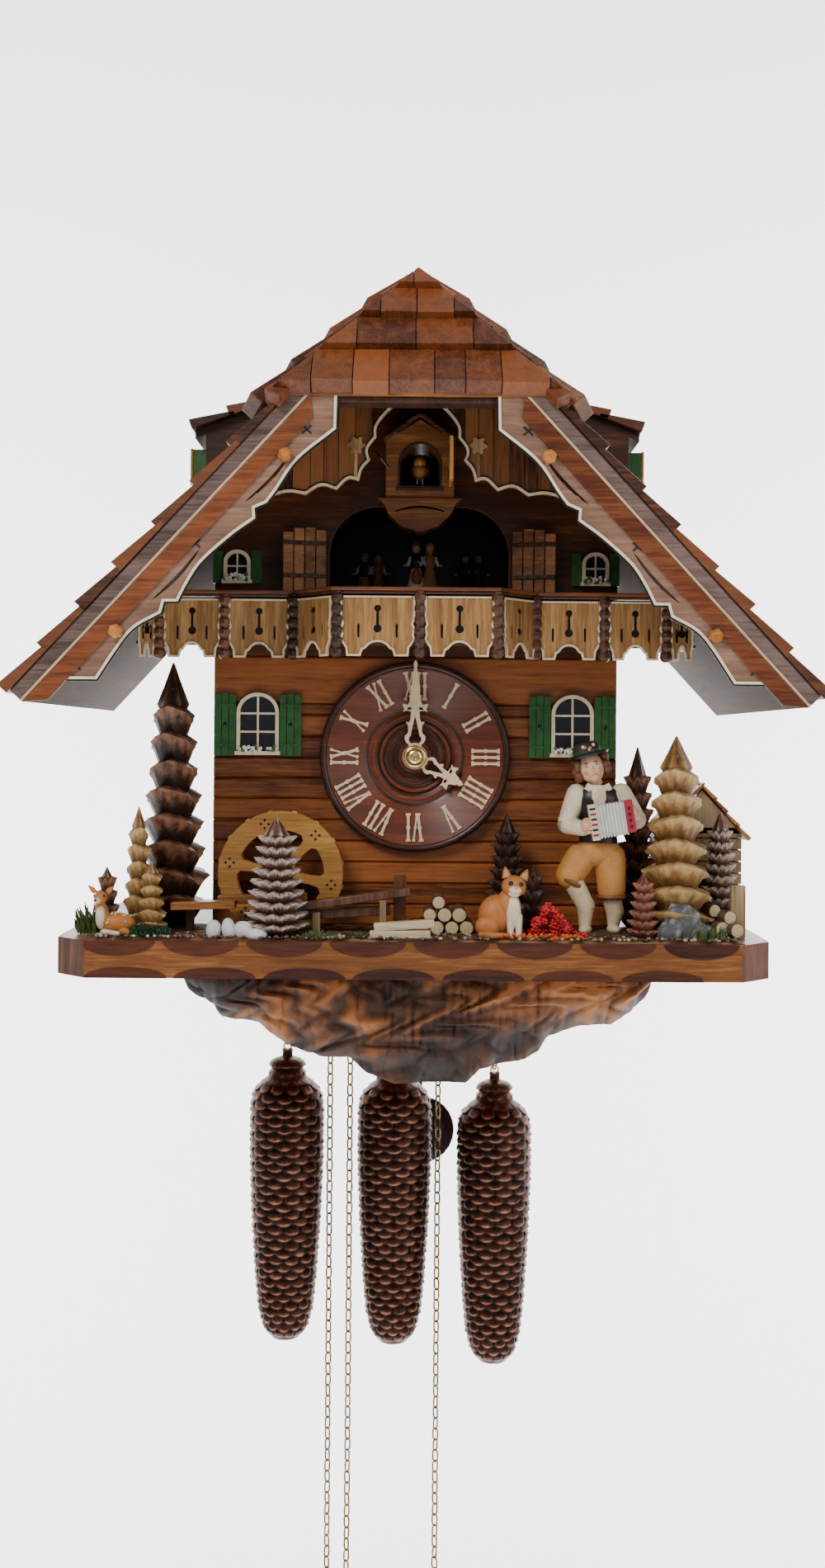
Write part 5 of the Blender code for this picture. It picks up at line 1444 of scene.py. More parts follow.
def make_dial():
    place = turned((0.0, ON_FACE, 0.0), math.pi / 2, "X")
    shape = Shape(201)
    profile = [(0.0514, 0.0), (0.0514, 0.0046), (0.0508, 0.0058), (0.0496, 0.0064),
               (0.0484, 0.0060),
               (0.0476, 0.0050), (0.0470, 0.0045), (0.0268, 0.0045), (0.0262, 0.0038),
               (0.0252, 0.0035), (0.0236, 0.0044), (0.0228, 0.0049), (0.0220, 0.0047),
               (0.0212, 0.0037), (0.0202, 0.0034), (0.0190, 0.0048), (0.0182, 0.0052),
               (0.0174, 0.0047), (0.0168, 0.0034), (0.0150, 0.0028), (0.0138, 0.0030),
               (0.0134, 0.0036), (0.0126, 0.0030), (0.0094, 0.0026), (0.0090, 0.0038),
               (0.0022, 0.0040)]
    shape.lathe(profile, 96, 0, place)
    count = len(shape.faces)
    for index in range(count):
        ring = index // 96
        if ring in (0, 1, 2, 3, 4, 7, 8, 13, 14, 18, 19, 22, 23):
            shape.mats[index] = 1
    shape.place("dial_turned", ["dial", "dial_dark"], replaces=["dial"], slot="brown_wood",
                angle=60.0)
    figures = Shape(203)
    names = ("XII", "I", "II", "III", "IIII", "V", "VI", "VII", "VIII", "IX", "X", "XI")
    for index, text in enumerate(names):
        turn = Matrix.Rotation(math.radians(30 * index), 4, "Y")
        for layer, outline in enumerate(numeral(text)):
            lifted_outline = [(u, v + 0.0304) for u, v in outline]
            front = -0.1554 - 0.00006 * layer
            figures.prism(lifted_outline, front, -0.1546, 0, turn)
    figures.place("dial_numerals", ["numeral"], slot="hand_cream", bevel=0.00012)


HAND_EDGE = {          # distance from the arbor and half width, mm
    "minute": [(6.6, 3.4), (7.6, 4.6), (9.2, 5.5), (11.2, 5.5), (12.6, 4.0), (14.4, 3.6),
               (17.2, 3.9), (18.3, 5.0), (18.9, 4.7), (18.7, 3.2), (20.6, 2.5), (24.4, 2.3),
               (24.8, 5.0), (24.0, 6.6), (25.6, 5.9), (27.0, 6.5), (28.6, 6.9), (27.8, 4.0),
               (29.6, 3.1), (31.8, 2.9), (32.6, 3.6), (33.4, 2.4), (36.0, 2.6), (40.0, 1.9),
               (44.0, 1.5), (45.0, 2.0), (46.0, 1.0), (48.5, 0.8), (49.6, 1.2), (51.6, 0.35)],
    "hour": [(6.6, 3.2), (7.4, 4.2), (8.8, 4.9), (10.4, 4.7), (11.6, 3.6), (13.2, 3.3),
             (15.0, 4.4), (15.6, 4.2), (15.5, 2.8), (17.0, 2.3), (19.2, 2.2), (19.6, 5.0),
             (19.0, 6.6), (20.6, 5.7), (22.0, 6.4), (23.4, 6.7), (22.8, 3.8), (24.0, 2.9),
             (26.0, 2.4), (27.0, 1.4), (28.2, 1.5), (29.8, 0.35)]}
HAND_HOLES = {
    "minute": [[(7.5, 0.4), (7.2, 2.2), (8.6, 3.3), (10.4, 3.2), (11.4, 2.3), (13.0, 2.1),
                (17.0, 1.2), (21.5, 0.15)], [(25.4, 1.9), (24.9, 4.4), (26.6, 4.0), (26.8, 2.2)]],
    "hour": [[(7.4, 0.4), (7.1, 2.0), (8.3, 2.9), (9.8, 2.8), (10.8, 2.0), (12.4, 1.8),
              (17.5, 0.15)], [(20.1, 1.8), (19.7, 4.3), (21.2, 3.9), (21.4, 2.1)]]}


def make_hands():
    for kind, turn, near, far, node in (("minute", 0.0, -0.1616, -0.1604, "minute_hand"),
                                        ("hour", 120.0, -0.1592, -0.1580, "hour_hand")):
        place = Matrix.Rotation(math.radians(turn), 4, "Y")
        edge = [(half * MM, up * MM) for up, half in HAND_EDGE[kind]]
        hub = [(0.0066 * math.sin(a), 0.0066 * math.cos(a))
               for a in np.linspace(math.radians(32), math.radians(180), 14)]
        right = hub[::-1] + edge
        outline = right + [(-x, z) for x, z in reversed(right[1:])]
        central = [(half * MM, up * MM) for up, half in HAND_HOLES[kind][0]]
        holes = [central + [(-x, z) for x, z in reversed(central)]]
        for side in (-1, 1):
            holes.append([(side * half * MM, up * MM) for up, half in HAND_HOLES[kind][1]])
        board(kind + "_hand_pierced", [outline] + holes, near, far, "hand", node, [node],
              bevel=0.00015, matrix=place)
        pipe = Shape(211)
        back = Matrix.Rotation(math.pi / 2, 4, "X")
        low = -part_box(node)[1].y
        radius = 0.0015 if kind == "minute" else 0.0025
        pipe.lathe([(radius, low), (radius, -far + 0.0001)], 24, 0, back)
        pipe.place(kind + "_pipe", ["brass"], node, slot="brass", angle=60.0)
    nut = Shape(213)
    place = Matrix.Rotation(math.pi / 2, 4, "X")
    nut.lathe([(0.0062, 0.1619), (0.0062, 0.1630), (0.0055, 0.1638), (0.0047, 0.1638),
               (0.0044, 0.1646), (0.0036, 0.1655), (0.0022, 0.1659), (0.0012, 0.1659),
               (0.0010, 0.1654)], 40, 0, place)
    nut.place("hand_nut_turned", ["brass_bright"], "minute_hand", ["hand_nut"], slot="brass",
              angle=50.0)


def make_mill_wheel():
    centre_x, centre_z = -0.071, -0.0625
    place = Matrix.Translation((centre_x, 0.0, centre_z))
    outline = arc((0.0, 0.0), 0.0332, 0, 360, 96)[:-1]
    holes = []
    for index in range(6):
        angle = 18 + 60 * index
        outer = arc((0.0, 0.0), 0.0232, angle - 17, angle + 17, 8)
        rim_a = arc((0.0, 0.0), 0.0215, angle - 22, angle - 21, 1)
        rim_b = arc((0.0, 0.0), 0.0215, angle + 21, angle + 22, 1)
        inner = arc((0.0, 0.0), 0.0082, angle + 14, angle - 14, 4)
        holes.append(rim_a + outer + rim_b + arc((0.0, 0.0), 0.0150, angle + 22, angle + 21, 1)
                     + inner + arc((0.0, 0.0), 0.0150, angle - 21, angle - 22, 1))
    for low, high in ((-0.1680, -0.1655), (-0.1625, -0.1600)):
        board("mill_disc_%d" % (-low * 1e4), [outline] + holes, low, high, "oak", "mill_wheel",
              ["mill_wheel"] if low < -0.167 else [], bevel=0.0004, matrix=place)
    shape = Shape(221)
    for index in range(16):
        angle = math.radians(10 + 22.5 * index)
        paddle = place @ Matrix.Rotation(-angle, 4, "Y")
        shape.box((0.0290, -0.1654, -0.0012), (0.0338, -0.1626, 0.0012), 0, paddle)
    back = place @ Matrix.Rotation(math.pi / 2, 4, "X")
    shape.lathe([(0.0040, 0.1520), (0.0040, 0.1675), (0.0052, 0.1682), (0.0052, 0.1690),
                 (0.0030, 0.1694)], 20, 0, back)
    for index in range(6):
        angle = math.radians(48 + 60 * index)
        x, z = 0.0276 * math.cos(angle), 0.0276 * math.sin(angle)
        for du, dv in ((-0.0021, 0.0), (0.0021, 0.0), (0.0, 0.0021), (0.0, -0.0021)):
            spot = place @ Matrix.Translation((x + du, 0.0, z + dv))
            shape.lathe([(0.00075, 0.16795), (0.00075, 0.16810)], 10, 1,
                        spot @ Matrix.Rotation(math.pi / 2, 4, "X"))
    shape.place("mill_paddles", ["light", "black"], "mill_wheel", slot="light_wood", bevel=0.0001)


# ---------------------------------------------------------------- weights, platform, carving

WEIGHT_PROFILE = [
    (0.14, 1.000), (0.14, 0.974), (0.34, 0.968), (0.46, 0.958), (0.50, 0.945), (0.42, 0.934),
    (0.50, 0.922), (0.52, 0.905), (0.72, 0.888), (0.90, 0.862), (0.98, 0.830), (1.00, 0.790),
    (1.00, 0.640), (0.94, 0.430), (0.84, 0.230), (0.75, 0.110), (0.60, 0.040), (0.34, 0.004),
    (0.05, 0.000)]


def make_weights():
    """Iron weights cast as pine cones: overlapping scales, painted shade below their lips and
    painted highlight on them.
    """
    half, length = 0.0220, 0.171
    shares = [p[1] for p in WEIGHT_PROFILE][::-1]
    radii = [p[0] for p in WEIGHT_PROFILE][::-1]
    rows, sides, columns, pitch = 320, 132, 12, 0.0045
    for name, chain in CHAINS.items():
        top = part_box("weight_" + name)[1].z
        rng = np.random.default_rng(len(name))
        jitter = rng.uniform(-0.16, 0.16, (60, columns))
        vertices, relief_shading = [], []
        for row in range(rows + 1):
            share = row / rows
            radius = half * np.interp(share, shares, radii)
            down = (1.0 - share) * length
            for side in range(sides):
                turn = side / sides
                best = 0.0
                base = int(down / pitch)
                for course in (base - 1, base, base + 1):
                    u = (turn * columns + 0.5 * (course % 2)) % columns
                    cell = int(u)
                    across = 2 * (u - cell) - 1
                    droop = 0.42 * (1 - across * across) + 0.7 * jitter[course % 60, cell]
                    v = (down / pitch - course - droop + 0.5) / 1.45
                    if 0.0 <= v <= 1.0:
                        body = v ** 1.5 if v < 0.84 else 0.77 * ((1 - v) / 0.16) ** 0.7
                        best = max(best, body * (1 - abs(across) ** 2.6) ** 0.5)
                swell = 1.0 if 0.03 < share < 0.885 else 0.25
                bump = 0.0021 * best * swell - 0.0012 * swell
                r = max(0.0004, radius + bump)
                angle = 2 * math.pi * turn
                vertices.append((chain["load"] + r * math.cos(angle), CHAIN_Y + r * math.sin(angle),
                                 top - down))
                # colour: painted highlight on each scale's lip, painted shade in the hollow below
                # it; top and foot get a flatter mid tone
                relief_shading.append(best if swell == 1.0 else 0.35 + 0.3 * best)
        faces = []
        for row in range(rows):
            for side in range(sides):
                a, b = row * sides + side, row * sides + (side + 1) % sides
                faces.append((a, b, b + sides, a + sides))
        faces.append(tuple(reversed(range(sides))))
        faces.append(tuple(range(rows * sides, (rows + 1) * sides)))
        shape = Shape(5)
        shape.body(vertices, faces, 0, 0.5, None, relief_shading)
        shape.place("weight_cone_" + name, ["cone"], "weight_" + name, ["weight_" + name],
                    slot="cone_iron", angle=75.0)
        hook = Shape(6)
        loop = [(chain["load"] + 0.0022 * math.sin(a), CHAIN_Y, top + 0.0016 - 0.0022 * math.cos(a))
                for a in np.linspace(0, 2 * math.pi, 15)]
        hook.tube(loop, 0.0006)
        hook.place("weight_hook_" + name, ["brass"], "weight_" + name, slot="brass")


def make_platform():
    shape = Shape(231)
    half, corner, front = 0.180, 0.016, -0.225
    low, high = -0.1105, -0.0920
    top = [(0.0416 * k - 0.1476, 0.0190) for k in range(8)]
    bottom = [(0.0446 * k - 0.1434, 0.0205) for k in range(7)]
    for centre, reach in top:
        outline = [(centre - reach, high + 0.0001)]
        outline += [(centre + reach * math.cos(a), high - 0.0074 * math.sin(a))
                    for a in np.linspace(math.pi, 0, 15)[1:-1]]
        outline += [(centre + reach, high + 0.0001)]
        outline = [(max(corner - half, min(half - corner, x)), z) for x, z in outline]
        shape.prism(outline, front - 0.0004, front + 0.0006)
    for centre, reach in bottom:
        outline = [(centre - reach, low - 0.0001)]
        outline += [(centre + reach * math.cos(a), low + 0.0054 * math.sin(a))
                    for a in np.linspace(math.pi, 0, 15)[1:-1]]
        outline += [(centre + reach, low - 0.0001)]
        outline = [(max(corner - half, min(half - corner, x)), z) for x, z in outline]
        shape.prism(outline, front - 0.0004, front + 0.0006)
    for side in (-1, 1):
        face = turned((side * (half - corner / 2), front + corner / 2, 0.0), side * math.pi / 4,
                      "Z")
        reach = corner / math.sqrt(2)
        shape.box((-reach, -0.0003, low), (reach, 0.0004, high), 1, face)
        for place_y in (-0.185, -0.1434, -0.1018, -0.0602):
            outline = [(place_y - 0.019, high + 0.0001)]
            outline += [(place_y + 0.019 * math.cos(a), high - 0.0074 * math.sin(a))
                        for a in np.linspace(math.pi, 0, 13)[1:-1]]
            outline += [(place_y + 0.019, high + 0.0001)]
            near, far = sorted((side * half, side * (half + 0.0004)))
            shape.prism(outline, near, far, 0, axis="x")
    shape.place("platform_scallops", ["scallop", "barge_dark"], slot="brown_wood", smooth=False)


CARVING_OUTLINE = [
    (-122, 0), (-117, -10), (-108, -16), (-100, -26), (-81, -28), (-73, -34),
    (-64, -41), (-47, -47), (-33, -47), (-24, -55), (-10, -60), (28, -60),
    (35, -52), (58, -47), (66, -43), (71, -35), (87, -29), (104, -28),
    (114, -22), (122, -11), (126, 0)]


def make_carving():
    """Rough-carved rock under the platform, cut back towards its lower edge."""
    columns, rows = 260, 84
    xs = [p[0] * MM for p in CARVING_OUTLINE]
    depths = [-p[1] * MM for p in CARVING_OUTLINE]
    vertices, relief_shading = [], []
    for column in range(columns + 1):
        x = xs[0] + (xs[-1] - xs[0]) * column / columns
        deep = max(0.0008, float(np.interp(x, xs, depths)))
        for row in range(rows + 1):
            down = deep * row / rows
            share = down / 0.060
            z = -0.1108 - down
            flow = Vector((x * 26 + 5.0 * share, 0.0, z * 15))
            facets = noise.voronoi(Vector((x * 46 + 1.2 * noise.noise(flow), 1.7, z * 40)))[0]
            ridge = facets[1] - facets[0]
            gouge = abs(noise.noise(Vector((x * 190, 4.0, z * 36)))) ** 0.6
            broad = noise.noise(Vector((x * 18, 9.0, z * 20)))
            lobes = 0.5 + 0.5 * math.cos(2 * math.pi * (x - 0.004) / 0.0446)
            fall = max(0.0, min(1.0, down / max(deep, 0.02)))
            reach = 0.045 * (1.0 - 0.52 * fall ** 2.2)
            relief = 0.0075 * ridge + 0.0030 * gouge + 0.0065 * broad - 0.0052
            relief += 0.0030 * lobes * (1 - fall)
            edge = min(1.0, (x - xs[0]) / 0.012, (xs[-1] - x) / 0.012)
            y = -0.160 - max(0.002, reach * (0.35 + 0.65 * max(0.0, edge) ** 0.5)
                             + relief * (0.4 + 0.6 * edge))
            y = max(y, -0.2075)
            vertices.append((x, y, z))
            # colour: painted highlight on the raised facets, painted shade in the hollows and
            # towards the cut-back lower edge
            relief_shading.append(max(0.0, min(1.0, 0.16 + 0.80 * ridge + 0.9 * broad + 0.22 * gouge
                                      - 0.15 * fall)))
    faces = []
    for column in range(columns):
        for row in range(rows):
            a = column * (rows + 1) + row
            faces.append((a, a + rows + 1, a + rows + 2, a + 1))
    count = len(vertices)
    for column in range(columns + 1):
        for row in (0, rows):
            x, y, z = vertices[column * (rows + 1) + row]
            vertices.append((x, -0.1602, z))
            relief_shading.append(0.2)
    for column in range(columns):
        a = count + 2 * column
        top, top_next = column * (rows + 1), (column + 1) * (rows + 1)
        faces.append((a, a + 2, top_next, top))
        faces.append((top + rows, top_next + rows, a + 3, a + 1))
        faces.append((a + 1, a + 3, a + 2, a))
    faces.append(tuple([row for row in range(rows + 1)] + [count + 1, count]))
    last = columns * (rows + 1)
    faces.append(tuple([last + row for row in reversed(range(rows + 1))]
                       + [count + 2 * columns, count + 2 * columns + 1]))
    shape = Shape(7)
    shape.body(vertices, faces, 0, 0.5, None, relief_shading)
    shape.place("rock_carving", ["carving"], replaces=["base_carving"], slot="brown_wood",
                angle=50.0)


M["dial_dark"] = wood("dial_dark_wood", (0.030, 0.010, 0.006), (0.085, 0.028, 0.014), "x", 0.32,
                      0.5)
M["numeral"] = paint("numeral_paint", (0.720, 0.520, 0.330), 0.5, 0.14)
M["hand"] = paint("hand_paint", (0.700, 0.520, 0.340), 0.45, 0.14)
M["brass_bright"] = metal("brass_bright_metal", (0.860, 0.680, 0.330), (0.640, 0.460, 0.190), 0.22)
M["barge_dark"] = wood("corner_wood", (0.075, 0.030, 0.018), (0.200, 0.090, 0.055), "z", 0.4, 0.3)


def make_works():
    make_dial()
    make_hands()
    make_mill_wheel()
    make_weights()
    make_platform()
    make_carving()


# ---------------------------------------------------------------- trees, hut, ground

GROUND = -0.0918


def make_tree(name, x, y, top, half, tiers, material, leaves=9, replaces=(), seed=1,
              slot="dark_wood", wings=0.35):
    """Carved fir: bowl-shaped tiers with pointed rims under a plain pointed crown."""
    shape = Shape(seed)
    rng = shape.random
    height = top - GROUND
    crown = 0.19 * height
    shape.lathe([(half * 0.22, GROUND), (half * 0.20, top - crown * 0.5)], 8, 0,
                Matrix.Translation((x, y, 0.0)), 0.1)
    sides = leaves * max(10, 40 // leaves)
    for tier in range(tiers):
        share = (tier + 1) / tiers
        tip_z = top - crown * 0.86 - (height - crown) * tier / tiers
        base_z = max(GROUND, tip_z - (height - crown) / tiers * 1.55)
        tip = half * (0.52 + 0.48 * share)
        neck = tip * 0.30
        turn = rng.uniform(-0.35, 0.35)
        vertices, relief_shading = [], []
        levels = [(0.0, 0.0), (0.16, 0.24), (0.36, 0.44), (0.58, 0.62), (0.80, 0.82), (1.0, 1.08)]
        for up, out in levels:
            for side in range(sides):
                angle = 2 * math.pi * side / sides
                petal = 1.0 - abs(((angle * leaves / (2 * math.pi)) % 1.0) * 2 - 1)
                petal = petal ** 0.75
                groove = 0.045 * math.cos(angle * max(12, leaves * 4) + 5 * up) * up
                radius = neck + (tip - neck) * out * (1 - wings * up + wings * up * petal)
                radius *= 1 + groove + 0.05 * math.sin(3 * angle + turn)
                dip = 0.42 if leaves < 4 else 0.30
                z = base_z + (tip_z - base_z) * up * (1 - dip * up + dip * up * petal)
                vertices.append((x + radius * math.cos(angle + turn),
                                 y + radius * math.sin(angle + turn), z))
                # painted shade at each tier's neck under the tier above, painted highlight towards
                # the rims and on groove ridges; on the frost firs the pale rims also carry their
                # frost paint
                shade = 0.04 + 0.80 * up ** 1.5 + 0.22 * groove / 0.045 * up
                relief_shading.append(max(0.0, min(1.0, shade + rng.uniform(0, 0.10))))
        for side in range(sides):
            angle = 2 * math.pi * side / sides
            radius = half * 0.16
            vertices.append((x + radius * math.cos(angle + turn),
                             y + radius * math.sin(angle + turn), tip_z + 0.10 * (tip_z - base_z)))
            relief_shading.append(0.15)
        faces = []
        for ring in range(len(levels)):
            for side in range(sides):
                a, b = ring * sides + side, ring * sides + (side + 1) % sides
                faces.append((a, b, b + sides, a + sides))
        faces.append(tuple(reversed(range(sides))))
        faces.append(tuple(range(len(levels) * sides, (len(levels) + 1) * sides)))
        shape.body(vertices, faces, 0, rng.random(), None, relief_shading)
    tip = half * 0.34
    vertices, relief_shading = [], []
    # crown colour: painted highlight on the flutes and upper part, painted shade at its foot
    for radius, z, lift in ((tip * 0.45, top - crown * 1.15, 0.1), (tip, top - crown * 0.82, 0.8),
                            (tip * 0.55, top - crown * 0.45, 0.5), (tip * 0.06, top, 0.7)):
        for side in range(12):
            angle = 2 * math.pi * side / 12
            flute = 1 + 0.14 * math.cos(angle * 6)
            vertices.append((x + radius * flute * math.cos(angle),
                             y + radius * flute * math.sin(angle), z))
            relief_shading.append(lift * (0.7 + 0.3 * math.cos(angle * 6)))
    faces = [(r * 12 + s, r * 12 + (s + 1) % 12, (r + 1) * 12 + (s + 1) % 12, (r + 1) * 12 + s)
             for r in range(3) for s in range(12)]
    faces += [tuple(reversed(range(12))), tuple(range(36, 48))]
    shape.body(vertices, faces, 0, 0.5, None, relief_shading)
    shape.place(name, [material], replaces=replaces, slot=slot, angle=40.0)


def make_trees():
    make_tree("fir_tall", -0.129, -0.165, 0.049, 0.0225, 8, "fir_dark", 2, ["tree_tall"], 301,
              wings=0.42)
    make_tree("fir_light_1", -0.1424, -0.192, -0.0266, 0.0098, 6, "fir_light", 2, (), 302,
              "light_wood")
    make_tree("fir_light_2", -0.1340, -0.203, -0.0537, 0.0092, 5, "fir_light", 2, (), 303,
              "light_wood")
    make_tree("fir_brown", -0.1580, -0.196, -0.0574, 0.0075, 4, "fir_dark", 7, (), 304)
    make_tree("fir_frost", -0.0698, -0.207, -0.0302, 0.0165, 9, "fir_frost", 9, (), 305, wings=0.25)
    make_tree("fir_mid", 0.0493, -0.166, -0.0298, 0.0125, 8, "fir_shade", 8, (), 306)
    make_tree("fir_small", 0.0620, -0.186, -0.0555, 0.0075, 4, "fir_shade", 7, (), 307)
    make_tree("fir_right", 0.1353, -0.192, 0.0120, 0.0225, 7, "fir_light", 2, ["tree_right"], 308,
              "light_wood", 0.30)
    make_tree("fir_back", 0.1195, -0.1590, 0.0063, 0.0125, 9, "fir_dark", 7, (), 309)
    make_tree("fir_frost_right", 0.1610, -0.1765, -0.0270, 0.0115, 9, "fir_frost", 10, (), 310)
    make_tree("fir_red", 0.1163, -0.2100, -0.0570, 0.0085, 6, "fir_red", 9, (), 311)


def make_hut():
    shape = Shape(321)
    centre, half, wall_top, ridge = 0.154, 0.0215, -0.0400, -0.0150
    back, front = -0.1125, -0.1600
    for z in np.arange(GROUND, wall_top - 0.002, 0.0062):
        for y in (front, back - 0.001):
            shape.box((centre - half, y, z + 0.0002), (centre + half, y + 0.0022, z + 0.0058), 0)
        for side in (-1, 1):
            a, b = sorted((centre + side * half, centre + side * (half - 0.0022)))
            shape.box((a, front + 0.001, z + 0.0002), (b, back, z + 0.0058), 0)
    for y in (front, back - 0.001):
        shape.prism([(centre - half, wall_top), (centre + half, wall_top),
                     (centre, ridge - 0.0015)],
                    y, y + 0.002)
    shape.box((centre - 0.0060, front - 0.0008, GROUND), (centre + 0.0060, front + 0.0004, -0.0640),
              1)
    slope = math.atan2(ridge - wall_top, half)
    length = half / math.cos(slope) + 0.0050
    for side in (-1, 1):
        matrix = Matrix((
            (-side * math.cos(slope), 0.0, side * math.sin(slope), centre + side * (half + 0.0034)),
            (0.0, 1.0, 0.0, 0.0),
            (math.sin(slope), 0.0, math.cos(slope), wall_top - 0.0038),
            (0.0, 0.0, 0.0, 1.0)))
        for course in range(4):
            y = front - 0.0030
            while y < back + 0.0010:
                width = shape.random.uniform(0.006, 0.011)
                low = course * length / 4 + shape.random.uniform(-0.0006, 0.0006)
                wedge(shape, low, low + length / 4 + 0.002, y, y + width - 0.0003, 0.0024, 0.0010,
                      0.0, matrix, 2)
                y += width
    shape.place("hut_boards", ["oak_worn", "black", "hut_roof"], replaces=["hut"], bevel=0.0003,
                slot="orange_wood", smooth=False)


def make_ground():
    """Brown earth and gravel glued along the front of the platform."""
    columns, rows = 150, 34
    x0, x1, y0, y1 = -0.1660, 0.1660, -0.2225, -0.1520
    vertices, relief_shading = [], []
    for column in range(columns + 1):
        for row in range(rows + 1):
            x = x0 + (x1 - x0) * column / columns
            y = y0 + (y1 - y0) * row / rows
            bump = noise.noise(Vector((x * 160, y * 160, 0.0)))
            edge = min(1.0, column / 3, (columns - column) / 3, row / 2, (rows - row) / 2)
            z = -0.0919 + edge * (0.0013 + 0.0009 * bump)
            wobble = 0.0012 * noise.noise(Vector((x * 90, y * 90, 5.0)))
            vertices.append((x + wobble, y + wobble * (row not in (0, rows)), z))
            # earth colour brighter on the bumps and darker in the dips: painted light and painted
            # shade
            relief_shading.append(max(0.0, min(1.0, 0.5 + 0.6 * bump)))
    count = len(vertices)
    faces = [(c * (rows + 1) + r, (c + 1) * (rows + 1) + r, (c + 1) * (rows + 1) + r + 1,
              c * (rows + 1) + r + 1) for c in range(columns) for r in range(rows)]
    vertices += [(x, y, -0.09195) for x, y, z in vertices]
    # painted shade on the underside
    relief_shading += [0.2] * count
    faces += [tuple(count + i for i in reversed(face)) for face in faces[:columns * rows]]
    loop = [c * (rows + 1) for c in range(columns + 1)]
    loop += [columns * (rows + 1) + r for r in range(1, rows + 1)]
    loop += [c * (rows + 1) + rows for c in reversed(range(columns))]
    loop += list(reversed(range(1, rows)))
    for a, b in zip(loop, loop[1:] + loop[:1]):
        faces.append((a, a + count, b + count, b))
    earth = Shape(331)
    earth.body(vertices, faces, 0, 0.5, None, relief_shading)
    earth.place("ground_earth", ["earth"], slot="brown_wood", angle=80.0)
    gravel = Shape(333)
    rng = gravel.random
    for _ in range(620):
        x = rng.uniform(-0.162, 0.162)
        y = -0.2215 + abs(rng.gauss(0.0, 0.010))
        if y > -0.160:
            continue
        size = rng.uniform(0.0006, 0.0015)
        turn = Matrix.Translation((x, y, GROUND + 0.0012 + size * 0.3))
        turn = turn @ Matrix.Rotation(rng.uniform(0, 3), 4,
                                      "Z") @ Matrix.Rotation(rng.uniform(0, 3), 4, "X")
        gravel.ball((0, 0, 0), (size, size * rng.uniform(0.6, 0.9), size * rng.uniform(0.5, 0.9)),
                    rng.choice((0, 0, 0, 1, 1, 2, 3)), 4, 6, rng.random(), turn)
    gravel.place("gravel", ["stone_brown", "stone_dark", "stone_cream", "stone_grey"],
                 slot="brown_wood", angle=80.0)
    pebbles = Shape(335)
    for x, z_half, width, lean, y in ((-0.1005, 0.0052, 0.0040, 0.1, -0.2160),
                                      (-0.0930, 0.0058, 0.0036, -0.1, -0.2165),
                                      (-0.0850, 0.0048, 0.0060, 0.5, -0.2160),
                                      (-0.0790, 0.0032, 0.0058, 0.0, -0.2185),
                                      (-0.0985, 0.0030, 0.0046, 0.0, -0.2105)):
        place = turned((x, y, GROUND + z_half * 0.85), lean, "Y")
        pebbles.ball((0, 0, 0), (width, 0.0034, z_half), 0, 8, 14, None, place)
    pebbles.place("white_pebbles", ["stone_white"], slot="brown_wood", angle=80.0)
    rock = Shape(337)
    for cx, cy, cz, size in ((0.1365, -0.2080, GROUND + 0.0080, (0.0105, 0.0070, 0.0115)),
                             (0.1290, -0.2120, GROUND + 0.0040, (0.0070, 0.0050, 0.0060)),
                             (0.1450, -0.2105, GROUND + 0.0040, (0.0060, 0.0050, 0.0058))):
        start = len(rock.vertices)
        rock.ball((cx, cy, cz), size, 0, 12, 20)
        for index in range(start, len(rock.vertices)):
            v = Vector(rock.vertices[index])
            out = (v - Vector((cx, cy, cz)))
            cell = noise.voronoi(v * 210)[0]
            v += out * 0.32 * (cell[1] - cell[0] - 0.35)
            rock.vertices[index] = tuple(v)
            # painted highlight on the raised cells, painted shade in the sunk ones
            rock.relief_shading[index] = max(0.0, min(1.0, 0.3 + 1.1 * (cell[1] - cell[0])))
    rock.place("grey_rock", ["rock"], slot="brown_wood", angle=30.0)


def tuft(shape, x, y, spread, height, count, mat, rng):
    """A clump of moss: short tapering blades leaning outwards."""
    for _ in range(count):
        angle = rng.uniform(0, 2 * math.pi)
        far = spread * math.sqrt(rng.random())
        base = Vector((x + far * math.cos(angle), y + 0.6 * far * math.sin(angle), GROUND + 0.0005))
        rise = height * (1.0 - 0.55 * (far / spread) ** 2) * rng.uniform(0.6, 1.0)
        tip = base + Vector((0.35 * rise * math.cos(angle), 0.35 * rise * math.sin(angle), rise))
        bend = (base + tip) / 2 + Vector((rng.uniform(-1, 1), rng.uniform(-1, 1), 0.3)) * 0.0012
        shape.tube([base, bend, tip], [0.0009, 0.0007, 0.0002], mat, 5)


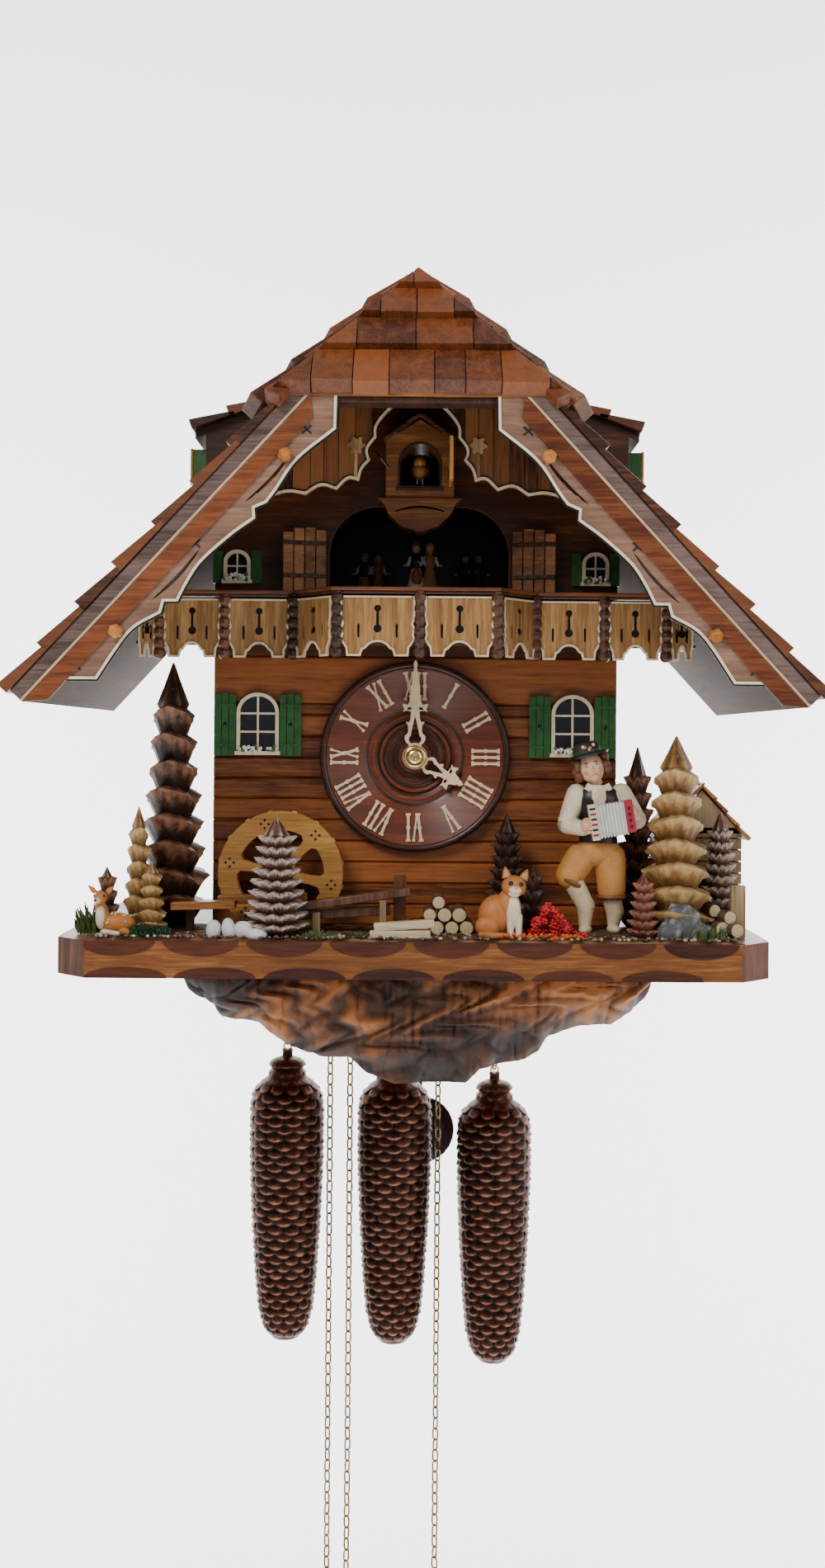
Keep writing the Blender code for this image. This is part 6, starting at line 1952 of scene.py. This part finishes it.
def make_plants():
    moss = Shape(341)
    rng = moss.random
    tuft(moss, -0.1640, -0.1960, 0.0085, 0.0170, 110, 0, rng)
    tuft(moss, -0.1335, -0.2120, 0.0105, 0.0080, 130, 1, rng)
    tuft(moss, 0.1500, -0.2130, 0.0080, 0.0090, 80, 0, rng)
    tuft(moss, -0.0480, -0.2150, 0.0085, 0.0045, 60, 0, rng)
    tuft(moss, -0.0270, -0.2120, 0.0050, 0.0040, 40, 0, rng)
    moss.place("moss", ["moss_green", "moss_deep"], slot="green_paint", angle=80.0)
    flowers = Shape(343)
    rng = flowers.random
    for _ in range(120):
        x = rng.gauss(0.0700, 0.0065)
        y = rng.uniform(-0.2140, -0.2010)
        rise = max(0.0008, 0.0165 * math.exp(-((x - 0.0690) / 0.0090) ** 2) * rng.random())
        for petal in range(4):
            angle = math.pi / 2 * petal + rng.random()
            flowers.ball((x + 0.0011 * math.cos(angle), y, GROUND + 0.0012 + rise
                          + 0.0011 * math.sin(angle)), (0.0011, 0.0007, 0.0009),
                         rng.choice((0, 0, 1)), 4, 6)
    for _ in range(60):
        x = rng.uniform(0.0440, 0.0850)
        flowers.ball((x, rng.uniform(-0.2195, -0.2120), GROUND + rng.uniform(0.0012, 0.0035)),
                     (0.0011, 0.0008, 0.0009), 2, 4, 6)
    flowers.place("flowers", ["red", "red_deep", "orange_petal"], slot="green_paint", angle=80.0)


def make_log(shape, radius, back, front, place):
    """Bark round the log, pale wood on its sawn end."""
    shape.lathe([(radius, back), (radius, front)], 14, 1, place)
    shape.lathe([(radius * 0.93, round(front - 0.0001, 4)),
                 (radius * 0.90, round(front + 0.0003, 4)),
                 (radius * 0.30, round(front + 0.0004, 4))], 14, 0, place)


def make_woodwork():
    """Mill race, log pile, loose boards and a post."""
    shape = Shape(351)

    def beam(a, b, thick, deep, mat):
        a, b = Vector(a), Vector(b)
        angle = math.atan2(b.z - a.z, b.x - a.x)
        place = turned((a + b) / 2, -angle, "Y")
        half = (b - a).length / 2
        shape.box((-half, -deep / 2, -thick / 2), (half, deep / 2, thick / 2), mat, place)
    beam((-0.1250, -0.1930, -0.0775), (-0.0920, -0.1930, -0.0765), 0.0040, 0.0100, 0)
    beam((-0.1020, -0.1830, -0.0750), (-0.0560, -0.1830, -0.0735), 0.0042, 0.0100, 0)
    beam((-0.0600, -0.1940, -0.0775), (-0.0020, -0.1940, -0.0690), 0.0040, 0.0090, 2)
    beam((-0.0600, -0.1900, -0.0820), (-0.0120, -0.1900, -0.0790), 0.0046, 0.0100, 2)
    shape.box((-0.0105, -0.1900, GROUND), (-0.0040, -0.1840, -0.0615), 1)
    shape.box((-0.0175, -0.1985, GROUND), (-0.0142, -0.1945, -0.0735), 3)
    shape.box((-0.1180, -0.1900, GROUND), (-0.1140, -0.1860, -0.0780), 1)
    shape.box((-0.0520, -0.2010, GROUND), (-0.0480, -0.1960, -0.0800), 3)
    for low, lean, x0, x1 in ((-0.0914, 0.02, -0.0220, 0.0085), (-0.0868, 0.075, -0.0200, 0.0105)):
        place = turned(((x0 + x1) / 2, -0.2150, low + 0.0022), -lean, "Y")
        half = (x1 - x0) / 2
        shape.box((-half, -0.0032, -0.0018), (half, 0.0032, 0.0024), 4, place)
    shape.box((0.1640, -0.1930, GROUND), (0.1715, -0.1885, -0.0650), 3)
    shape.place("mill_race", ["orange", "post", "barge_dark", "oak_worn", "plank_light"],
                bevel=0.0004, slot="orange_wood")
    logs = Shape(353)
    radius = 0.0037
    spots = [(0.0045 + 0.0076 * k, GROUND + 0.0042) for k in range(4)]
    spots += [(0.0083 + 0.0076 * k, GROUND + 0.0108) for k in range(3)]
    spots += [(0.0128, GROUND + 0.0172), (0.0000, GROUND + 0.0030)]
    for x, z in spots:
        r = radius * logs.random.uniform(0.86, 1.05)
        place = turned((x, -0.1850, z), math.pi / 2, "X")
        make_log(logs, r, -0.012, 0.0110, place)
    for x, z, r, y in ((0.1560, GROUND + 0.0050, 0.0042, -0.1960),
                       (0.1630, GROUND + 0.0048, 0.0038, -0.1990),
                       (0.1600, GROUND + 0.0110, 0.0036, -0.1950),
                       (0.1530, GROUND + 0.0140, 0.0034, -0.1900)):
        place = turned((x, y, z), 0.35, "Z") @ Matrix.Rotation(math.pi / 2, 4, "X")
        make_log(logs, r, -0.008, 0.0060, place)
    logs.place("log_pile", ["log_end", "bark"], slot="light_wood", angle=50.0)


# ---------------------------------------------------------------- figures

def limb(shape, points, radii, mat, sides=12):
    """A rounded limb through the points, with a ball at each joint."""
    shape.tube(points, radii, mat, sides)
    for point, radius in zip(points, radii):
        shape.ball(point, (radius, radius, radius), mat, 6, sides)


def make_dancers():
    skin, white, black, tan, blond, red, orange, green, brown = range(9)
    kinds = {
        "left": ((-0.0042, 0.0, white, black, blond, None, tan),
                 (0.0040, 0.0015, tan, tan, brown, None, None)),
        "centre": ((-0.0032, 0.0, white, black, brown, red, orange),
                   (0.0044, 0.0012, tan, tan, blond, None, None)),
        "right": ((0.0040, 0.0, green, green, brown, None, None),
                  (-0.0036, 0.0010, black, green, brown, black, None))}
    for name, pair in kinds.items():
        low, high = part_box("dancers_" + name)
        cx, cy, floor = (low.x + high.x) / 2, (low.y + high.y) / 2, low.z
        shape = Shape(len(name))
        for dx, dy, skirt, bodice, hair, hat, apron in pair:
            x, y = cx + dx, cy + dy
            place = Matrix.Translation((x, y, floor))
            toward = -1 if dx > 0 else 1
            for side in (-1, 1):
                shape.ball((x + side * 0.0016, y - 0.0014, floor + 0.0008),
                           (0.0011, 0.0022, 0.0009), black if name != "right" else white, 5, 8)
                shape.tube([(x + side * 0.0015, y, floor + 0.0008),
                            (x + side * 0.0015, y, floor + 0.008)],
                           0.0009, white)
            ruffle = [(0.0050, 0.0035), (0.0056, 0.0040), (0.0044, 0.0090), (0.0031, 0.0145),
                      (0.0025, 0.0170)]
            shape.lathe(ruffle, 16, skirt, place)
            shape.lathe([(0.0024, 0.0165), (0.0030, 0.0200), (0.0033, 0.0225), (0.0020, 0.0245),
                         (0.0011, 0.0255)], 14, bodice, place)
            if apron is not None:
                shape.ball((x + 0.0003, y - 0.0034, floor + 0.0115), (0.0030, 0.0016, 0.0056),
                           apron, 7, 10)
            shape.ball((x, y - 0.0004, floor + 0.0280), (0.0024, 0.0024, 0.0028), skin, 8, 12)
            shape.ball((x, y + 0.0006, floor + 0.0290), (0.0027, 0.0026, 0.0026), hair, 7, 12)
            if hat is not None:
                shape.lathe([(0.0034, 0.0299), (0.0034, 0.0303), (0.0022, 0.0305),
                             (0.0018, 0.0318)],
                            12, hat, place)
            for side in (-1, 1):
                shoulder = (x + side * 0.0030, y, floor + 0.0228)
                if side == toward:
                    elbow = (x + side * 0.0052, y - 0.0026, floor + 0.0192)
                    hand = (x + side * 0.0062, y - 0.0034, floor + 0.0206)
                else:
                    elbow = (x + side * 0.0046, y - 0.0014, floor + 0.0190)
                    hand = (x + side * 0.0066, y - 0.0024, floor + 0.0186)
                limb(shape, [shoulder, elbow], [0.0012, 0.0010],
                     white if bodice != green else green, 8)
                limb(shape, [elbow, hand], [0.0008, 0.0007], skin, 8)
        shape.place("dancing_couple_" + name,
                    ["skin", "white", "black", "tan", "blond", "hat_red", "orange_cloth",
                     "green_cloth",
                     "hair"], "carousel", ["dancers_" + name], slot="figure_paint", angle=60.0)


def make_musician():
    """A player with an accordion, in a hat, waistcoat and leather shorts."""
    shape = Shape(361)
    skin, hair, black, white, tan, cream, silver, red, green = range(9)
    y = -0.1860

    def at(x, z, forward=0.0):
        return (x * MM, y - forward * MM, z * MM)
    shape.lathe([(0.0168, -0.0917), (0.0172, -0.0905), (0.0155, -0.0893)], 20, 9,
                Matrix.Translation((0.0945, y - 0.004, 0.0)), scale=(1.0, 0.62))
    for x, forward, lean in ((88.5, 9.0, -0.35), (103.5, 6.0, 0.30)):
        place = turned(at(x, -88.0, forward), lean, "Z")
        shape.ball((0, 0, 0), (0.0032, 0.0062, 0.0024), cream, 7, 12, None, place)
    limb(shape, [at(86.5, -52.0), at(80.5, -60.5, 5.0)], [0.0082, 0.0074], tan)
    limb(shape, [at(102.0, -52.0), at(102.5, -68.0, 3.0)], [0.0085, 0.0074], tan)
    shape.ball(at(95.5, -48.5), (0.0125, 0.0085, 0.0085), tan, 9, 16)
    for x, z, lean, forward in ((81.0, -63.5, 0.5, 5.0), (102.5, -71.5, 0.0, 3.0)):
        place = turned(at(x, z, forward), lean, "Y")
        shape.lathe([(0.0070, -0.0012), (0.0078, 0.0), (0.0070, 0.0014)], 16, 10, place)
    limb(shape, [at(83.0, -65.0, 5.5), at(89.0, -76.0, 6.0), at(88.5, -87.0, 6.5)],
         [0.0052, 0.0048, 0.0030], cream)
    limb(shape, [at(102.5, -72.0, 3.0), at(104.5, -79.0, 2.6), at(103.5, -87.0, 3.5)],
         [0.0052, 0.0048, 0.0030], cream)
    shape.lathe([(0.0105, -0.0480), (0.0098, -0.0400), (0.0112, -0.0290), (0.0122, -0.0215),
                 (0.0108, -0.0165), (0.0060, -0.0138), (0.0040, -0.0125)], 20, black,
                Matrix.Translation((0.0958, y, 0.0)), scale=(1.0, 0.66))
    shape.lathe([(0.0060, -0.0300), (0.0078, -0.0210), (0.0064, -0.0160), (0.0044, -0.0135)], 16,
                white, Matrix.Translation((0.0955, y - 0.0035, 0.0)), scale=(0.9, 0.62))
    for x, lean in ((91.6, 0.5), (98.4, -0.5)):
        place = turned(at(x, -15.6, 5.2), lean, "Y")
        shape.box((-0.0034, -0.0010, -0.0018), (0.0034, 0.0010, 0.0018), white, place)
    limb(shape, [at(84.5, -18.5), at(79.0, -34.0, 3.5)], [0.0056, 0.0050], white)
    limb(shape, [at(79.0, -34.0, 3.5), at(87.0, -36.0, 9.5)], [0.0050, 0.0038], white)
    shape.ball(at(89.0, -34.5, 11.5), (0.0040, 0.0036, 0.0044), skin, 8, 12)
    limb(shape, [at(107.5, -18.0), at(115.5, -31.5, 3.5)], [0.0056, 0.0050], white)
    limb(shape, [at(115.5, -31.5, 3.5), at(112.5, -29.0, 9.5)], [0.0048, 0.0038], white)
    shape.ball(at(111.0, -27.6, 11.5), (0.0042, 0.0036, 0.0042), skin, 8, 12)
    for hand_x, hand_z in ((89.6, -35.0), (110.4, -27.6)):
        for finger in range(4):
            shape.ball(at(hand_x + 0.3, hand_z - 2.6 + 1.8 * finger, 14.6),
                       (0.0022, 0.0010, 0.0008), skin, 5, 8)
    tilt = turned(at(100.5, -31.2, 12.0), -0.16, "Y")
    folds = 9
    for fold in range(folds):
        u = -0.0062 + 0.0136 * fold / (folds - 1)
        for du, size in ((-0.0004, 0.0), (0.0004, 0.0006)):
            shape.box((u + du - 0.0004, -0.0030 - size, -0.0080 - size),
                      (u + du + 0.0004, 0.0030 + size, 0.0080 + size), silver, tilt)
    shape.box((-0.0104, -0.0036, -0.0092), (-0.0066, 0.0036, 0.0092), white, tilt)
    for key in range(6):
        z = -0.0070 + 0.0027 * key
        shape.box((-0.0100, -0.0041, z), (-0.0071, -0.0035, z + 0.0010), black if key % 2 else red,
                  tilt)
    shape.box((0.0078, -0.0038, -0.0078), (0.0122, 0.0036, 0.0088), red, tilt)
    for key in range(4):
        z = -0.0060 + 0.0032 * key
        shape.ball((0.0100, -0.0040, z + 0.0012), (0.0008, 0.0006, 0.0008), black, 4, 8, None, tilt)
    head = turned(at(91.6, -4.6, 2.0), -0.26, "Y")
    shape.tube([at(94.8, -14.5, 0.5), at(93.0, -9.0, 1.0)], [0.0036, 0.0032], skin, 12)
    shape.ball((0, 0, 0), (0.0066, 0.0068, 0.0082), skin, 12, 18, None, head)
    shape.ball((0.0, -0.0066, -0.0010), (0.0010, 0.0016, 0.0014), skin, 6, 8, None, head)
    shape.ball((0.0, -0.0048, -0.0052), (0.0026, 0.0022, 0.0020), skin, 6, 10, None, head)
    shape.ball((0.0, -0.0064, -0.0040), (0.0016, 0.0005, 0.0004), 11, 5, 8, None, head)
    for side in (-1, 1):
        shape.ball((side * 0.0026, -0.0060, 0.0014), (0.0009, 0.0005, 0.0006), white, 5, 8, None,
                   head)
        shape.ball((side * 0.0026, -0.0064, 0.0014), (0.0004, 0.0003, 0.0005), black, 5, 8, None,
                   head)
        shape.ball((side * 0.0026, -0.0061, 0.0028), (0.0012, 0.0004, 0.0003), hair, 5, 8, None,
                   head)
        shape.ball((side * 0.0030, -0.0052, -0.0020), (0.0014, 0.0010, 0.0012), 11, 5, 8, None,
                   head)
    rng = shape.random
    for _ in range(70):
        angle = rng.uniform(-0.25, math.pi + 0.25)
        rise = rng.uniform(-0.0060, 0.0052)
        reach = 0.0068 + rng.uniform(0.0, 0.0018)
        shape.ball((reach * math.cos(angle), reach * math.sin(angle) - 0.0008, rise),
                   (0.0022, 0.0020, 0.0022), hair, 5, 8, None, head)
    crown = head @ Matrix.Translation((0.0, 0.0012, 0.0066))
    shape.lathe([(0.0108, -0.0006), (0.0114, 0.0006), (0.0074, 0.0014)], 24, black, crown)
    shape.lathe([(0.0074, 0.0006), (0.0074, 0.0028)], 20, green, crown)
    shape.lathe([(0.0072, 0.0027), (0.0064, 0.0056), (0.0046, 0.0068), (0.0020, 0.0062)], 20, 12,
                crown)
    for step in range(7):
        shape.ball((-0.0020 + 0.0009 * step, -0.0072, 0.0030 + 0.0006 * abs(step - 3)),
                   (0.0009, 0.0008, 0.0010), (white, tan, 12)[step % 3], 5, 8, None, crown)
    shape.place("musician_carved",
                ["skin", "curl", "black", "white_warm", "leather", "stocking", "silver", "hat_red",
                 "green_cloth", "earth", "leather_dark", "blush", "hat_grey"],
                replaces=["musician"], slot="figure_paint", bevel=0.0, angle=60.0)


def make_cat():
    shape = Shape(371)
    orange, white, black, pink = range(4)
    y = -0.2050
    base = GROUND + 0.0008
    shape.ball((0.0425, y + 0.001, base + 0.0105), (0.0098, 0.0080, 0.0112), orange, 12, 18, None,
               None)
    shape.ball((0.0480, y - 0.0010, base + 0.0150), (0.0066, 0.0058, 0.0098), orange, 10, 16)
    shape.ball((0.0505, y - 0.0050, base + 0.0130), (0.0040, 0.0030, 0.0085), white, 8, 12)
    shape.ball((0.0375, y - 0.0050, base + 0.0058), (0.0064, 0.0046, 0.0058), orange, 9, 14)
    for x in (0.0490, 0.0532):
        limb(shape, [(x, y - 0.0050, base + 0.0110), (x, y - 0.0066, base + 0.0016)],
             [0.0020, 0.0016], white, 10)
        shape.ball((x, y - 0.0084, base + 0.0012), (0.0018, 0.0026, 0.0013), white, 6, 10)
    shape.ball((0.0400, y - 0.0096, base + 0.0014), (0.0034, 0.0024, 0.0015), white, 6, 10)
    tail = [(0.0350, y, base + 0.0030), (0.0345, y - 0.0070, base + 0.0020),
            (0.0400, y - 0.0112, base + 0.0018), (0.0470, y - 0.0118, base + 0.0020)]
    limb(shape, tail, [0.0020, 0.0020, 0.0018, 0.0014], orange, 10)
    head = (turned((0.0508, y - 0.0030, base + 0.0262), 0.12, "Y")
            @ Matrix.Rotation(0.12, 4, "Z"))
    shape.ball((0, 0, 0), (0.0064, 0.0056, 0.0056), orange, 12, 16, None, head)
    shape.ball((0.0, -0.0046, -0.0016), (0.0034, 0.0024, 0.0022), white, 8, 12, None, head)
    shape.ball((0.0, -0.0030, -0.0036), (0.0032, 0.0024, 0.0018), white, 7, 10, None, head)
    shape.ball((0.0, -0.0068, -0.0004), (0.0008, 0.0006, 0.0006), pink, 5, 8, None, head)
    for side in (-1, 1):
        shape.ball((side * 0.0026, -0.0048, 0.0016), (0.0013, 0.0009, 0.0012), black, 6, 10, None,
                   head)
        ear = head @ Matrix.Translation((side * 0.0042, -0.0002, 0.0040)) @ Matrix.Rotation(
            side * 0.30, 4, "Y")
        shape.lathe([(0.0026, 0.0), (0.0020, 0.0026), (0.0004, 0.0056)], 8, orange, ear,
                    scale=(1.0, 0.5))
        shape.lathe([(0.0016, 0.0006), (0.0012, 0.0024), (0.0003, 0.0044)], 8, pink,
                    ear @ Matrix.Translation((0.0, -0.0010, 0.0)), scale=(1.0, 0.4))
    shape.place("cat", ["fur_orange", "fur_white", "black", "fur_pink"], slot="figure_paint",
                angle=80.0)


def make_fawn():
    shape = Shape(373)
    brown, white, black = range(3)
    y, base = -0.2075, GROUND + 0.0008
    shape.ball((-0.1510, y, base + 0.0056), (0.0098, 0.0052, 0.0056), brown, 10, 16)
    limb(shape, [(-0.1570, y - 0.001, base + 0.0070), (-0.1588, y - 0.0015, base + 0.0150)],
         [0.0040, 0.0028], brown, 12)
    shape.ball((-0.1584, y - 0.0036, base + 0.0090), (0.0026, 0.0020, 0.0062), white, 7, 10)
    head = turned((-0.1586, y - 0.0028, base + 0.0190), -0.2, "Z")
    shape.ball((0, 0, 0), (0.0034, 0.0040, 0.0034), brown, 9, 14, None, head)
    shape.ball((0.0, -0.0042, -0.0012), (0.0018, 0.0030, 0.0016), white, 7, 10, None, head)
    shape.ball((0.0, -0.0070, -0.0008), (0.0008, 0.0006, 0.0006), black, 5, 8, None, head)
    for side in (-1, 1):
        shape.ball((side * 0.0026, -0.0022, 0.0010), (0.0006, 0.0006, 0.0007), black, 5, 8, None,
                   head)
        ear = head @ Matrix.Translation((side * 0.0032, 0.0008, 0.0026)) @ Matrix.Rotation(
            side * 0.85, 4, "Y")
        shape.lathe([(0.0012, 0.0), (0.0014, 0.0020), (0.0003, 0.0050)], 8, brown, ear,
                    scale=(1, 0.5))
    limb(shape, [(-0.1565, y - 0.0050, base + 0.0018), (-0.1490, y - 0.0082, base + 0.0014)],
         [0.0016, 0.0013], white, 10)
    limb(shape, [(-0.1475, y - 0.0030, base + 0.0022), (-0.1432, y - 0.0060, base + 0.0016)],
         [0.0022, 0.0015], brown, 10)
    rng = shape.random
    for _ in range(26):
        angle, along = rng.uniform(0.1, 2.6), rng.uniform(-0.6, 0.8)
        ring = math.sqrt(1 - along * along)
        shape.ball((-0.1510 + 0.0098 * along, y - 0.0052 * ring * math.cos(angle),
                    base + 0.0056 + 0.0056 * ring * math.sin(angle)), (0.0006, 0.0006, 0.0006),
                   white, 4, 6)
    shape.place("fawn", ["fur_orange", "fur_white", "black"], slot="figure_paint",
                angle=80.0)


M["fir_dark"] = relief_shaded("fir_dark_wood", (0.008, 0.004, 0.003), (0.042, 0.017, 0.010),
                       (0.260, 0.125, 0.070), 0.36, 0.0, 300.0, 0.5)
M["fir_shade"] = relief_shaded("fir_shade_wood", (0.006, 0.003, 0.003), (0.026, 0.012, 0.009),
                        (0.090, 0.048, 0.038), 0.45, 0.0, 300.0, 0.4)
M["fir_light"] = relief_shaded("fir_light_wood", (0.040, 0.018, 0.006), (0.260, 0.135, 0.045),
                        (0.560, 0.370, 0.160), 0.45, 0.0, 260.0, 0.4)
M["fir_frost"] = relief_shaded("fir_frost_wood", (0.020, 0.008, 0.005), (0.120, 0.050, 0.030),
                        (0.560, 0.470, 0.420), 0.55, 0.0, 700.0, 0.3)
M["fir_red"] = relief_shaded("fir_red_wood", (0.030, 0.009, 0.006), (0.150, 0.048, 0.030),
                      (0.330, 0.150, 0.100), 0.5, 0.0, 500.0, 0.3)
M["oak_worn"] = wood("oak_worn_wood", (0.160, 0.100, 0.050), (0.360, 0.250, 0.140), "z", 0.6, 0.0,
                     1.2)
M["hut_roof"] = wood("hut_roof_wood", (0.150, 0.050, 0.014), (0.360, 0.150, 0.050), "y", 0.42, 0.2,
                     1.1, 0.9)
M["plank_light"] = wood("plank_light_wood", (0.420, 0.320, 0.180), (0.720, 0.600, 0.400), "x", 0.55,
                        0.0, 1.1)
M["earth"] = relief_shaded("earth_ground", (0.020, 0.008, 0.004), (0.075, 0.032, 0.014),
                    (0.240, 0.130, 0.060), 0.8, 0.0, 900.0, 0.3)
M["rock"] = relief_shaded("rock_stone", (0.035, 0.038, 0.042), (0.120, 0.125, 0.130),
                   (0.300, 0.300, 0.290), 0.7, 0.0, 500.0, 0.4)
for key, tint in (("stone_brown", (0.160, 0.085, 0.045)), ("stone_dark", (0.035, 0.018, 0.012)),
                  ("stone_cream", (0.480, 0.400, 0.270)), ("stone_grey", (0.200, 0.190, 0.170)),
                  ("stone_white", (0.600, 0.590, 0.580)), ("moss_green", (0.060, 0.090, 0.018)),
                  ("moss_deep", (0.010, 0.040, 0.012)), ("red", (0.520, 0.012, 0.016)),
                  ("red_deep", (0.250, 0.006, 0.012)), ("orange_petal", (0.620, 0.110, 0.014)),
                  ("skin", (0.620, 0.360, 0.220)), ("blush", (0.560, 0.220, 0.140)),
                  ("tan", (0.400, 0.210, 0.080)), ("blond", (0.520, 0.350, 0.130)),
                  ("hat_red", (0.300, 0.012, 0.030)), ("orange_cloth", (0.340, 0.110, 0.030)),
                  ("green_cloth", (0.020, 0.070, 0.035)), ("hair", (0.090, 0.040, 0.018)),
                  ("curl", (0.120, 0.045, 0.018)), ("white_warm", (0.620, 0.530, 0.380)),
                  ("leather", (0.430, 0.190, 0.045)), ("leather_dark", (0.180, 0.070, 0.018)),
                  ("stocking", (0.580, 0.460, 0.290)), ("silver", (0.560, 0.540, 0.500)),
                  ("hat_grey", (0.030, 0.024, 0.018)), ("fur_orange", (0.420, 0.150, 0.034)),
                  ("fur_white", (0.680, 0.580, 0.420)), ("fur_pink", (0.520, 0.230, 0.150)),
                  ("log_end", (0.560, 0.430, 0.230)), ("bark", (0.090, 0.055, 0.030))):
    M[key] = paint(key + "_paint", tint, 0.5, 0.2)


def make_scenery():
    make_trees()
    make_hut()
    make_ground()
    make_plants()
    make_woodwork()
    make_dancers()
    make_musician()
    make_cat()
    make_fawn()


def default_finishes():
    """Finished materials for the CAD nodes whose own shape is kept."""
    for material, nodes in {
            "roof_board": ["roof_board_left", "roof_board_right", "back_board"],
            "orange": ["wall_left", "wall_right", "base_platform", "bellows_lid_left",
                       "bellows_lid_right", "balcony_deck"],
            "dark": ["carousel_table", "pendulum"],
            "light": ["bellows_left", "bellows_right"],
            "brass": ["hand_nut", "movement_frame", "escape_wheel", "chain_wheel_left",
                      "chain_wheel_middle", "chain_wheel_right"]}.items():
        for node in nodes:
            repaint(node, material)


make_camera()
make_lights()
make_studio()
make_chains()
default_finishes()
make_roof()
make_front()
make_works()
make_scenery()
